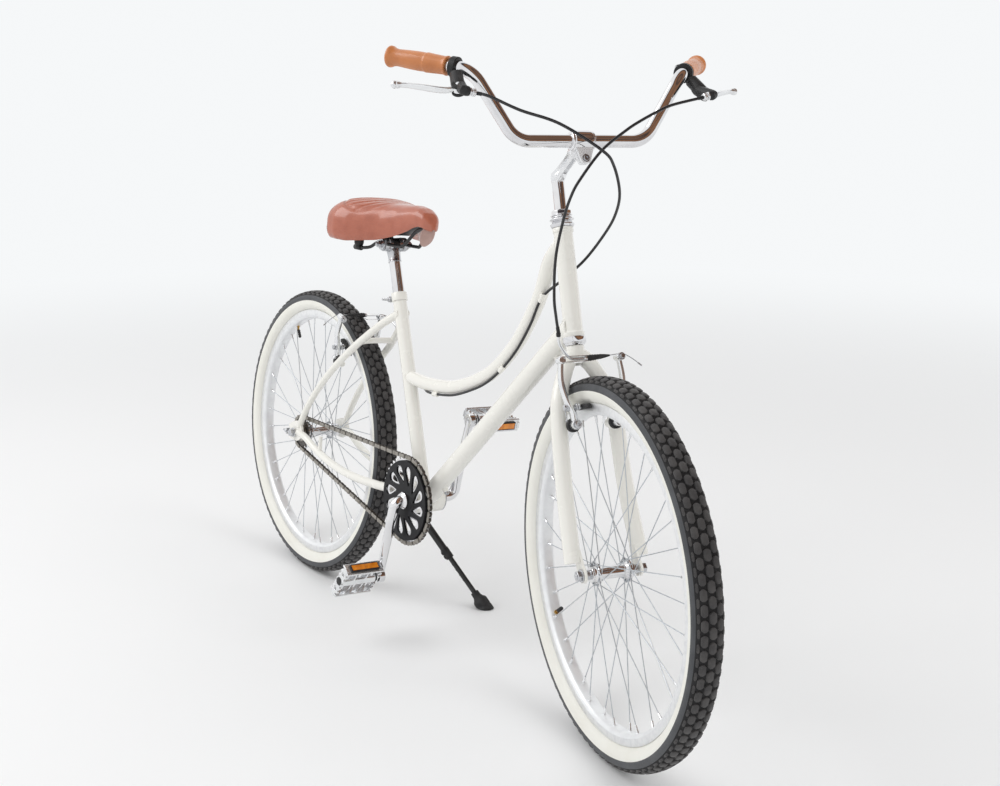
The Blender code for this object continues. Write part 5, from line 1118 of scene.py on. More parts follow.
    def fittings(self, form: Form) -> None:
        """Bosses, cable stops and the tab on the drive side."""
        down = (self.down_end - self.down_start).normalized()
        under = Vector((down.z, 0.0, -down.x))
        for along in (0.535, 0.075):
            base = self.down_start + down * along + under * (self.down_radius - 0.003)
            profile = [(0.0, 0.0), (0.0, 0.0082), (0.0035, 0.0064), (0.006, 0.0055), (0.0115, 0.0055),
                       (0.012, 0.0050), (0.012, 0.0)]
            form.add(turned(profile, 28), 0, aim(base, under))
        form.add(rod((0.118, -0.0565, 0.317), (0.118, -0.0565, 0.350), 0.0045, 20, 0.0006))
        line, middle = self.cable_line(), self.top_tube(0.058)[1:-1]
        for stop in (0.509, 0.7084, 0.8355):
            index = min(range(len(line)), key=lambda number: abs(line[number].x - stop))
            after, before = line[min(index + 1, len(line) - 1)], line[index - 1]
            toward = (middle[index] - line[index]).normalized()
            ahead = (after - before).normalized()
            ring = aim(line[index], ahead)
            stop = both_ways([(0.0085, 0.0027), (0.0085, 0.0048), (0.0078, 0.0053)])
            form.add(turned(stop, 24, True), 0, ring)
            form.add(rod(line[index] + toward * 0.0042, line[index] + toward * 0.0085, 0.0050, 20))

    def screws(self) -> None:
        """Button-head screws in the down tube's bosses."""
        down = (self.down_end - self.down_start).normalized()
        under = Vector((down.z, 0.0, -down.x))
        form = Form()
        for along in (0.535, 0.075):
            base = self.down_start + down * along + under * (self.down_radius + 0.0088)
            head = [(0.0, 0.0), (0.0, 0.0052), (0.0012, 0.0052), (0.0014, 0.0044), (0.0036, 0.0040),
                    (0.0052, 0.0028), (0.0052, 0.0016), (0.0036, 0.0016), (0.0036, 0.0)]
            form.add(turned(head, 24), 0, aim(base, under))
        Piece("down_tube_screws", form, [ZINC], "frame_body", "zinc_steel", place=BIKE).build()

    def build(self) -> None:
        """Builds the frame and its screws."""
        form = Form()
        self.main_tubes(form)
        self.welds(form)
        self.stays(form)
        self.fittings(form)
        Piece("painted_frame", form, [CREAM_PAINT], "frame_body", "white_paint", ("frame",), place=BIKE).build()
        self.screws()


TUBING = Tubing()


@dataclass
class Bearings:
    """Headset cups, bottom bracket cups, seat collar and its bolt."""

    cup_radius: float = 0.0205
    steerer: float = 0.0132
    bolt_back: float = 0.0225

    def headset(self) -> None:
        """Chrome cups pressed into the head tube, with the locknut above."""
        bore, wide = self.steerer, self.cup_radius
        low = [(-0.0150, bore), (-0.0150, 0.0172), (-0.0142, 0.0180), (-0.0118, 0.0186), (-0.0112, wide - 0.0006),
               (-0.0104, wide), (-0.0012, wide), (-0.0003, wide - 0.0008), (-0.0003, bore)]
        high = [(0.0003, bore), (0.0003, 0.0190), (0.0010, 0.0197), (0.0030, 0.0206), (0.0042, 0.0214),
                (0.0060, 0.0214), (0.0074, 0.0200), (0.0100, 0.0180), (0.0112, 0.0172), (0.0112, bore)]
        for name, profile, along in (("headset_low_cup_shell", low, TUBING.head_bottom),
                                     ("headset_high_cup_shell", high, TUBING.head_top)):
            node = "headset_lower_cup" if along == TUBING.head_bottom else "headset_upper_cup"
            place = BIKE @ aim(TUBING.on_head(along), TUBING.head_axis)
            form = Form().add(turned(profile, 56, True))
            Piece(name, form, [CHROME], "frame_body", "chrome", (node,), place=place).build()

    def locknut(self) -> None:
        """Top race, spacer and hexagon locknut, which turn with the fork."""
        base, bore = TUBING.head_top, 0.0119
        race = [(0.0113, 0.0134), (0.0113, 0.0178), (0.0122, 0.0190), (0.0136, 0.0214), (0.0152, 0.0216),
                (0.0170, 0.0184), (0.0184, 0.0170), (0.0205, 0.0172), (0.0205, 0.0134)]
        washer = [(0.0207, 0.0134), (0.0207, 0.0190), (0.0222, 0.0190), (0.0222, 0.0134)]
        nut = [(0.0224, bore), (0.0224, 0.0172), (0.0232, 0.0182), (0.0290, 0.0182), (0.0302, 0.0168),
               (0.0310, 0.0158), (0.0310, bore)]
        up = Matrix.Translation((0, 0, base)) @ Y_TO_Z
        form = Form().add(turned(race, 56, True), 0, up).add(turned(washer, 56, True), 0, up)
        form.add(turned(nut, 8, True), 0, up)
        Piece("headset_nut", form, [CHROME], "steering_body", "chrome", ("headset_locknut",), bevel=0.0004,
              sharp=24.0, place=STEERING).build()

    def bottom_bracket(self) -> None:
        """Notched steel cups with their lock rings."""
        half, wide = TUBING.shell_width / 2, TUBING.shell_radius
        for side in Side:
            form = Form()
            profile = [(half - 0.010, 0.0121), (half - 0.010, 0.0249), (half + 0.0003, 0.0249),
                       (half + 0.0003, wide - 0.0004), (half + 0.0008, wide), (half + 0.0020, wide),
                       (half + 0.0025, wide - 0.0005), (half + 0.0025, 0.0200), (half + 0.0014, 0.0190),
                       (half + 0.0014, 0.0160), (half + 0.0030, 0.0150), (half + 0.0030, 0.0121)]
            form.add(turned(signed(profile, side.value), 48, True))
            Piece(f"bottom_bracket_shell_cup_{side.word}", form, [ZINC], "frame_body", "zinc_steel",
                  (f"bottom_bracket_cup_{side.word}",), place=BIKE @ Matrix.Translation(TUBING.bottom_bracket)).build()

    def collar(self) -> None:
        """Painted collar with two ears, and the bolt through them."""
        origin = TUBING.seat_top + TUBING.seat_axis * 0.0003
        inner, outer = 0.0131, TUBING.seat_radius + 0.0022
        ring = [(0.0, inner), (0.0, outer - 0.0005), (0.0006, outer), (0.0168, outer), (0.0180, outer - 0.0008),
                (0.0180, inner)]
        back = TUBING.seat_axis.cross(SIDE_VECTOR).normalized()
        back = back if back.x < 0 else -back
        middle = origin + TUBING.seat_axis * 0.009
        ears_frame = axes(-back, SIDE_VECTOR, TUBING.seat_axis, middle)
        form = Form().add(turned(ring, 48, True), 0, aim(origin, TUBING.seat_axis))
        for side in Side:
            ear = [(-0.0135, -0.0062), (-0.0225, -0.0065), (-0.0262, -0.0050), (-0.0285, 0.0), (-0.0262, 0.0050),
                   (-0.0225, 0.0065), (-0.0135, 0.0062)]
            form.add(plate(ear, *span(side, 0.0012, 0.0080)), 0, ears_frame)
        Piece("seat_collar_ring", form, [CREAM_PAINT], "frame_body", "white_paint", ("seat_collar",),
              bevel=0.0005, place=BIKE).build()
        bolt = Form()
        to_bolt = ears_frame @ Matrix.Translation((-self.bolt_back, 0.0, 0.0)) @ Matrix.Rotation(math.pi, 4, "X")
        bolt.add(rod((0, -0.0118, 0), (0, 0.0290, 0), 0.0026, 20, 0.0005), 0, to_bolt)
        for index in range(14):
            middle = 0.0156 + index * 0.0009
            ridge = [(middle - 0.0003, 0.0025), (middle, 0.0029), (middle + 0.0003, 0.0025)]
            bolt.add(turned(ridge, 20, True), 0, to_bolt)
        head = [(-0.0142, 0.0), (-0.0142, 0.0030), (-0.0136, 0.0046), (-0.0115, 0.0056), (-0.0085, 0.0058),
                (-0.0083, 0.0070), (-0.0081, 0.0070), (-0.0081, 0.0)]
        bolt.add(turned(head, 24), 0, to_bolt)
        washer = [(0.0081, 0.0026), (0.0081, 0.0068), (0.0092, 0.0068), (0.0092, 0.0026)]
        bolt.add(turned(washer, 24, True), 0, to_bolt)
        bolt.add(turned([(0.0093, 0.0), (0.0093, 0.0054), (0.0100, 0.0060), (0.0138, 0.0060), (0.0146, 0.0052),
                         (0.0146, 0.0)], 6), 0, to_bolt)
        Piece("seat_collar_screw", bolt, [ZINC], "frame_body", "zinc_steel", ("seat_collar_bolt",), bevel=0.0003,
              place=BIKE).build()

    def build(self) -> None:
        """Builds every bearing part."""
        self.headset()
        self.locknut()
        self.bottom_bracket()
        self.collar()


@dataclass
class Axle:
    """Threaded axle with its cones, washers and nuts."""

    name: str
    node: str
    body: str
    place: Matrix
    half_hub: float
    plate: float
    overhang: float
    shell_half: float
    adjusters: bool = False
    radius: float = 0.00475
    thread_pitch: float = 0.0008

    def build(self) -> None:
        """Builds the axle as one piece."""
        form = Form()
        form.add(rod((0, -self.overhang, 0), (0, self.overhang, 0), self.radius, 28, 0.0009))
        for side in Side:
            sign = side.value
            cone = [(self.shell_half - 0.002, 0.0), (self.shell_half - 0.002, 0.0074),
                    (self.shell_half + 0.002, 0.0084), (self.half_hub - 0.0036, 0.0084),
                    (self.half_hub - 0.0030, 0.0078), (self.half_hub - 0.0003, 0.0078), (self.half_hub - 0.0003, 0.0)]
            form.add(turned(signed(cone, sign), 32))
            near = self.half_hub + self.plate + 0.0006
            washer = [(near, 0.0), (near, 0.0108), (near + 0.0003, 0.0112), (near + 0.0014, 0.0112),
                      (near + 0.0017, 0.0108), (near + 0.0017, 0.0)]
            form.add(turned(signed(washer, sign), 32))
            nut = [(near + 0.0018, 0.0), (near + 0.0018, 0.0086), (near + 0.0026, 0.0094),
                   (near + 0.0088, 0.0094), (near + 0.0096, 0.0084), (near + 0.0096, 0.0)]
            form.add(turned(signed(nut, sign), 6))
            for index in range(12):
                middle = near + 0.0102 + index * self.thread_pitch
                if middle + 0.0004 < self.overhang - 0.0009:
                    ridge = [(middle - 0.0003, 0.0047), (middle, 0.0051), (middle + 0.0003, 0.0047)]
                    form.add(turned(signed(ridge, sign), 24, True))
            if self.adjusters:
                middle = self.half_hub + self.plate - 0.0010
                form.add(rod((-0.006, sign * middle, -0.004), (-0.052, sign * middle, -0.004), 0.0026, 20, 0.0005))
                form.add(turned([(0.0, 0.0), (0.0, 0.0050), (0.0006, 0.0056), (0.0044, 0.0056), (0.0050, 0.0050),
                                 (0.0050, 0.0)], 6), 0,
                         aim(Vector((-0.0330, sign * middle, -0.004)), Vector((-1, 0, 0))))
                form.add(block((-0.0330, sign * middle - 0.0030, -0.0105), (-0.0300, sign * middle + 0.0045, 0.0035)))
        Piece(self.name, form, [ZINC], self.body, "zinc_steel", (self.node,), bevel=0.00025, place=self.place).build()


# Wheels


@dataclass
class Wheel:
    """One spoked wheel: tyre with its tread, rim, hub, spokes and valve."""

    name: str
    body: str
    place: Matrix
    flanges: Pair
    half_shell: float
    nose: float
    valve_angle: float
    segments: int = 144
    tread_radius: float = 0.3309
    crown_radius: float = 0.3274
    tread_blocks: int = 90
    rim_radius: float = 0.2862
    bed_radius: float = 0.2660
    half_rim: float = 0.0150
    flange_radius: float = 0.0215
    spokes_per_side: int = 18
    flange_half: float = 0.0015
    crosses: int = 3
    spoke_radius: float = 0.0009
    hole_inset: float = 0.0035
    valve_reach: float = 0.290
    block_length: float = 0.0094
    shoulder_out: float = 0.020
    shoulder_height: float = 0.0014
    rows: tuple = ((0.0, 0.0060, False), (0.0130, 0.0054, True), (0.0205, 0.0024, False))

    def carcass(self, form: Form) -> None:
        """Tyre body: tread base with painted shade between the blocks, black side, cream wall down to the rim."""
        wall = [(0.0126, 0.2800), (0.0127, 0.2868), (0.0150, 0.2878), (0.0190, 0.2905), (0.0226, 0.2950),
                (0.0247, 0.3005), (0.0254, 0.3050), (0.0257, 0.3078)]
        black = [(0.0257, 0.3078), (0.0258, 0.3082), (0.0262, 0.3086), (0.0262, 0.3125), (0.0252, 0.3168),
                 (0.0238, 0.3194)]
        # The groove profile is the tread base between the blocks; it gets the darker rubber, painted shade.
        groove = [(0.0238, 0.3194), (0.0222, 0.3211), (0.0180, 0.3243), (0.0120, 0.3264),
                  (0.0060, self.crown_radius - 0.0002), (0.0, self.crown_radius)]
        for sign in (1, -1):
            for number, part in ((1, wall), (2, black), (3, groove)):
                form.add(turned(signed(part, sign), self.segments), number)
        inner = both_ways([(0.0126, 0.2800), (0.0060, 0.2806)])
        form.add(turned(inner, self.segments), 2)

    def surface(self, along: float) -> float:
        """Radius of the tread base at a distance from the middle plane."""
        table = [(0.0, self.crown_radius), (0.0060, self.crown_radius - 0.0002), (0.0120, 0.3264),
                 (0.0180, 0.3243), (0.0222, 0.3211), (0.0238, 0.3194), (0.0252, 0.3168), (0.0262, 0.3125)]
        return between(table, abs(along))

    def tread(self, form: Form) -> None:
        """Rows of rounded six-sided blocks, each row half a step from the next."""
        step = math.tau / self.tread_blocks
        for middle, half_width, shifted in self.rows:
            for sign in ((1,) if middle == 0.0 else (1, -1)):
                for index in range(self.tread_blocks):
                    angle = step * (index + (0.5 if shifted else 0.0))
                    self.tread_block(form, angle, sign * middle, half_width)

    def tread_block(self, form: Form, angle: float, middle: float, half_width: float) -> None:
        """One block standing on the tyre.

        Args:
            form: where it goes.
            angle: its place round the wheel.
            middle: its place across the tread.
            half_width: half its size across.
        """
        shoulder = abs(middle) > self.shoulder_out
        half_length = self.block_length * (0.80 if shoulder else 1.0)
        outline = [(1.0, 0.34), (0.66, 1.0), (-0.66, 1.0), (-1.0, 0.34), (-1.0, -0.34), (-0.66, -1.0), (0.66, -1.0),
                   (1.0, -0.34)]
        slope = math.atan2(self.surface(abs(middle) - 0.002) - self.surface(abs(middle) + 0.002), 0.004)
        tilt = slope if middle >= 0 else -slope
        base_radius = self.surface(middle)
        full = self.tread_radius - self.crown_radius
        height = self.shoulder_height if shoulder else full * (0.85 if middle else 1.0)
        out = Vector((0.0, math.sin(tilt), math.cos(tilt)))
        side = Vector((0.0, math.cos(tilt), -math.sin(tilt)))
        centre = Vector((0.0, middle, base_radius))
        turn = Matrix.Rotation(angle, 4, "Y")
        sections = []
        for lift, shrink in ((-0.0035, 1.0), (height - 0.0007, 0.96), (height, 0.86)):
            ring = []
            for u, v in outline:
                along = u * half_length * shrink
                across = v * half_width * shrink
                drop = along * along / (2.0 * base_radius)
                ring.append(tuple(turn @ (centre + side * across + out * (lift - drop) + Vector((along, 0, 0)))))
            sections.append(ring)
        form.add(lofted(sections), 0)
        if shoulder:
            dot = [(height - 0.0002, 0.0), (height - 0.0002, 0.0017), (height + 0.0004, 0.0014), (height + 0.0004, 0.0)]
            spot = turn @ axes(Vector((1, 0, 0)), out, -side, centre)
            form.add(turned(dot, 8), 0, spot)

    def tyre(self) -> None:
        """Builds the tyre."""
        form = Form()
        self.carcass(form)
        self.tread(form)
        Piece(f"{self.name}_tyre_with_tread", form, [TREAD_RUBBER, CREAM_WALL, SIDE_RUBBER, GROOVE_PAINTED_SHADE_RUBBER], self.body,
              "tyre_rubber", (f"{self.name}_tyre",), sharp=44.0, place=self.place).build()

    def rim(self) -> None:
        """Box-section rim with machined sides and an eyelet at each spoke."""
        half, top, bed = self.half_rim, self.rim_radius, self.bed_radius
        track = [(half - 0.0022, top - 0.0082), (half - 0.0022, top - 0.0006), (half - 0.0016, top),
                 (half - 0.0006, top), (half, top - 0.0008), (half, top - 0.0135)]
        body = [(half, top - 0.0135), (half - 0.0006, top - 0.0142), (half - 0.0010, bed + 0.0050),
                (half - 0.0030, bed + 0.0022), (0.0090, bed), (0.0050, bed - 0.0004), (0.0, bed - 0.0006)]
        form = Form()
        for sign in (1, -1):
            for number, part in ((1, track), (0, body)):
                form.add(turned(signed(part, sign), self.segments), number)
        well = [(half - 0.0022, top - 0.0082), (0.0060, top - 0.0100), (-0.0060, top - 0.0100),
                (0.0022 - half, top - 0.0082)]
        form.add(turned(well, self.segments))
        for side in Side:
            for index in range(self.spokes_per_side):
                end = self.spoke_line(side, index)[-1]
                outward = Vector((end.x, 0.0, end.z)).normalized()
                foot = outward * (bed - 0.0012)
                foot.y = end.y
                ring = [(0.0, 0.0020), (0.0, 0.0034), (0.0010, 0.0042), (0.0022, 0.0042), (0.0022, 0.0020)]
                form.add(turned(ring, 14, True), 0, aim(foot, outward))
        Piece(f"{self.name}_rim_shell", form, [BRIGHT_ALLOY, BRAKE_TRACK], self.body, "alloy", (f"{self.name}_rim",),
              place=self.place).build()

    def spoke_line(self, side: Side, index: int) -> Points:
        """Centre line of one spoke: head in the flange, elbow, straight run to the rim.

        Args:
            side: which flange it hangs on.
            index: its number round the flange.

        Returns:
            Its points.
        """
        step = math.tau / self.spokes_per_side
        lead = 1 if index % 2 == 0 else -1
        hub_angle = step * index + (step / 2 if side is Side.LEFT else 0.0)
        rim_angle = hub_angle + lead * self.crosses * step
        flange = self.flanges[0] if side is Side.RIGHT else self.flanges[1]
        hub = Vector((math.cos(hub_angle), 0.0, math.sin(hub_angle)))
        rim = Vector((math.cos(rim_angle), 0.0, math.sin(rim_angle)))
        hole = hub * (self.flange_radius - self.hole_inset)
        end = rim * (self.bed_radius + 0.0010)
        end.y = side.value * 0.0030 + lead * 0.0013
        outer = Vector((hole.x, flange + lead * 0.0026, hole.z))
        toward = (end - outer).normalized()
        return [Vector((hole.x, flange - lead * 0.0027, hole.z)), Vector((hole.x, flange + lead * 0.0016, hole.z)),
                outer + toward * 0.0010 + Vector((0, lead * 0.0002, 0)), outer + toward * 0.0040, end]

    def spokes(self) -> None:
        """Spokes with their heads and nipples."""
        form = Form()
        for side in Side:
            for index in range(self.spokes_per_side):
                line = self.spoke_line(side, index)
                form.add(tube(line, self.spoke_radius, 8))
                head = (line[1] - line[0]).normalized()
                form.add(turned([(-0.0010, 0.0), (-0.0008, 0.0013), (0.0, 0.0019), (0.0006, 0.0019), (0.0008, 0.0)],
                                10), 0, aim(line[0], head))
                run = (line[-1] - line[-2]).normalized()
                nipple = [(-0.0150, 0.0), (-0.0150, 0.0015), (-0.0142, 0.0020), (-0.0060, 0.0021), (-0.0055, 0.0024),
                          (0.0, 0.0024), (0.0, 0.0)]
                form.add(turned(nipple, 10), 1, aim(line[-1], run))
        Piece(f"{self.name}_spokes", form, [SPOKE_STEEL, POLISHED], self.body, "alloy", place=self.place).build()

    def hub(self) -> None:
        """Hub shell with two drilled flanges."""
        right, left = self.flanges
        half, nose, rim = self.half_shell, self.nose, self.flange_radius
        barrel = [(-half, 0.0056), (-half, nose - 0.0008), (0.0008 - half, nose), (right - 0.0050, nose),
                  (right - 0.0022, nose + 0.0018), (right - 0.0016, nose + 0.0022), (right + 0.0016, nose + 0.0022),
                  (right + 0.0040, 0.0128), (right + 0.0080, 0.0108), (left - 0.0080, 0.0108), (left - 0.0040, 0.0128),
                  (left - 0.0016, nose + 0.0022), (left + 0.0016, nose + 0.0022), (left + 0.0022, nose + 0.0018),
                  (left + 0.0050, nose), (half - 0.0008, nose), (half, nose - 0.0008), (half, 0.0056)]
        form = Form().add(turned(barrel, 48, True))
        step = math.tau / self.spokes_per_side
        for side, flange in ((Side.RIGHT, right), (Side.LEFT, left)):
            holes = []
            for index in range(self.spokes_per_side):
                angle = step * index + (step / 2 if side is Side.LEFT else 0.0)
                x, z = (rim - self.hole_inset) * math.cos(angle), (rim - self.hole_inset) * math.sin(angle)
                holes.append([(x + u, z + v) for u, v in circle(0.0014, 8)])
            outline = circle(rim, 72)
            form.add(plate(outline, flange - self.flange_half, flange + self.flange_half, [*holes, circle(nose, 24)]))
        Piece(f"{self.name}_hub_shell", form, [CHROME], self.body, "alloy", (f"{self.name}_hub_and_spokes",),
              bevel=0.00025, place=self.place).build()

    def valve(self) -> None:
        """Rubber valve stem with its nut and cap, standing through the rim."""
        toward = Vector((math.cos(self.valve_angle), 0.0, math.sin(self.valve_angle)))
        stem = [(-0.0540, 0.0), (-0.0540, 0.0022), (-0.0535, 0.0027)]
        for fold in range(4):
            near = -0.0525 + fold * 0.0046
            stem += [(near, 0.0027), (near + 0.0006, 0.0037), (near + 0.0032, 0.0037), (near + 0.0038, 0.0027)]
        stem += [(-0.0335, 0.0026), (-0.0335, 0.0)]
        nut = [(-0.0336, 0.0), (-0.0336, 0.0026), (-0.0285, 0.0026), (-0.0283, 0.0040), (-0.0235, 0.0044),
               (-0.0235, 0.0)]
        cap = [(-0.0234, 0.0), (-0.0234, 0.0030), (-0.0150, 0.0030), (-0.0150, 0.0)]
        form = Form()
        for number, profile in ((0, stem), (1, nut), (0, cap)):
            form.add(turned(profile, 24), number, aim(toward * self.valve_reach, toward))
        Piece(f"{self.name}_valve", form, [SOFT_RUBBER, BRASS], self.body, "rubber", (f"{self.name}_inner_tube",),
              place=self.place).build()

    def build(self) -> None:
        """Builds the whole wheel."""
        self.tyre()
        self.rim()
        self.spokes()
        self.hub()
        self.valve()


# Drive


@dataclass
class Drive:
    """Chain, sprockets, pierced guard and the one-piece crank."""

    pitch: float = 0.0127
    ring_teeth: int = 44
    sprocket_teeth: int = 18
    line: float = 0.0435
    guard_radius: float = 0.0820
    guard_out: float = 0.0500
    windows: int = 12
    crank_length: float = 0.170
    crank_out: float = 0.078
    plate_half: float = 0.0013

    def radius(self, teeth: int) -> float:
        """Pitch radius of a sprocket."""
        return self.pitch / (2.0 * math.sin(math.pi / teeth))

    def faces(self) -> Pair:
        """Y of a sprocket's outer and inner face."""
        return -self.line - self.plate_half, -self.line + self.plate_half

    def pitch_line(self) -> Points:
        """Closed pitch line round both sprockets, finely stepped, in the bike frame."""
        big, small = self.radius(self.ring_teeth), self.radius(self.sprocket_teeth)
        front, rear = TUBING.bottom_bracket, TUBING.rear_axle
        gap = front - rear
        tilt = math.atan2(gap.z, gap.x)
        spread = math.acos((big - small) / math.hypot(gap.x, gap.z))
        points: Points = []
        for centre, radius, start, end in ((front, big, tilt - math.pi + spread, tilt + math.pi - spread),
                                           (rear, small, tilt + math.pi - spread, tilt + math.pi + spread)):
            steps = 160
            for step in range(steps + 1):
                angle = start + (end - start) * step / steps
                points.append(centre + Vector((radius * math.cos(angle), -self.line, radius * math.sin(angle))))
        return points

    def pins(self) -> Points:
        """Pin centres, one pitch apart round the loop."""
        loop = self.pitch_line()
        loop.append(loop[0])
        count = 2 * round(line_length(loop) / self.pitch / 2)
        return stepped(loop, count)[:-1]

    def chain(self) -> None:
        """Roller chain: inner and outer links in turn, with rollers and riveted pins."""
        form = Form()
        pins = self.pins()
        for index, pin in enumerate(pins):
            after = pins[(index + 1) % len(pins)]
            near, far = (0.0027, 0.0036) if index % 2 else (0.0017, 0.0026)
            for sign in (1, -1):
                form.add(self.link_plate((after - pin).length, sign * near, sign * far), index % 2,
                         self.link_frame(pin, after))
            form.add(rod(pin - SIDE_VECTOR * 0.0016, pin + SIDE_VECTOR * 0.0016, 0.0037, 12))
            form.add(rod(pin - SIDE_VECTOR * 0.0040, pin + SIDE_VECTOR * 0.0040, 0.0017, 10, 0.0003), 1)
        Piece("roller_chain", form, [CHAIN_STEEL, ZINC_DULL], "frame_body", "dark_steel", ("chain",),
              place=BIKE).build()

    @staticmethod
    def link_frame(pin: Vector, after: Vector) -> Matrix:
        """Frame on a pin with X towards the next pin."""
        forward = (after - pin).normalized()
        return axes(forward, SIDE_VECTOR, forward.cross(SIDE_VECTOR), pin)

    @staticmethod
    def link_plate(length: float, low: float, high: float) -> Shape:
        """Waisted side plate of one link."""
        end = 0.0046
        outline: list[Pair] = []
        for angle in (110, 145, 180, 215, 250):
            outline.append((end * math.cos(math.radians(angle)), end * math.sin(math.radians(angle))))
        outline.append((length / 2, -0.0034))
        for angle in (-70, -35, 0, 35, 70):
            outline.append((length + end * math.cos(math.radians(angle)), end * math.sin(math.radians(angle))))
        outline.append((length / 2, 0.0034))
        points = [Vector((x, low, z)) for x, z in outline] + [Vector((x, high, z)) for x, z in outline]
        count = len(outline)
        faces = [tuple(range(count)), tuple(range(2 * count - 1, count - 1, -1))]
        for side in range(count):
            after = (side + 1) % count
            faces.append((side, after, count + after, count + side))
        return points, faces

    def toothed(self, teeth: int, phase: float) -> list[Pair]:
        """Outline of a sprocket whose gaps hold the chain's rollers.

        Args:
            teeth: number of teeth.
            phase: angle of one gap.

        Returns:
            The outline.
        """
        radius, step = self.radius(teeth), math.tau / teeth
        outline: list[Pair] = []
        for tooth in range(teeth):
            gap = phase + tooth * step
            centre = Vector((radius * math.cos(gap), radius * math.sin(gap)))
            out = centre.normalized()
            side = Vector((-out.y, out.x))
            for angle in (-78, -40, 0, 40, 78):
                seat = math.radians(angle)
                point = centre - out * 0.0040 * math.cos(seat) + side * 0.0040 * math.sin(seat)
                outline.append((point.x, point.y))
            for share, reach in ((0.43, 0.0034), (0.57, 0.0034)):
                turn = gap + share * step
                outline.append(((radius + reach) * math.cos(turn), (radius + reach) * math.sin(turn)))
        return outline

    def gap_phase(self, centre: Vector, base: Matrix) -> float:
        """Angle, in a sprocket's own frame, of a gap that holds one of the chain's pins."""
        to_own = base.inverted() @ BIKE
        pins = [to_own @ pin for pin in self.pins()]
        far = max(pins, key=lambda pin: -abs((BIKE.inverted() @ base @ pin - centre).z)
                  + (0.2 if (BIKE.inverted() @ base @ pin - centre).x * (1 if centre.x else -1) > 0 else 0.0))
        return math.atan2(far.z, far.x)

    def window(self, angle: float, scale: float) -> list[Pair]:
        """Slanted teardrop window of the guard.

        Args:
            angle: its place round the disc.
            scale: its size.

        Returns:
            Its smooth outline.
        """
        centre = Vector((0.0530 * math.cos(angle), 0.0530 * math.sin(angle)))
        slant = angle + math.radians(24.0)
        along = Vector((math.cos(slant), math.sin(slant)))
        across = Vector((-along.y, along.x))
        knots = [(-0.0182, 0.0), (-0.0090, -0.0050), (0.0030, -0.0088), (0.0130, -0.0088), (0.0190, 0.0),
                 (0.0132, 0.0088), (0.0010, 0.0076), (-0.0110, 0.0034)]
        ring = [Vector((u, v, 0.0)) for u, v in knots]
        smooth: list[Pair] = []
        for index in range(len(ring)):
            four = [ring[(index + offset) % len(ring)] for offset in (-1, 0, 1, 2)]
            for step in range(4):
                at = curve_point(four, step / 4.0)
                spot = centre + (along * at.x + across * at.y) * scale
                smooth.append((spot.x, spot.y))
        return smooth

    def chainring(self) -> None:
        """Toothed chrome ring with a pierced web, and the black guard outside it."""
        angles = [math.tau * index / self.windows for index in range(self.windows)]
        phase = self.gap_phase(TUBING.bottom_bracket, CRANK)
        teeth = self.toothed(self.ring_teeth, phase)
        form = Form()
        near, far = self.faces()
        form.add(plate(teeth, near, far, [circle(0.0740, 72)]))
        rim = [(near, 0.0745), (near, 0.0720), (-0.0470, 0.0690), (-0.0486, 0.0690),
               (-0.0486, 0.0722), (-0.0464, 0.0745)]
        form.add(turned(rim, 72, True))
        form.add(plate(circle(0.0700, 72), -0.0486, -0.0472,
                       [self.window(angle, 0.62) for angle in angles] + [circle(0.0122, 24)]))
        Piece("chrome_chainring", form, [CHROME], "crank_body", "chrome", ("chainring",), bevel=0.0002,
              place=CRANK).build()
        guard = Form()
        out, wide = -self.guard_out, self.guard_radius
        guard.add(plate(circle(wide, 96), out - 0.0010, out + 0.0010,
                        [self.window(angle, 1.12) for angle in angles] + [circle(0.0122, 24)]))
        lip = [(out + 0.0010, wide - 0.0004), (out + 0.0030, wide), (out + 0.0034, wide + 0.0006),
               (out - 0.0004, wide + 0.0006), (out - 0.0012, wide - 0.0002), (out - 0.0010, wide - 0.0016)]
        guard.add(turned(lip, 96, True))
        Piece("black_guard_disc", guard, [BLACK_GLOSS], "crank_body", "black_paint", ("guard_disc",),
              bevel=0.0003, place=CRANK).build()

    def freewheel(self) -> None:
        """Rear sprocket on its ratchet body."""
        place = Matrix.Translation(FRAMES.point("freewheel_spin")) @ BIKE.to_3x3().to_4x4()
        phase = self.gap_phase(TUBING.rear_axle, place)
        form = Form()
        near, far = self.faces()
        form.add(plate(self.toothed(self.sprocket_teeth, phase), near, far, [circle(0.0161, 32)]))
        body = [(-self.line - 0.0034, 0.0162), (-self.line - 0.0034, 0.0215), (-self.line - 0.0030, 0.0222),
                (near, 0.0226), (near, 0.0258), (-self.line + 0.0070, 0.0258),
                (-self.line + 0.0076, 0.0250), (-self.line + 0.0076, 0.0162)]
        form.add(turned(body, 48, True), 1)
        for index in range(4):
            angle = math.tau * index / 4
            spot = Vector((0.0190 * math.cos(angle), -self.line - 0.0034, 0.0190 * math.sin(angle)))
            form.add(rod(spot, spot - SIDE_VECTOR * 0.0006, 0.0014, 12), 0)
        Piece("freewheel_sprocket", form, [CHAIN_STEEL, ZINC_DULL], "freewheel_body", "dark_steel", ("freewheel",),
              bevel=0.0002, place=place).build()

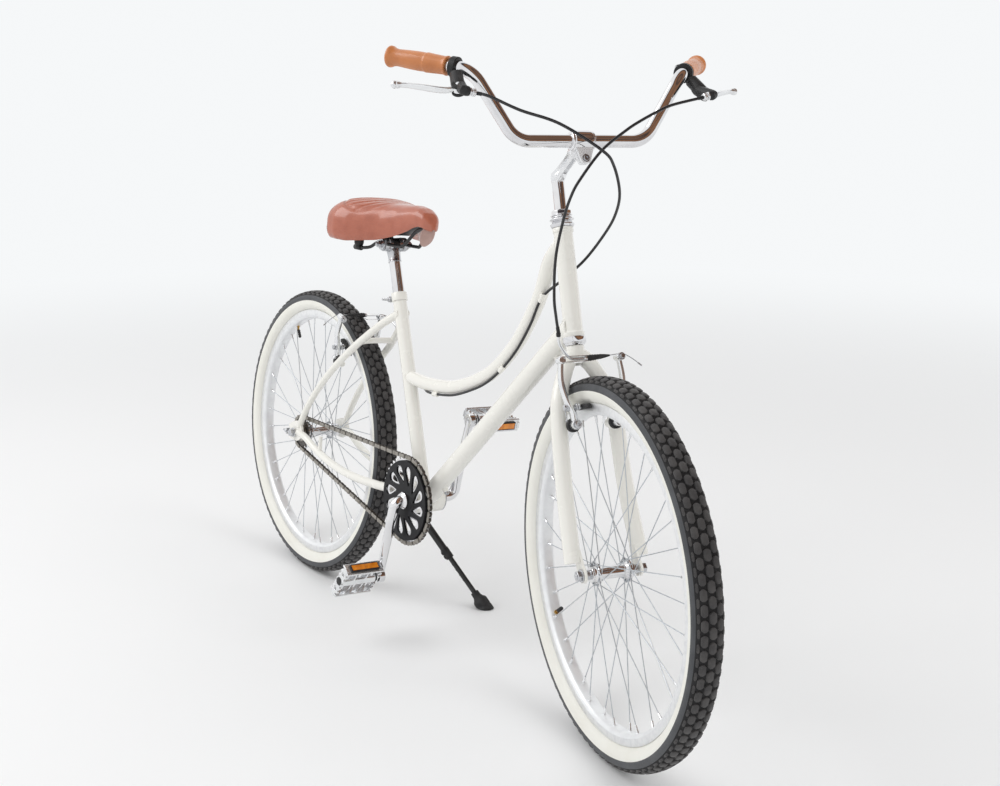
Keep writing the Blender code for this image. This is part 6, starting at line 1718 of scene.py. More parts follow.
    def crank(self) -> None:
        """One-piece forged crank with its cone, and the eyes for the pedals."""
        bend = self.crank_out - 0.007
        corners = [(0, -self.crank_out, -self.crank_length), (0, -bend, 0), (0, bend, 0),
                   (0, self.crank_out, self.crank_length)]
        line = bent(corners, 0.016, 12)
        long_line: Points = []
        for before, after in zip(line, line[1:]):
            pieces = max(1, round((after - before).length / 0.012))
            long_line.extend(before.lerp(after, step / pieces) for step in range(pieces))
        long_line.append(line[-1])
        sections = []
        for point in long_line:
            out = abs(point.z) / self.crank_length
            flat = max(0.0, min(1.0, (out - 0.06) / 0.25))
            wide = 0.0112 + 0.0012 * flat - 0.0038 * out
            thick = 0.0112 - 0.0034 * flat - 0.0008 * out
            sections.append([(wide * math.cos(math.tau * k / 24), thick * math.sin(math.tau * k / 24))
                             for k in range(24)])
        form = Form().add(swept(long_line, sections))
        for side in Side:
            x, y, z = 0.0, side.value * self.crank_out, side.value * self.crank_length
            eye = both_ways([(0.0066, 0.0067), (0.0066, 0.0128), (0.0056, 0.0140)])
            form.add(turned(eye, 40, True), 0, Matrix.Translation((x, y, z)))
        cone = [(-0.0512, 0.0), (-0.0512, 0.0172), (-0.0520, 0.0180), (-0.0544, 0.0180), (-0.0556, 0.0170),
                (-0.0590, 0.0142), (-0.0596, 0.0)]
        form.add(turned(cone, 40))
        left_cone = [(0.0370, 0.0), (0.0370, 0.0170), (0.0378, 0.0178), (0.0430, 0.0178), (0.0438, 0.0170),
                     (0.0438, 0.0)]
        form.add(turned(left_cone, 8))
        Piece("forged_crank", form, [CHROME], "crank_body", "chrome", ("crank",), bevel=0.0004, place=CRANK).build()

    def build(self) -> None:
        """Builds the whole drive."""
        self.chain()
        self.freewheel()
        self.chainring()
        self.crank()


@dataclass
class Pedal:
    """Cage pedal with its reflectors, on its spindle."""

    side: Side
    tilt: float
    start: float = 0.0090
    length: float = 0.087
    half_width: float = 0.043
    half_height: float = 0.012

    @property
    def place(self) -> Matrix:
        """Pedal frame: Y outward from the crank's end."""
        end = Vector((0.0, self.side.value * DRIVE.crank_out, self.side.value * DRIVE.crank_length))
        return CRANK @ Matrix.Translation(end) @ Matrix.Rotation(self.tilt, 4, "Y")

    def cage_plate(self, near: float, far: float) -> Shape:
        """Side plate with stepped teeth along its top and bottom."""
        half, high = self.half_width, self.half_height
        top: list[Pair] = [(-half, high * 0.55), (-half * 0.80, high * 0.60)]
        for index in range(5):
            middle = half * (-0.60 + 0.30 * index)
            top += [(middle - 0.0042, high * 0.72), (middle - 0.0026, high * 1.0), (middle + 0.0026, high * 1.0),
                    (middle + 0.0042, high * 0.72)]
        top += [(half * 0.80, high * 0.60), (half, high * 0.55)]
        outline = top + [(x, -z) for x, z in reversed(top)]
        holes = [[(middle + u, v) for u, v in circle(0.0046, 20)] for middle in (-0.0235, 0.0235)]
        return plate(outline, *span(self.side, near, far), holes)

    def body(self, form: Form) -> None:
        """Cage plates, walls, barrel and ribs."""
        start, end = self.start, self.start + self.length
        form.add(self.cage_plate(start + 0.002, start + 0.0055))
        form.add(self.cage_plate(end - 0.0055, end - 0.0005))
        for middle in (start + 0.031, start + 0.058):
            low, high = span(self.side, middle - 0.0015, middle + 0.0015)
            rib = [(-self.half_width + 0.004, -0.006), (-0.014, -0.0085), (0.014, -0.0085),
                   (self.half_width - 0.004, -0.006), (self.half_width - 0.004, 0.006), (0.014, 0.0085),
                   (-0.014, 0.0085), (-self.half_width + 0.004, 0.006)]
            form.add(plate(rib, low, high))
        low, high = span(self.side, start, end - 0.003)
        profile = [(low, 0.0), (low, 0.0102), (low + 0.0014, 0.0116), (high - 0.0014, 0.0116), (high, 0.0102),
                   (high, 0.0)]
        form.add(turned(profile, 36))
        for sign in (-1, 1):
            low, high = span(self.side, start + 0.003, end - 0.001)
            x0, x1 = sorted((sign * (self.half_width - 0.0075), sign * (self.half_width - 0.0025)))
            form.add(block((x0, low, -0.0105), (x1, high, 0.0105)))
            for height in (-0.0112, 0.0112):
                x = sign * (self.half_width - 0.0050)
                form.add(rod((x, low, height), (x, high, height), 0.0026, 16))
            for out in (0.016, 0.044, 0.072):
                middle = self.side.value * (start + out)
                form.add(rod((sign * 0.010, middle, 0.0), (sign * (self.half_width - 0.004), middle, 0.0), 0.0044, 14))

    def fittings(self, form: Form) -> None:
        """Black bearing ends, reflector frames and amber lenses."""
        start, end = self.start, self.start + self.length
        cap = [(0.0070, 0.0), (0.0070, 0.0098), (0.0082, 0.0110), (0.0165, 0.0122), (0.0165, 0.0)]
        dust = [(end - 0.0035, 0.0), (end - 0.0035, 0.0092), (end - 0.0008, 0.0092), (end + 0.0012, 0.0078),
                (end + 0.0018, 0.0)]
        for profile in (cap, dust):
            form.add(turned(signed(profile, self.side.value), 32), 1)
        for front in (-1, 1):
            low, high = span(self.side, start + 0.012, end - 0.012)
            x0, x1 = sorted((front * (self.half_width - 0.004), front * (self.half_width + 0.0016)))
            form.add(block((x0, low, -0.0082), (x1, high, 0.0082)), 1)
            x0, x1 = sorted((front * (self.half_width + 0.0010), front * (self.half_width + 0.0026)))
            middle = (low + high) / 2
            form.add(block((x0, low + 0.0022, -0.0058), (x1, middle - 0.0003, 0.0058)), 2)
            form.add(block((x0, middle + 0.0003, -0.0058), (x1, high - 0.0022, 0.0058)), 2)

    def build(self) -> None:
        """Builds the pedal and its spindle."""
        form = Form()
        self.body(form)
        self.fittings(form)
        word = self.side.word
        Piece(f"cage_pedal_{word}", form, [POLISHED, BLACK_PLASTIC, AMBER], f"pedal_{word}_body", "alloy",
              (f"pedal_{word}",), bevel=0.0004, place=self.place).build()
        sign = self.side.value
        spindle = Form()
        profile = [(-0.0068, 0.0), (-0.0068, 0.0058), (-0.0062, 0.0064), (0.0066, 0.0064), (0.0066, 0.0088),
                   (0.0088, 0.0088), (0.0088, 0.0)]
        spindle.add(turned(signed(profile, sign), 32))
        spindle.add(disc(0.0068, 0.0100, 0.0092, 6, sign))
        end = Vector((0.0, sign * DRIVE.crank_out, sign * DRIVE.crank_length))
        Piece(f"pedal_axle_{word}", spindle, [ZINC], "crank_body", "zinc_steel", (f"pedal_spindle_{word}",),
              bevel=0.0003, place=CRANK @ Matrix.Translation(end)).build()


DRIVE = Drive()


# Front end


@dataclass
class Fork:
    """Painted fork with its steerer, tips and brake bosses."""

    tip_in: float = 0.0500
    tip_plate: float = 0.0045
    slot: float = 0.00525
    steerer_radius: float = 0.0127
    taper: tuple = ((0.021, 0.0147), (0.270, 0.0147), (0.311, 0.0143), (0.342, 0.0136), (0.364, 0.0142),
                    (0.375, 0.0150))

    def blade(self, side: Side) -> Points:
        """Blade's centre line from the crown to its tip."""
        knots = [(0.0, 0.004, 0.3750), (0.004, 0.0180, 0.3640), (0.010, 0.0305, 0.342), (0.0155, 0.0440, 0.311),
                 (0.0195, 0.0530, 0.270), (0.0215, 0.0575, 0.150), (0.0380, 0.0634, 0.021)]
        return flowing([flip(knot, side) for knot in knots], 0.006)

    def tip(self, side: Side) -> Shape:
        """Slotted end plate with a round outline."""
        x0, slot = FRAMES.fork_offset, self.slot
        edge = [(0.026, 0.040), (0.031, 0.046), (0.042, 0.046), (x0 + 0.0005, 0.030), (x0 + 0.0065, 0.0160),
                (x0 + 0.0115, 0.0085), (x0 + 0.0142, 0.0), (x0 + 0.0125, -0.0075), (x0 + slot, -0.0130)]
        outline = [(point.x, point.z) for point in flowing([(x, 0.0, z) for x, z in edge], 0.003)]
        outline += [(x0 + slot * math.cos(math.radians(angle)), slot * math.sin(math.radians(angle)))
                    for angle in range(0, 181, 15)]
        outline += [(x0 - slot, -0.0130), (x0 - 0.0125, -0.0080), (x0 - 0.0160, 0.0020), (x0 - 0.0185, 0.0120)]
        return plate(outline, *span(side, self.tip_in, self.tip_in + self.tip_plate))

    def build(self) -> None:
        """Builds the fork."""
        form = Form()
        top = TUBING.head_top + 0.027
        form.add(rod((0, 0, 0.3640), (0, 0, top), self.steerer_radius, 36))
        crown = [(0.3560, 0.0), (0.3568, 0.0100), (0.3600, 0.0145), (0.3650, 0.0158), (0.3895, 0.0160),
                 (0.3910, 0.0154), (0.3910, 0.0)]
        form.add(turned(crown, 44), 0, Y_TO_Z)
        for side in Side:
            line = self.blade(side)
            form.add(tube(line, [between(list(self.taper), point.z) for point in line], 32))
            form.add(self.tip(side))
            form.add(self.boss(), 0, BRAKES[0].arm_frame(side) @ Y_TO_X)
        Piece("painted_fork", form, [CREAM_PAINT], "steering_body", "white_paint", ("fork",), bevel=0.0004,
              place=STEERING).build()

    @staticmethod
    def boss() -> Shape:
        """Painted boss on the blade's front, along Y."""
        return turned([(0.036, 0.0), (0.036, 0.0080), (0.0160, 0.0080), (0.0138, 0.0075), (0.0128, 0.0070),
                       (0.0128, 0.0)], 28)


@dataclass
class Cockpit:
    """Stem, bent bar, grips, brackets and levers."""

    centre: Vector = field(default_factory=lambda: Vector((0.1086, 0.0, 0.724)))
    low_bend: Vector = field(default_factory=lambda: Vector((0.1086, 0.119, 0.724)))
    high_bend: Vector = field(default_factory=lambda: Vector((0.129, 0.192, 0.835)))
    end: Vector = field(default_factory=lambda: Vector((0.0235, 0.2915, 0.8915)))
    adjuster: Vector = field(default_factory=lambda: Vector((0.1722, 0.2055, 0.7823)))
    pivot: Vector = field(default_factory=lambda: Vector((0.1456, 0.2247, 0.7975)))
    tip: Vector = field(default_factory=lambda: Vector((0.0995, 0.3154, 0.8179)))
    leaves: Vector = field(default_factory=lambda: Vector((0.1739, 0.1433, 0.7676)))
    bar_radius: float = 0.0111
    quill_radius: float = 0.0111
    bend_radius: float = 0.045
    clamp_out: float = 0.0315
    grip_length: float = 0.1145

    def __post_init__(self) -> None:
        """Works out the grip's direction and the lever's hinge."""
        self.grip_axis = (self.end - self.high_bend).normalized()
        self.clamp = self.high_bend + self.grip_axis * self.clamp_out
        self.pull = self.tip - self.pivot
        self.hinge = self.pull.cross(self.clamp - self.pivot).normalized()
        self.leaving = (self.leaves - self.adjuster).normalized()

    @staticmethod
    def half(side: Side) -> Matrix:
        """The steering frame, mirrored for the right side."""
        return STEERING @ Matrix.Diagonal((1.0, side.value, 1.0, 1.0))

    def stem(self) -> None:
        """Chrome quill, faceted forged neck and bar clamp with its socket bolt."""
        c = self.centre
        form = Form()
        form.add(rod((0, 0, 0.535), (0, 0, 0.690), self.quill_radius, 40), 0)
        form.add(self.neck(), 1)
        shoulder = [(0.6800, 0.0), (0.6800, 0.0113), (0.6850, 0.0118), (0.6930, 0.0116), (0.6985, 0.0100),
                    (0.7005, 0.0076), (0.6990, 0.0050), (0.6990, 0.0)]
        form.add(turned(shoulder, 40), 1, Y_TO_Z)
        socket = [(0.6960, 0.0), (0.6960, 0.0046), (0.7010, 0.0046), (0.7016, 0.0040), (0.7016, 0.0026),
                  (0.6990, 0.0026), (0.6990, 0.0)]
        form.add(turned(socket, 28), 2, Y_TO_Z)
        bore = self.bar_radius + 0.0001
        collar = both_ways([(0.0210, bore), (0.0210, 0.0150), (0.0204, 0.0160), (0.0188, 0.0166), (0.0175, 0.0158),
                            (0.0168, 0.0158), (0.0160, 0.0172), (0.0120, 0.0180)])
        form.add(turned(collar, 48, True), 0, Matrix.Translation(c))
        for x0, x1 in ((c.x - 0.0040, c.x + 0.0040), (c.x + 0.0054, c.x + 0.0120)):
            ear = [(c.z - 0.0060, -0.0150), (c.z - 0.0060, 0.0150), (c.z - 0.0180, 0.0148), (c.z - 0.0370, 0.0086),
                   (c.z - 0.0400, 0.0060), (c.z - 0.0400, -0.0060), (c.z - 0.0370, -0.0086), (c.z - 0.0180, -0.0148)]
            form.add(lofted([[(x0, y, z) for z, y in ear], [(x1, y, z) for z, y in ear]]), 3)
        Piece("quill_stem", form, [CHROME, POLISHED, ZINC, BRIGHT_ALLOY], "steering_body", "chrome", ("stem",),
              bevel=0.0008, place=STEERING).build()
        bolt = Form()
        spot = aim(c + Vector((0.0120, 0, -0.0320)), Vector((1, 0, 0)))
        head = [(-0.0230, 0.0), (-0.0230, 0.0028), (0.0, 0.0028), (0.0, 0.0046), (0.0004, 0.0050), (0.0024, 0.0050),
                (0.0030, 0.0044), (0.0030, 0.0028), (0.0004, 0.0028), (0.0004, 0.0)]
        bolt.add(turned(head, 32), 0, spot)
        bolt.add(disc(-0.0212, -0.0162, 0.0056, 6), 0, spot)
        bolt.add(turned([(-0.0004, 0.0028), (-0.0004, 0.0066), (0.0007, 0.0066), (0.0007, 0.0028)], 32, True), 0, spot)
        Piece("stem_socket_bolt", bolt, [ZINC], "steering_body", "zinc_steel", ("stem_clamp_bolt",),
              place=STEERING).build()

    def neck(self) -> Shape:
        """Faceted forged neck, hollowed along its sides, from the quill to the clamp."""
        spine = [(-0.0030, 0.6850, 0.0112, 0.0100, 0.0), (0.0060, 0.6905, 0.0112, 0.0106, 0.0),
                 (0.0130, 0.6935, 0.0104, 0.0104, 0.0), (0.0180, 0.6952, 0.0096, 0.0102, 0.40),
                 (0.0240, 0.6974, 0.0090, 0.0098, 0.68), (0.0460, 0.7032, 0.0084, 0.0094, 0.70),
                 (0.0660, 0.7086, 0.0088, 0.0096, 0.66), (0.0720, 0.7102, 0.0098, 0.0100, 0.36),
                 (0.0770, 0.7118, 0.0108, 0.0102, 0.0), (0.0880, 0.7150, 0.0124, 0.0108, 0.0),
                 (0.0980, 0.7180, 0.0146, 0.0118, 0.0)]
        sections = []
        for x, z, wide, high, hollow in spine:
            ring = []
            for turn in range(4):
                for u, v in ((1.0, -0.50), (1.0 - 0.45 * hollow, -0.34), (1.0 - hollow, -0.14), (1.0 - hollow, 0.14),
                             (1.0 - 0.45 * hollow, 0.34), (1.0, 0.50)):
                    for _ in range(turn):
                        u, v = -v, u
                    ring.append((u, v))
            sections.append([(x - 0.30 * v * high, u * wide, z + v * high) for u, v in ring])
        return lofted(sections)

    def bar(self) -> None:
        """The bent chrome bar."""
        half = [self.end, self.high_bend, self.low_bend]
        corners = half + [flip(corner, Side.RIGHT) for corner in reversed(half)]
        form = Form().add(tube(bent(corners, self.bend_radius, 14), self.bar_radius, 40))
        Piece("bent_bar", form, [CHROME], "steering_body", "chrome", ("handlebar",), place=STEERING).build()

    def grip(self, side: Side) -> None:
        """Waisted grip with its lips, ribs and flared end."""
        reach = (self.end - self.high_bend).length
        start = reach + 0.0030 - self.grip_length
        inner = self.bar_radius + 0.0002
        profile = [(start, inner), (start, 0.0152), (start + 0.0008, 0.0160), (start + 0.0022, 0.0162),
                   (start + 0.0042, 0.0156), (start + 0.0080, 0.0150), (start + 0.0200, 0.0154),
                   (start + 0.0360, 0.0162), (start + 0.0400, 0.0164), (start + 0.0412, 0.0162),
                   (start + 0.0420, 0.0156), (start + 0.0440, 0.0155), (reach - 0.0560, 0.0158),
                   (reach - 0.0380, 0.0153), (reach - 0.0220, 0.0144), (reach - 0.0140, 0.0142),
                   (reach - 0.0080, 0.0152), (reach - 0.0040, 0.0170), (reach - 0.0012, 0.0178),
                   (reach + 0.0012, 0.0178), (reach + 0.0028, 0.0168), (reach + 0.0032, 0.0148),
                   (reach + 0.0026, 0.0120), (reach + 0.0030, 0.0060), (reach + 0.0030, 0.0)]
        fine = flowing([(along, radius, 0.0) for along, radius in profile[1:-1]], 0.0016)
        outline = [profile[0], *((point.x, max(point.y, 0.0)) for point in fine), profile[-1]]
        place = self.half(side) @ aim(self.high_bend, self.grip_axis)
        Piece(f"tan_grip_{side.word}", Form().add(turned(outline, 48)), [TAN_GRIP], "steering_body", "tan_grip",
              (f"grip_{side.word}",), sharp=60.0, place=place).build()

    def bracket(self, side: Side) -> None:
        """Moulded lever bracket with its band, cheeks and cable adjuster."""
        form = Form()
        clamp, pivot, hinge = self.clamp, self.pivot, self.hinge
        toward = pivot - clamp
        inner = self.bar_radius + 0.0001
        band = both_ways([(0.0062, inner), (0.0062, 0.0158), (0.0052, 0.0170)])
        form.add(turned(band, 44, True), 0, aim(clamp, self.grip_axis))
        away = toward.normalized()
        lug = clamp - away * 0.0175
        form.add(rod(lug - self.grip_axis * 0.0056, lug + self.grip_axis * 0.0056, 0.0050, 20, 0.0008))
        route = [clamp + toward * share for share in (0.38, 0.55, 0.72, 0.88, 1.0)]
        form.add(tube(route, [0.0110, 0.0112, 0.0112, 0.0112, 0.0096], 24))
        for low, high in ((-0.0092, -0.0048), (0.0048, 0.0092)):
            cheek = [(low, 0.0), (low, 0.0094), (low + 0.0010, 0.0108), (high - 0.0006, 0.0110), (high, 0.0104),
                     (high, 0.0)]
            form.add(turned(cheek, 28), 0, aim(pivot, hinge))
        back = self.adjuster - self.leaving * 0.0145
        neck = flowing([clamp + toward * 0.62, clamp + toward * 0.85 + self.leaving * 0.004,
                        back - self.leaving * 0.006, back], 0.004)
        form.add(tube(neck, [0.0106 - 0.0026 * index / (len(neck) - 1) for index in range(len(neck))], 24))
        form.add(turned(both_ways([(0.0100, 0.0), (0.0100, 0.0027), (0.0096, 0.0030)]), 20), 1, aim(pivot, hinge))
        for reach in (-0.0100, 0.0100):
            form.add(disc(reach - 0.0008, reach + 0.0008, 0.0038, 20), 1, aim(pivot, hinge))
        form.add(rod(lug - self.grip_axis * 0.0076, lug + self.grip_axis * 0.0064, 0.0026, 18), 1)
        form.add(turned([(-0.0078, 0.0), (-0.0078, 0.0040), (-0.0056, 0.0042), (-0.0056, 0.0)], 20), 1,
                 aim(lug, self.grip_axis))
        thumb = [(-0.0145, 0.0), (-0.0145, 0.0046), (-0.0120, 0.0046), (-0.0120, 0.0066), (-0.0114, 0.0070),
                 (-0.0094, 0.0070), (-0.0088, 0.0066), (-0.0088, 0.0040), (-0.0072, 0.0040), (-0.0070, 0.0056),
                 (-0.0062, 0.0061), (-0.0014, 0.0061), (-0.0006, 0.0054), (0.0, 0.0040), (0.0, 0.0)]
        form.add(turned(thumb, 24), 1, aim(self.adjuster, self.leaving))
        for step in range(14):
            angle = math.tau * step / 14
            rib = rod((0.0060 * math.cos(angle), -0.0062, 0.0060 * math.sin(angle)),
                      (0.0060 * math.cos(angle), -0.0016, 0.0060 * math.sin(angle)), 0.0006, 6)
            form.add(rib, 1, aim(self.adjuster, self.leaving))
        Piece(f"moulded_bracket_{side.word}", form, [BLACK_PLASTIC, POLISHED], "steering_body", "black_plastic",
              (f"lever_bracket_{side.word}",), bevel=0.0004, place=self.half(side)).build()

    def lever(self, side: Side) -> None:
        """Forged lever: flat head, kinked blade and rounded end."""
        pivot, hinge, pull = self.pivot, self.hinge, self.pull
        away = (pivot - self.clamp).normalized()
        knots = [pivot + pull * 0.03, pivot + pull * 0.10 + away * 0.003, pivot + pull * 0.19 + away * 0.0058,
                 pivot + pull * 0.34 + away * 0.0056, pivot + pull * 0.62 + away * 0.0014,
                 pivot + pull * 0.86 - away * 0.0006, self.tip]
        line = flowing(knots, 0.0022)
        sections = []
        for index, point in enumerate(line):
            share = index / (len(line) - 1)
            wide = 0.0046 + 0.0012 * math.sin(math.pi * min(1.0, share * 1.25)) - 0.0006 * share
            thick = 0.0038 - 0.0006 * share
            end = max(0.0, (share - 0.90) / 0.10)
            wide, thick = wide + 0.0014 * math.sin(math.pi * end), thick + 0.0022 * math.sin(math.pi * end)
            tangent = (line[min(index + 1, len(line) - 1)] - line[max(index - 1, 0)]).normalized()
            across = (hinge - tangent * hinge.dot(tangent)).normalized()
            upward = across.cross(tangent)
            sections.append([tuple(point + across * u * wide + upward * v * thick) for u, v in squircle(2.6)])
        form = Form().add(lofted(sections))
        head = both_ways([(0.0044, 0.0030), (0.0044, 0.0080), (0.0038, 0.0087)])
        form.add(turned(head, 32, True), 0, aim(pivot, hinge))
        angles = [math.pi * step / 12 for step in range(13)]
        ball = [(-0.0064 * math.cos(a), 0.0064 * math.sin(a) if 0 < k < 12 else 0.0) for k, a in enumerate(angles)]
        form.add(turned(ball, 28), 0, aim(self.tip, pull))
        Piece(f"forged_lever_{side.word}", form, [POLISHED], f"brake_lever_{side.word}_body", "alloy",
              (f"brake_lever_{side.word}",), bevel=0.0003, place=self.half(side)).build()

    def build(self) -> None:
        """Builds everything above the headset."""
        self.stem()
        self.bar()
        for side in Side:
            self.grip(side)
            self.bracket(side)
            self.lever(side)


# Brakes


@dataclass
class Brake:
    """Linear-pull brake: two sprung arms, shoes, cable guide, boot and bare wire."""

    name: str
    body: str
    place: Matrix
    bow: float
    guide_side: Side
    guide: tuple
    wheel_centre: Vector
    half_rim: float = 0.0150
    pad_gap: float = 0.0028
    stud_out: float = 0.040
    pad_height: float = 0.030
    arm_height: float = 0.110
    boot_length: float = 0.0440

    def arm_frame(self, side: Side) -> Matrix:
        """Arm's frame in the frame that carries the brake."""
        if self.name == "rear":
            return TUBING.rear_arm_frame(side)
        return axes(Vector((-1, 0, 0)), Vector((0, -1, 0)), Vector((0, 0, 1)),
                    Vector((0.054, side.value * self.stud_out, 0.252)))

    def outward(self, side: Side) -> int:
        """Sign of the arm frame's Y that points away from the wheel."""
        return side.value * (1 if self.arm_frame(side)[1][1] > 0 else -1)

    def line(self, side: Side) -> Points:
        """Centre line of the arm in its own frame."""
        bow, sign = self.bow, self.outward(side)
        knots = [(0.0, 0.0), (0.002, 0.020), (0.6 * bow, 0.040), (bow, 0.65 * self.arm_height),
                 (0.82 * bow, self.arm_height)]
        return flowing([(0.0, sign * out, up) for out, up in knots], 0.003)

    def arm(self, side: Side) -> None:
        """Forged arm with its boss, eye, spring and fixing screws."""
        sign = self.outward(side)
        front = 1 if self.name == "rear" else -1
        line = self.line(side)
        form = Form()
        sections = []
        for point in line:
            share = point.z / self.arm_height
            wide = 0.0076 - 0.0022 * share + 0.0012 * math.exp(-((point.z - self.pad_height) / 0.012) ** 2)
            thick = 0.0058 - 0.0016 * share
            sections.append([(u * wide, point.y + v * thick, point.z) for u, v in squircle(3.0)])
        form.add(lofted(sections))
        boss = [(-0.0093, 0.0046), (-0.0093, 0.0076), (-0.0085, 0.0086), (0.0105, 0.0086), (0.0115, 0.0078),
                (0.0115, 0.0046)]
        form.add(turned(boss, 32, True), 0, Y_TO_X)
        top = line[-1]
        eye = both_ways([(0.0085, 0.0), (0.0085, 0.0056), (0.0077, 0.0066)])
        form.add(turned(eye, 28), 0, Matrix.Translation(top) @ Y_TO_X)
        collar = [(0.0036, 0.0087), (0.0036, 0.0114), (0.0044, 0.0120), (0.0118, 0.0120), (0.0126, 0.0110),
                  (0.0126, 0.0087)]
        form.add(turned(collar, 28, True), 1, Y_TO_X)
        spring = [(0.0090, sign * 0.0092, 0.0), (0.0090, sign * 0.0105, 0.012), (0.0088, sign * 0.0120, 0.030),
                  (0.0078, sign * (self.bow * 0.45 + 0.0050), 0.045), (0.0060, sign * (self.bow * 0.8 + 0.0040), 0.058)]
        form.add(tube(flowing(spring, 0.003), 0.0009, 8), 2)
        pad_spot = min(line, key=lambda point: abs(point.z - self.pad_height))
        nut = Matrix.Translation((0.0, pad_spot.y, self.pad_height))
        stack = [(0.0040, 0.0), (0.0040, 0.0072), (0.0058, 0.0072), (0.0062, 0.0058), (0.0080, 0.0058),
                 (0.0080, 0.0036), (0.0098, 0.0036), (0.0098, 0.0)]
        form.add(turned(signed(stack, sign), 24), 2, nut)
        form.add(disc(0.0080, 0.0118, 0.0054, 6, sign), 2, nut)
        screw = Matrix.Translation((0.0100, sign * 0.0060, 0.0075))
        form.add(rod((0.0, 0.0, 0.0), (0.0, sign * 0.0062, 0.0), 0.0016, 12), 2, screw)
        if side is not self.guide_side:
            self.anchor(form, top, front)
        word = side.word
        Piece(f"{self.name}_forged_arm_{word}", form, [POLISHED, BLACK_PLASTIC, ZINC],
              f"{self.name}_arm_{word}_body", "alloy", (f"{self.name}_brake_arm_{word}",), bevel=0.0003,
              place=self.place @ self.arm_frame(side)).build()

    @staticmethod
    def anchor(form: Form, top: Vector, front: int) -> None:
        """Clamp bolt and washer that hold the wire on the far arm.

        Args:
            form: where they go.
            top: the arm's upper end.
            front: sign of the side that the wire lies on.
        """
        spot = Matrix.Translation(top) @ Y_TO_X
        form.add(disc(0.0125, 0.0140, 0.0066, 24, front), 2, spot)
        form.add(disc(0.0086, 0.0110, 0.0060, 24, front), 2, spot)
        head = [(0.0140, 0.0), (0.0140, 0.0050), (0.0180, 0.0050), (0.0186, 0.0042), (0.0186, 0.0)]
        form.add(turned(signed(head, front), 6), 2, spot)

    def shoe(self, side: Side) -> None:
        """Grooved rubber shoe, curved to the rim, on its threaded post."""
        sign = self.outward(side)
        base = self.arm_frame(side)
        centre = base @ Vector((0, 0, self.pad_height)) - self.wheel_centre
        radial = base.to_3x3().inverted() @ Vector((centre.x, 0.0, centre.z))
        tilt = math.atan2(radial.x, radial.z)
        rim_reach = math.hypot(centre.x, centre.z)
        face = self.half_rim + self.pad_gap - self.stud_out
        form = Form()
        sections = []
        for step in range(25):
            along = -0.0260 + 0.0520 * step / 24
            end = max(0.0, (abs(along) - 0.0215) / 0.0045)
            half = 0.0047 * (1.0 - 0.45 * end * end)
            sag = -along * along / (2.0 * rim_reach)
            groove = 0.0011 if step in (7, 12, 17) else 0.0
            near, far = face + groove + 0.0010 * end * end, face + 0.0092 - 0.0016 * end
            ring = [(near, -half), (near, half), (near + 0.0016, half), (far - 0.0020, half * 0.80), (far, half * 0.55),
                    (far, -half * 0.55), (far - 0.0020, -half * 0.80), (near + 0.0016, -half)]
            sections.append([(along, sign * y, z + sag) for y, z in ring])
        form.add(lofted(sections), 0, Matrix.Translation((0, 0, self.pad_height)) @ Matrix.Rotation(tilt, 4, "Y"))
        arm_y = min(self.line(side), key=lambda point: abs(point.z - self.pad_height)).y
        back = sign * (face + 0.0085)
        end = arm_y - sign * 0.0062
        form.add(rod((0, back, self.pad_height), (0, end, self.pad_height), 0.0034, 20), 1)
        step = (end - back) / 3.0
        for number, radius in ((1, 0.0062), (2, 0.0068)):
            ring = [(back + step * number - abs(step) * 0.36, 0.0),
                    (back + step * number - abs(step) * 0.36, radius - 0.0008), (back + step * number, radius),
                    (back + step * number + abs(step) * 0.36, radius - 0.0012),
                    (back + step * number + abs(step) * 0.36, 0.0)]
            form.add(turned(ring, 24), 1, Matrix.Translation((0, 0, self.pad_height)))
        word = side.word
        Piece(f"{self.name}_shoe_{word}", form, [SOFT_RUBBER, ZINC], f"{self.name}_arm_{word}_body", "rubber",
              (f"{self.name}_brake_pad_{word}",), bevel=0.0003, place=self.place @ base).build()

    def pivots(self) -> None:
        """Screws that hold the arms on their studs, with a washer each."""
        form = Form()
        for side in Side:
            screw = [(0.0125, 0.0), (0.0125, 0.0039), (-0.0096, 0.0039), (-0.0096, 0.0080), (-0.0106, 0.0080),
                     (-0.0106, 0.0066), (-0.0134, 0.0062), (-0.0144, 0.0048), (-0.0144, 0.0028), (-0.0124, 0.0028),
                     (-0.0124, 0.0)]
            form.add(turned(screw, 28), 0, self.arm_frame(side) @ Y_TO_X)
        Piece(f"{self.name}_pivot_screws", form, [ZINC], self.body, "zinc_steel", place=self.place).build()

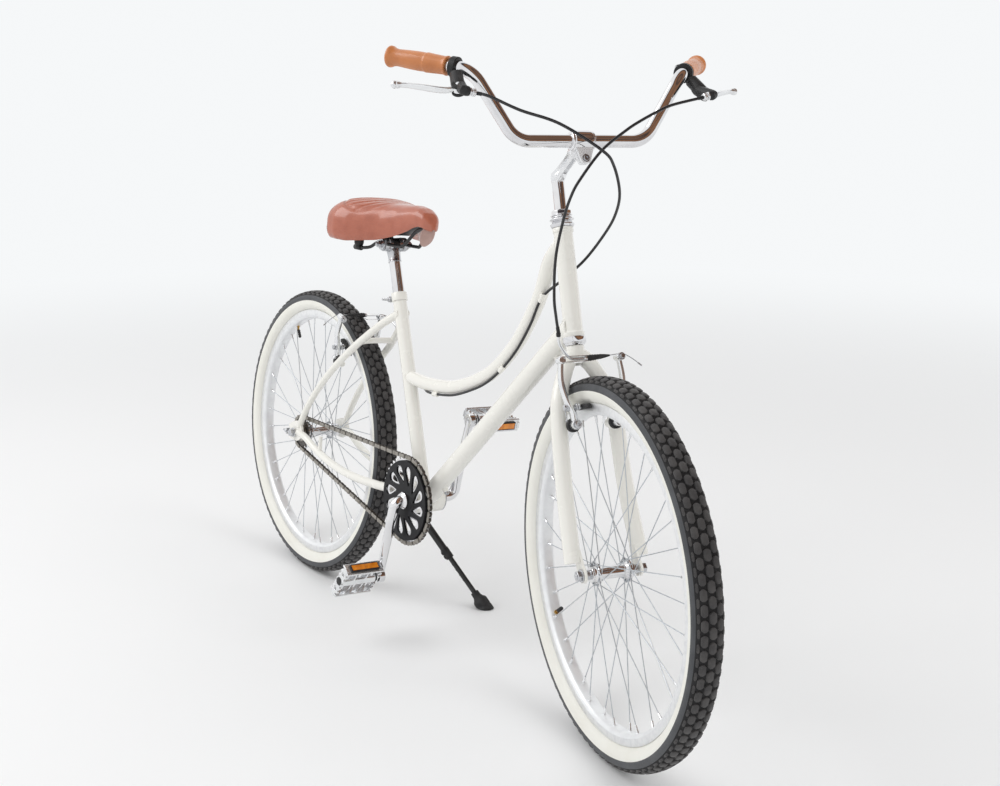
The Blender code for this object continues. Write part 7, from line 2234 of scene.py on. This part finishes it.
    def cable_side(self) -> None:
        """Curved guide with its end cap and link on one arm, and the boot over the wire."""
        side = self.guide_side
        route = flowing([Vector(knot) for knot in self.guide], 0.003)
        start, second = route[0], route[1]
        form = Form().add(tube(route, 0.0026, 20))
        form.add(turned([(-0.0010, 0.0), (-0.0010, 0.0040), (0.0004, 0.0046), (0.0040, 0.0046), (0.0046, 0.0036),
                         (0.0046, 0.0)], 24), 0, aim(start, second - start))
        leave = (route[-1] - route[-2]).normalized()
        cap = [(-0.0070, 0.0), (-0.0070, 0.0034), (-0.0062, 0.0039), (-0.0010, 0.0039), (0.0, 0.0033), (0.0, 0.0)]
        form.add(turned(cap, 24), 1, aim(route[-1], leave))
        arm_top = self.arm_frame(side) @ self.line(side)[-1]
        across = Vector((0.0, side.value, 0.0))
        reach = start.x - arm_top.x
        holder = start + across * 0.0035
        for shift in (-0.0052, 0.0040):
            low = Vector((min(0.0, reach), 0.0, 0.0)) + arm_top
            high = Vector((max(0.0, reach), 0.0, 0.0)) + arm_top
            y0, y1 = sorted((arm_top.y + side.value * 0.0055, holder.y - side.value * 0.0040))
            bottom = arm_top.z + shift
            form.add(block((low.x - 0.0040, y0, bottom), (high.x + 0.0044, y1, bottom + 0.0012)), 0)
        form.add(rod(arm_top + Vector((0, 0, -0.0070)), arm_top + Vector((0, 0, 0.0070)), 0.0030, 16, 0.0004), 2)
        word = side.word
        body = f"{self.name}_arm_{word}_body"
        Piece(f"{self.name}_cable_guide", form, [POLISHED, BLACK_PLASTIC, ZINC], body, "zinc_steel",
              (f"{self.name}_noodle",), bevel=0.0002, place=self.place).build()
        wire_end = self.wire()[0]
        toward = (wire_end - start).normalized()
        length = self.boot_length
        boot: list[Pair] = [(0.0, 0.0), (0.0, 0.0046), (0.0030, 0.0052)]
        for fold in range(5):
            near = 0.0050 + fold * 0.0046
            boot += [(near, 0.0048 - 0.0002 * fold), (near + 0.0023, 0.0056 - 0.0003 * fold)]
        boot += [(0.0280, 0.0040), (0.0330, 0.0034), (length - 0.0020, 0.0019), (length, 0.0014), (length, 0.0)]
        Piece(f"{self.name}_wire_boot", Form().add(turned(boot, 28)), [SOFT_RUBBER], body, "rubber",
              sharp=70.0, place=self.place @ aim(start, toward)).build()

    def wire(self) -> Points:
        """Ends of the bare wire: at the far arm's bolt, and inside the guide."""
        other = self.guide_side.other
        start = Vector(self.guide[0])
        top = self.arm_frame(other) @ self.line(other)[-1]
        return [Vector((start.x, top.y, top.z + 0.0040)), start + Vector((0, self.guide_side.value * 0.001, 0))]

    def wire_side(self) -> None:
        """Bare wire from the guide to the far arm, its tail and its crimped end."""
        other = self.guide_side.other
        anchor, start = self.wire()
        tail = [start, start.lerp(anchor, 0.5), anchor, anchor + Vector((0.0, other.value * 0.012, -0.0045)),
                anchor + Vector((0.0, other.value * 0.024, -0.0125)),
                anchor + Vector((0.0, other.value * 0.036, -0.0225))]
        route = flowing(tail, 0.003)
        form = Form().add(tube(route, 0.0008, 10))
        crimp = (route[-1] - route[-2]).normalized()
        form.add(rod(route[-1] - crimp * 0.0080, route[-1] + crimp * 0.0004, 0.0014, 14, 0.0003), 1)
        Piece(f"{self.name}_bare_wire", form, [SPOKE_STEEL, ZINC], f"{self.name}_arm_{other.word}_body",
              "zinc_steel", place=self.place).build()

    def build(self) -> None:
        """Builds the whole brake."""
        for side in Side:
            self.arm(side)
            self.shoe(side)
        self.pivots()
        self.cable_side()
        self.wire_side()


@dataclass
class Cables:
    """Sheathed brake cables, with the ferrules at their ends."""

    radius: float = 0.0025
    step: float = 0.006
    front_run: tuple = ((0.1010, -0.0758, 0.4300), (0.1110, -0.0800, 0.4620), (0.1240, -0.0760, 0.5243),
                        (0.1400, -0.0626, 0.5833), (0.1572, -0.0523, 0.6188), (0.1637, -0.0359, 0.6449),
                        (0.1724, 0.0040, 0.6901), (0.1778, 0.0498, 0.7225), (0.1763, 0.0809, 0.7400),
                        (0.1750, 0.1123, 0.7550), (0.1739, 0.1433, 0.7676))
    free_run: tuple = ((0.9345, -0.228, 1.0960), (0.975, -0.195, 1.078), (1.018, -0.148, 1.062),
                       (1.043, -0.079, 1.027), (1.035, -0.045, 1.005), (1.006, -0.002, 0.961),
                       (0.967, 0.026, 0.922), (0.925, 0.040, 0.884), (0.880, 0.038, 0.835), (0.852, 0.012, 0.795))
    rear_run: tuple = ((0.468, -0.004, 0.5200), (0.440, 0.009, 0.5180), (0.408, 0.0165, 0.5225),
                       (0.385, 0.0185, 0.5320), (0.368, 0.0185, 0.5500), (0.352, 0.0210, 0.5720),
                       (0.330, 0.0300, 0.5870), (0.290, 0.0450, 0.5960), (0.250, 0.0600, 0.6020))
    tube_span: Pair = (0.490, 0.838)
    split: float = 0.66

    def sheath(self, name: str, route: Points, ends: tuple[bool, bool]) -> bpy.types.Object:
        """Cable as a mesh tube in world coordinates, with a ferrule at each chosen end.

        Args:
            name: the piece's name.
            route: its points in the world.
            ends: whether its start and its end have a ferrule.

        Returns:
            The object.
        """
        form = Form().add(tube(route, self.radius, 16))
        for wanted, end, inner in ((ends[0], route[0], route[1]), (ends[1], route[-1], route[-2])):
            if wanted:
                back = (inner - end).normalized()
                cap = [(-0.0006, 0.0), (-0.0006, 0.0026), (0.0, 0.0031), (0.0090, 0.0031), (0.0096, 0.0026),
                       (0.0096, 0.0)]
                form.add(turned(cap, 20), 1, aim(end, back))
        piece = Piece(name, form, [CABLE_BLACK, BLACK_PLASTIC], "", "black_plastic")
        thing = bpy.data.objects.new(name, piece.mesh())
        bpy.context.scene.collection.objects.link(thing)
        return thing

    def build(self) -> None:
        """Builds the front cable and the two runs of the rear one."""
        front_end = Vector(BRAKES[0].guide[-1])
        knots = [front_end, *self.front_run, COCKPIT.adjuster]
        route = [STEERING @ point for point in flowing(knots, self.step)]
        front = self.sheath("front_cable_sheath", route, (True, True))
        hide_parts("front_brake_cable")
        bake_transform(front)
        log.info("front cable sheath: %.0f mm", 1000 * line_length(route))
        start = BIKE.inverted() @ STEERING @ flip(COCKPIT.adjuster, Side.RIGHT)
        low, high = self.tube_span
        clipped = [point for point in reversed(TUBING.cable_line()) if low < point.x < high]
        knots = [start, *self.free_run, *clipped, *self.rear_run, BRAKES[1].guide[-1]]
        route = flowing(knots, self.step)
        cut = min(range(len(route)), key=lambda index: abs(route[index].x - self.split) + 10.0 * (index < 80))
        world = [BIKE @ point for point in route]
        fore = self.sheath("rear_cable_fore_run", world[:cut + 1], (True, False))
        aft = self.sheath("rear_cable_aft_run", world[cut:], (False, True))
        for thing in (fore, aft):
            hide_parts("rear_brake_cable")
        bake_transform(fore)
        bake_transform(aft)
        log.info("rear cable sheath: %.0f mm", 1000 * line_length(route))


# Seat


@dataclass
class Seat:
    """Padded saddle with its seams, shell, rails, clamp and post."""

    widths: tuple = ((0.1650, 0.010), (0.166, 0.024), (0.169, 0.058), (0.176, 0.088), (0.188, 0.107), (0.205, 0.115),
                     (0.228, 0.113), (0.255, 0.1005), (0.285, 0.0785), (0.315, 0.057), (0.350, 0.0405),
                     (0.385, 0.0305), (0.412, 0.0245), (0.430, 0.0195), (0.438, 0.013), (0.4430, 0.0045))
    tops: tuple = ((0.1650, 0.860), (0.166, 0.863), (0.172, 0.876), (0.190, 0.892), (0.215, 0.9004), (0.245, 0.9000),
                   (0.285, 0.8945), (0.320, 0.8900), (0.350, 0.8905), (0.385, 0.8915), (0.408, 0.8880),
                   (0.427, 0.8790), (0.437, 0.8690), (0.4430, 0.8580))
    skirts: tuple = ((0.1650, 0.847), (0.166, 0.844), (0.176, 0.826), (0.200, 0.8075), (0.250, 0.805), (0.310, 0.813),
                     (0.350, 0.825), (0.385, 0.8385), (0.402, 0.8475), (0.416, 0.8515), (0.428, 0.8505),
                     (0.437, 0.8455), (0.4430, 0.8440))
    ends: tuple = (0.1650, 0.4430)
    side_power: float = 0.94
    recess: float = 0.22
    shell_gap: float = 0.0030
    thread_radius: float = 0.00042
    seam_stations: Pair = (0.197, 0.203)
    panel: tuple = (0.242, 0.064, 0.087)
    lines: tuple = (0.198, 0.2155, 0.233, 0.2505, 0.268, 0.2855)
    rail_height: float = 0.804
    rail_rear: float = 0.7875
    rail_out: float = 0.022
    post_out: float = 0.108
    post_radius: float = 0.0127

    def at(self, table: tuple, x: float) -> float:
        """Value of one of the saddle's tables, its corners eased."""
        reach = min(0.006, max(0.0004, min(x - self.ends[0], self.ends[1] - x)))
        return eased(list(table), x, reach)

    def station(self, x: float) -> tuple[float, float, float]:
        """Half width, height of the skirt's edge and rise above it."""
        width, top, skirt = (self.at(table, x) for table in (self.widths, self.tops, self.skirts))
        return width, skirt, top - skirt

    @staticmethod
    def inner(width: float) -> float:
        """Half width of the opening below, where the shell sits."""
        return max(width * 0.80 - 0.004, width * 0.4)

    def dish(self, x: float, y: float) -> float:
        """How far the sewn panel lies below the cushion at a point of its top."""
        middle, long_half, wide_half = self.panel
        oval = math.hypot((x - middle) / long_half, y / wide_half)
        depth = 0.0036 * math.exp(-((oval - 1.0) / 0.06) ** 2)
        if oval < 1.0:
            depth += 0.0042 * (1.0 - oval ** 4)
            for line in self.lines:
                depth += 0.0032 * math.exp(-((x - self.bend(line, y)) / 0.0022) ** 2)
        return depth

    @staticmethod
    def bend(line: float, y: float) -> float:
        """Station of a sewn line away from the middle."""
        return line - 3.4 * y * y

    def crown(self, x: float, angle: float) -> Pair:
        """Half width and height of the crown at a station.

        Args:
            x: the station.
            angle: from 0 at the middle to a right angle at the side.

        Returns:
            The point's Y and Z.
        """
        width, skirt, rise = self.station(x)
        y = width * math.sin(angle) ** self.side_power
        z = skirt + rise * (0.29 + 0.71 * max(math.cos(angle), 0.0) ** 0.78)
        fuller = 0.0012 * math.sin(2.0 * angle)
        seam = 0.0
        if 0.185 < x < 0.215 and angle > 0.9:
            seam = 0.0008 * sum(math.exp(-((x - at) / 0.0013) ** 2) for at in self.seam_stations)
        return y + fuller - seam, z + fuller - self.dish(x, y) * math.cos(angle) ** 0.5

    def section(self, x: float, crown_steps: int = 46) -> list[tuple]:
        """Closed outline of the cushion at a station."""
        width, skirt, rise = self.station(x)
        half = []
        for step in range(crown_steps + 1):
            half.append(self.crown(x, math.pi / 2 * (step / crown_steps)))
        roll = [(width * 1.002, skirt + rise * 0.22), (width * 0.994, skirt + rise * 0.15),
                (width * 0.980, skirt + rise * 0.09), (width * 0.955, skirt + rise * 0.03),
                (width * 0.925, skirt - 0.0004), (width * 0.895, skirt + rise * 0.01),
                (width * 0.870, skirt + rise * 0.06)]
        half += roll + [(self.inner(width), skirt + rise * self.recess)]
        left = [(x, y, z) for y, z in half]
        right = [(x, -y, z) for y, z in reversed(half[1:])]
        return left + [(x, 0.0, half[-1][1])] + right

    def cover(self) -> None:
        """The padded cover, fine enough to show its seams."""
        (first, last), count = self.ends, 150
        stations = []
        for step in range(count + 1):
            share = step / count
            stations.append(first + (last - first) * (share - 0.55 * math.sin(math.tau * share) / math.tau))
        form = Form().add(lofted([self.section(x) for x in stations]))
        thing = Piece("padded_saddle_cover", form, [TAN_HIDE], "seat_body", "tan_leatherette", ("saddle_cover",),
                      sharp=80.0, place=BIKE).build()

    def on_top(self, x: float, y: float, lift: float) -> Vector:
        """Point of the cover above a place, raised by a lift."""
        width = self.at(self.widths, x)
        angle = math.asin(min(1.0, (abs(y) / width)) ** (1.0 / self.side_power))
        return Vector((x, y, self.crown(x, angle)[1] + lift))

    def seams(self) -> None:
        """Sewn thread along the panel's edge, its lines and the rear side seams."""
        middle, long_half, wide_half = self.panel
        routes = []
        ring = [self.on_top(middle + long_half * 1.05 * math.cos(a), wide_half * 1.05 * math.sin(a), 0.0002)
                for a in (math.tau * k / 96 for k in range(97))]
        routes.append(ring)
        for line in self.lines:
            route = []
            for step in range(81):
                y = -wide_half + 2.0 * wide_half * step / 80
                x = self.bend(line, y)
                if math.hypot((x - middle) / long_half, y / wide_half) < 0.95:
                    route.append(self.on_top(x, y, 0.0002))
            if len(route) > 4:
                routes.append(route)
        for side in Side:
            for station in self.seam_stations:
                route = []
                for step in range(30):
                    y, z = self.crown(station, 1.0 + (math.pi / 2 - 1.0) * step / 29)
                    route.append(Vector((station, side.value * (y + 0.0002), z)))
                width, skirt, rise = self.station(station)
                for share, reach in ((0.22, 1.002), (0.15, 0.994), (0.09, 0.980)):
                    route.append(Vector((station, side.value * (width * reach + 0.0002), skirt + rise * share)))
                routes.append(route)
        form = Form()
        for route in routes:
            even = flowing(route, 0.0008)
            for index in range(0, len(even) - 4, 5):
                form.add(tube(even[index:index + 4], self.thread_radius, 6))
        Piece("saddle_thread", form, [TAN_SEAM], "seat_body", "tan_leatherette", place=BIKE).build()

    def tongue(self) -> None:
        """Loose tongue of cover material hanging under the nose."""
        spine = [(0.4270, 0.8560, 0.0125), (0.4255, 0.8480, 0.0150), (0.4232, 0.8400, 0.0168), (0.4202, 0.8320, 0.0172),
                 (0.4168, 0.8240, 0.0160), (0.4130, 0.8170, 0.0128), (0.4105, 0.8125, 0.0080), (0.4092, 0.8100, 0.0030)]
        sections = []
        for x, z, half in spine:
            ring = []
            for step in range(9):
                share = -1.0 + step / 4.0
                ring.append((x + 0.0022 * (1.0 - share * share), share * half, z))
            ring += [(x + 0.0010 + 0.0022 * (1.0 - share * share), share * half, z + 0.0004)
                     for share in (1.0 - step / 4.0 for step in range(9))]
            sections.append(ring)
        Piece("saddle_nose_tongue", Form().add(lofted(sections)), [TAN_UNDER], "seat_body", "tan_leatherette",
              levels=1, place=BIKE).build()

    def floor(self, x: float) -> float:
        """Height of the shell's under side at a station."""
        _, skirt, rise = self.station(x)
        return skirt + rise * self.recess - 0.0046

    def shell(self) -> None:
        """Ribbed plastic shell closing the cushion from below."""
        rings = []
        for step in range(60):
            x = 0.181 + (0.4275 - 0.181) * step / 59
            width = self.at(self.widths, x)
            half = self.inner(width) - self.shell_gap
            low = self.floor(x)
            rings.append([(x, half, low + 0.0006), (x, half, low + 0.0042), (x, -half, low + 0.0042),
                          (x, -half, low + 0.0006), (x, -half * 0.96, low), (x, half * 0.96, low)])
        form = Form().add(lofted(rings))
        for y in (-0.030, -0.010, 0.010, 0.030):
            route = [(x, y, self.floor(x) - 0.0006) for x in (0.200, 0.225, 0.250, 0.275, 0.300)]
            form.add(tube(route, 0.0016, 8))
        Piece("saddle_shell", form, [BLACK_PLASTIC], "seat_body", "black_plastic", ("saddle_base",),
              place=BIKE).build()

    def rails(self) -> None:
        """Bent black rails joined at the nose, with their sockets."""
        nose, rear, height, out = self.floor(0.425) - 0.0038, self.rail_rear, self.rail_height, self.rail_out
        form = Form()
        half = [(0.196, 0.036, rear), (0.214, 0.0355, rear), (0.240, 0.0280, rear + 0.0045), (0.262, out, height),
                (0.300, out, height), (0.345, out, height), (0.364, 0.0200, height + 0.004),
                (0.400, 0.0130, nose - 0.008), (0.425, 0.0085, nose)]
        left = [Vector(knot) for knot in half]
        loop = left + [Vector((0.4295, 0.0, nose))] + [flip(knot, Side.RIGHT) for knot in reversed(left)]
        form.add(tube(flowing(loop, 0.004), 0.0035, 20))
        form.add(rod((0.424, -0.012, nose + 0.0010), (0.424, 0.012, nose + 0.0010), 0.0050, 20, 0.001), 1)
        Piece("bent_rails", form, [BLACK_SATIN, BLACK_PLASTIC], "seat_body", "black_paint", ("saddle_rails",),
              place=BIKE).build()
        for side in Side:
            low = flip(Vector((0.2050, 0.0360, self.floor(0.2050) + 0.0006)), side)
            drop = low.z - rear - 0.0030
            profile = [(0.0, 0.0), (0.0, 0.0102), (0.10, 0.0110), (0.16, 0.0098), (0.24, 0.0094), (0.32, 0.0108),
                       (0.40, 0.0114), (0.48, 0.0104), (0.56, 0.0094), (0.64, 0.0104), (0.80, 0.0102), (0.94, 0.0088),
                       (1.0, 0.0070), (1.0, 0.0)]
            turn = turned([(share * drop, radius) for share, radius in profile], 36)
            socket = rod(flip((0.1900, 0.0361, rear), side), flip((0.2160, 0.0353, rear), side), 0.0060, 20, 0.0012)
            place = aim(low, Vector((0, 0, -1)))
            form = Form().add(turn, 0, place).add(socket, 1)
            Piece(f"elastomer_bumper_{side.word}", form, [SOFT_RUBBER, BLACK_PLASTIC], "seat_body", "rubber",
                  (f"saddle_bumper_{side.word}",), sharp=50.0, place=BIKE).build()

    def clamp(self) -> None:
        """Serrated two-bolt-end clamp over the post, with its nuts."""
        top = TUBING.seat_top + TUBING.seat_axis * self.post_out
        form = Form()
        sleeve = [(-0.0240, self.post_radius), (-0.0240, 0.0132), (-0.0234, 0.0137), (-0.0214, 0.0137),
                  (-0.0206, 0.0132), (-0.0120, 0.0132), (-0.0040, 0.0140), (0.0030, 0.0149), (0.0060, 0.0140),
                  (0.0066, 0.0100), (0.0066, 0.0)]
        form.add(turned(sleeve, 44), 0, aim(top, TUBING.seat_axis))
        centre = Matrix.Translation((top.x - 0.001, 0.0, self.rail_height - 0.001))
        teeth = [(0.0150 * s * math.cos(a), 0.0150 * s * math.sin(a))
                 for k in range(72) for s, a in ((1.0 if k % 2 else 0.93, math.tau * k / 72),)]
        small = [(0.9 * x, 0.9 * z) for x, z in teeth]
        for side in Side:
            for outline, near, far in ((circle(0.0142, 40), 0.0080, 0.0150), (teeth, 0.0150, 0.0178),
                                       (circle(0.0148, 40), 0.0182, 0.0262), (small, 0.0266, 0.0290),
                                       (circle(0.0120, 40), 0.0290, 0.0318)):
                form.add(plate(outline, *span(side, near, far)), 0, centre)
            sign = side.value
            form.add(disc(0.0318, 0.0330, 0.0088, 32, sign), 0, centre)
            nut = [(0.0330, 0.0), (0.0330, 0.0074), (0.0338, 0.0080), (0.0390, 0.0080), (0.0398, 0.0072),
                   (0.0398, 0.0)]
            form.add(turned(signed(nut, sign), 6), 0, centre)
            for index in range(4):
                near = 0.0402 + index * 0.0008
                ridge = [(near, 0.0), (near, 0.0038), (near + 0.0004, 0.0042), (near + 0.0007, 0.0038),
                         (near + 0.0007, 0.0)]
                form.add(turned(signed(ridge, sign), 20), 0, centre)
        form.add(rod((0, -0.0430, 0), (0, 0.0430, 0), 0.0038, 20, 0.0006), 0, centre)
        form.add(plate(circle(0.0136, 36), -0.0080, 0.0080), 1, centre)
        Piece("serrated_seat_clamp", form, [ZINC, BLACK_SATIN], "seat_body", "zinc_steel", ("seat_clamp",),
              bevel=0.0003, place=BIKE).build()
        post = rod(TUBING.seat_top - TUBING.seat_axis * 0.110, top, self.post_radius, 44, 0.0006)
        Piece("chrome_seat_post", Form().add(post), [CHROME], "seat_body", "chrome", ("seat_post",),
              place=BIKE).build()

    def build(self) -> None:
        """Builds the whole seat."""
        self.cover()
        self.seams()
        self.tongue()
        self.shell()
        self.rails()
        self.clamp()


# Stand


@dataclass
class Stand:
    """Side stand: bracket on the stay, hinged leg, sliding rod and rubber foot."""

    hinge: Vector = field(default_factory=lambda: Vector((0.3045, 0.0538, 0.2648)))
    foot: Vector = field(default_factory=lambda: Vector((0.4536, 0.1931, 0.0248)))
    folded: Vector = field(default_factory=lambda: Vector((-0.975, 0.195, 0.10)))
    tube_radius: float = 0.0080
    rod_radius: float = 0.0055
    tube_length: float = 0.185

    def __post_init__(self) -> None:
        """Works out the leg's frame."""
        self.down = (self.foot - self.hinge).normalized()
        self.axis = self.down.cross(self.folded.normalized()).normalized()
        self.length = (self.foot - self.hinge).length
        self.leg_place = BIKE @ axes(self.axis.cross(self.down), self.axis, self.down, self.hinge)

    def bracket(self) -> None:
        """Clamp round the stay with its bolt, cheek plate and hinge pin."""
        stay = TUBING.chain_stay(Side.LEFT)
        near = min(stay, key=lambda point: abs(point.x - self.hinge.x))
        index = stay.index(near)
        along = (stay[index + 1] - stay[index - 1]).normalized()
        form = Form()
        sleeve = both_ways([(0.0170, 0.0095), (0.0170, 0.0134), (0.0158, 0.0146), (0.0010, 0.0148), (0.0006, 0.0140)])
        form.add(turned(sleeve, 40, True), 0, aim(near, along))
        form.add(rod(near, self.hinge - self.axis * 0.0085, 0.0085, 28))
        cheek = [(-0.0130, 0.0), (-0.0130, 0.0112), (-0.0120, 0.0122), (-0.0053, 0.0122), (-0.0046, 0.0116),
                 (-0.0046, 0.0)]
        form.add(turned(cheek, 36), 0, aim(self.hinge, self.axis))
        bolt = near + Vector((0.0, 0.0, -0.0130))
        form.add(rod(bolt + Vector((0, -0.012, 0)), bolt + Vector((0, 0.012, 0)), 0.0026, 16, 0.0004), 1)
        pin = [(-0.0145, 0.0), (-0.0145, 0.0050), (-0.0138, 0.0056), (-0.0128, 0.0056), (-0.0128, 0.0034),
               (0.0090, 0.0034), (0.0090, 0.0058), (0.0104, 0.0058), (0.0110, 0.0048), (0.0110, 0.0)]
        form.add(turned(pin, 28), 1, aim(self.hinge, self.axis))
        Piece("stay_clamp_bracket", form, [BLACK_SATIN, ZINC], "frame_body", "black_paint", ("stand_bracket",),
              bevel=0.0004, place=BIKE).build()

    def leg(self) -> None:
        """Hinged leg with its eye, shank and two-lug button."""
        form = Form()
        eye = [(-0.0041, 0.0040), (-0.0041, 0.0108), (-0.0033, 0.0118), (0.0067, 0.0118), (0.0075, 0.0108),
               (0.0075, 0.0040)]
        form.add(turned(eye, 40, True))
        sections = []
        for z, wide, thick, middle in ((0.006, 0.0092, 0.0052, 0.0017), (0.014, 0.0088, 0.0056, 0.0016),
                                       (0.022, 0.0084, 0.0070, 0.0010), (0.030, 0.0084, 0.0084, 0.0),
                                       (0.038, 0.0081, 0.0081, 0.0), (0.044, 0.0080, 0.0080, 0.0)):
            sections.append([(wide * u, middle + thick * v, z) for u, v in circle(1.0, 32)])
        form.add(lofted(sections))
        end = self.tube_length
        tail = [(0.040, 0.0), (0.040, self.tube_radius), (end - 0.0012, self.tube_radius),
                (end, self.tube_radius - 0.0010), (end, 0.0)]
        form.add(turned(tail, 36), 0, Y_TO_Z)
        sleeve = [(end - 0.026, self.tube_radius), (end - 0.025, 0.0092), (end - 0.0014, 0.0092),
                  (end - 0.0002, 0.0084), (end - 0.0002, self.tube_radius)]
        form.add(turned(sleeve, 36), 1, Y_TO_Z)
        for shift in (-0.0050, 0.0050):
            spot = aim(Vector((0.0, -0.0070, end - 0.0130 + shift)), Vector((0, -1, 0)))
            knob = [(0.0, 0.0), (0.0, 0.0046), (0.0022, 0.0046), (0.0034, 0.0038), (0.0040, 0.0024), (0.0040, 0.0)]
            form.add(turned(knob, 24), 1, spot)
        Piece("hinged_leg", form, [BLACK_SATIN, BLACK_PLASTIC], "stand_leg_body", "black_paint", ("stand_leg",),
              bevel=0.0003, place=self.leg_place).build()

    def lower(self) -> None:
        """Sliding rod with its adjusting holes, and the foot that lies flat on the floor."""
        form = Form().add(rod((0, 0, 0.070), (0, 0, self.length - 0.004), self.rod_radius, 32))
        for index in range(4):
            spot = aim(Vector((0.0, -self.rod_radius + 0.0004, 0.200 + 0.014 * index)), Vector((0, -1, 0)))
            form.add(turned([(0.0, 0.0), (0.0, 0.0018), (0.0007, 0.0022), (0.0007, 0.0014), (0.0002, 0.0012),
                             (0.0002, 0.0)], 16), 0, spot)
        Piece("sliding_rod", form, [BLACK_SATIN], "stand_lower_body", "black_paint", ("stand_lower_leg",),
              place=self.leg_place).build()
        floor_up = (self.leg_place.to_3x3().inverted() @ Vector((0, 0, 1))).normalized()
        down = Vector((0, 0, 1))
        end = down * (self.length + 0.004)
        rings = []
        table = ((0.0420, 0.0078), (0.0412, 0.0088), (0.0390, 0.0091), (0.0350, 0.0091), (0.0340, 0.0096),
                 (0.0330, 0.0091), (0.0295, 0.0098), (0.0250, 0.0122), (0.0215, 0.0152), (0.0190, 0.0163))
        for back, radius in table:
            rings.append([tuple(end - down * back + Vector((radius * u, radius * v, 0))) for u, v in circle(1.0, 40)])
        base = [Vector(point) for point in rings[-1]]
        drops = [(end - point).dot(floor_up) / down.dot(floor_up) for point in base]
        for share, grow in ((0.45, 1.0), (0.50, 0.95), (0.58, 0.95), (0.63, 1.0), (0.94, 1.0), (1.0, 0.97)):
            ring = []
            for point, drop in zip(base, drops):
                axis_point = Vector((0.0, 0.0, point.z))
                spot = axis_point + (point - axis_point) * grow
                reach = (end - spot).dot(floor_up) / down.dot(floor_up)
                ring.append(tuple(spot + down * (drop * share if share < 1.0 else reach)))
            rings.append(ring)
        Piece("flared_foot", Form().add(lofted(rings)), [SOFT_RUBBER], "stand_lower_body", "rubber", ("stand_foot",),
              sharp=50.0, place=self.leg_place).build()

    def build(self) -> None:
        """Builds the whole stand."""
        self.bracket()
        self.leg()
        self.lower()


COCKPIT = Cockpit()
BRAKES = [
    Brake("front", "steering_body", STEERING, 0.0175, Side.RIGHT,
          ((0.0662, -0.0120, 0.3620), (0.0662, -0.0360, 0.3622), (0.0680, -0.0460, 0.3665), (0.0765, -0.0590, 0.3775),
           (0.0865, -0.0690, 0.3895), (0.0950, -0.0718, 0.4046)), Vector((FRAMES.fork_offset, 0.0, 0.0))),
    Brake("rear", "frame_body", BIKE, 0.0115, Side.LEFT,
          ((0.1570, 0.0155, 0.6320), (0.1570, 0.0440, 0.6322), (0.1573, 0.0570, 0.6320), (0.1630, 0.0665, 0.6300),
           (0.1760, 0.0705, 0.6250), (0.1960, 0.0715, 0.6160), (0.2160, 0.0690, 0.6080)),
          Vector((0.0, 0.0, FRAMES.tyre_radius)), arm_height=0.101)]


def main() -> None:
    """Builds the studio and every sub-assembly in order."""
    logging.basicConfig(level=logging.INFO, format="%(name)s: %(message)s")
    Studio().build()
    TUBING.build()
    Bearings().build()
    front_place = FRAMES.wheel("front_wheel_spin", STEERING)
    rear_place = FRAMES.wheel("rear_wheel_spin", BIKE)
    Axle("front_wheel_axle", "front_axle", "steering_body", front_place, 0.050, 0.0045, 0.0665, 0.0390).build()
    Axle("rear_wheel_axle", "rear_axle", "frame_body", rear_place, 0.0575, 0.0080, 0.073, 0.0495, True).build()
    Wheel("front", "front_wheel_body", front_place, (-0.029, 0.029), 0.0390, 0.0135, math.radians(198.0)).build()
    Wheel("rear", "rear_wheel_body", rear_place, (-0.0265, 0.030), 0.0495, 0.0150, math.radians(120.4)).build()
    DRIVE.build()
    Pedal(Side.RIGHT, math.radians(-62.0)).build()
    Pedal(Side.LEFT, math.radians(-2.0)).build()
    Fork().build()
    COCKPIT.build()
    for brake in BRAKES:
        brake.build()
    Cables().build()
    Seat().build()
    Stand().build()


if __name__ == "__main__":
    main()
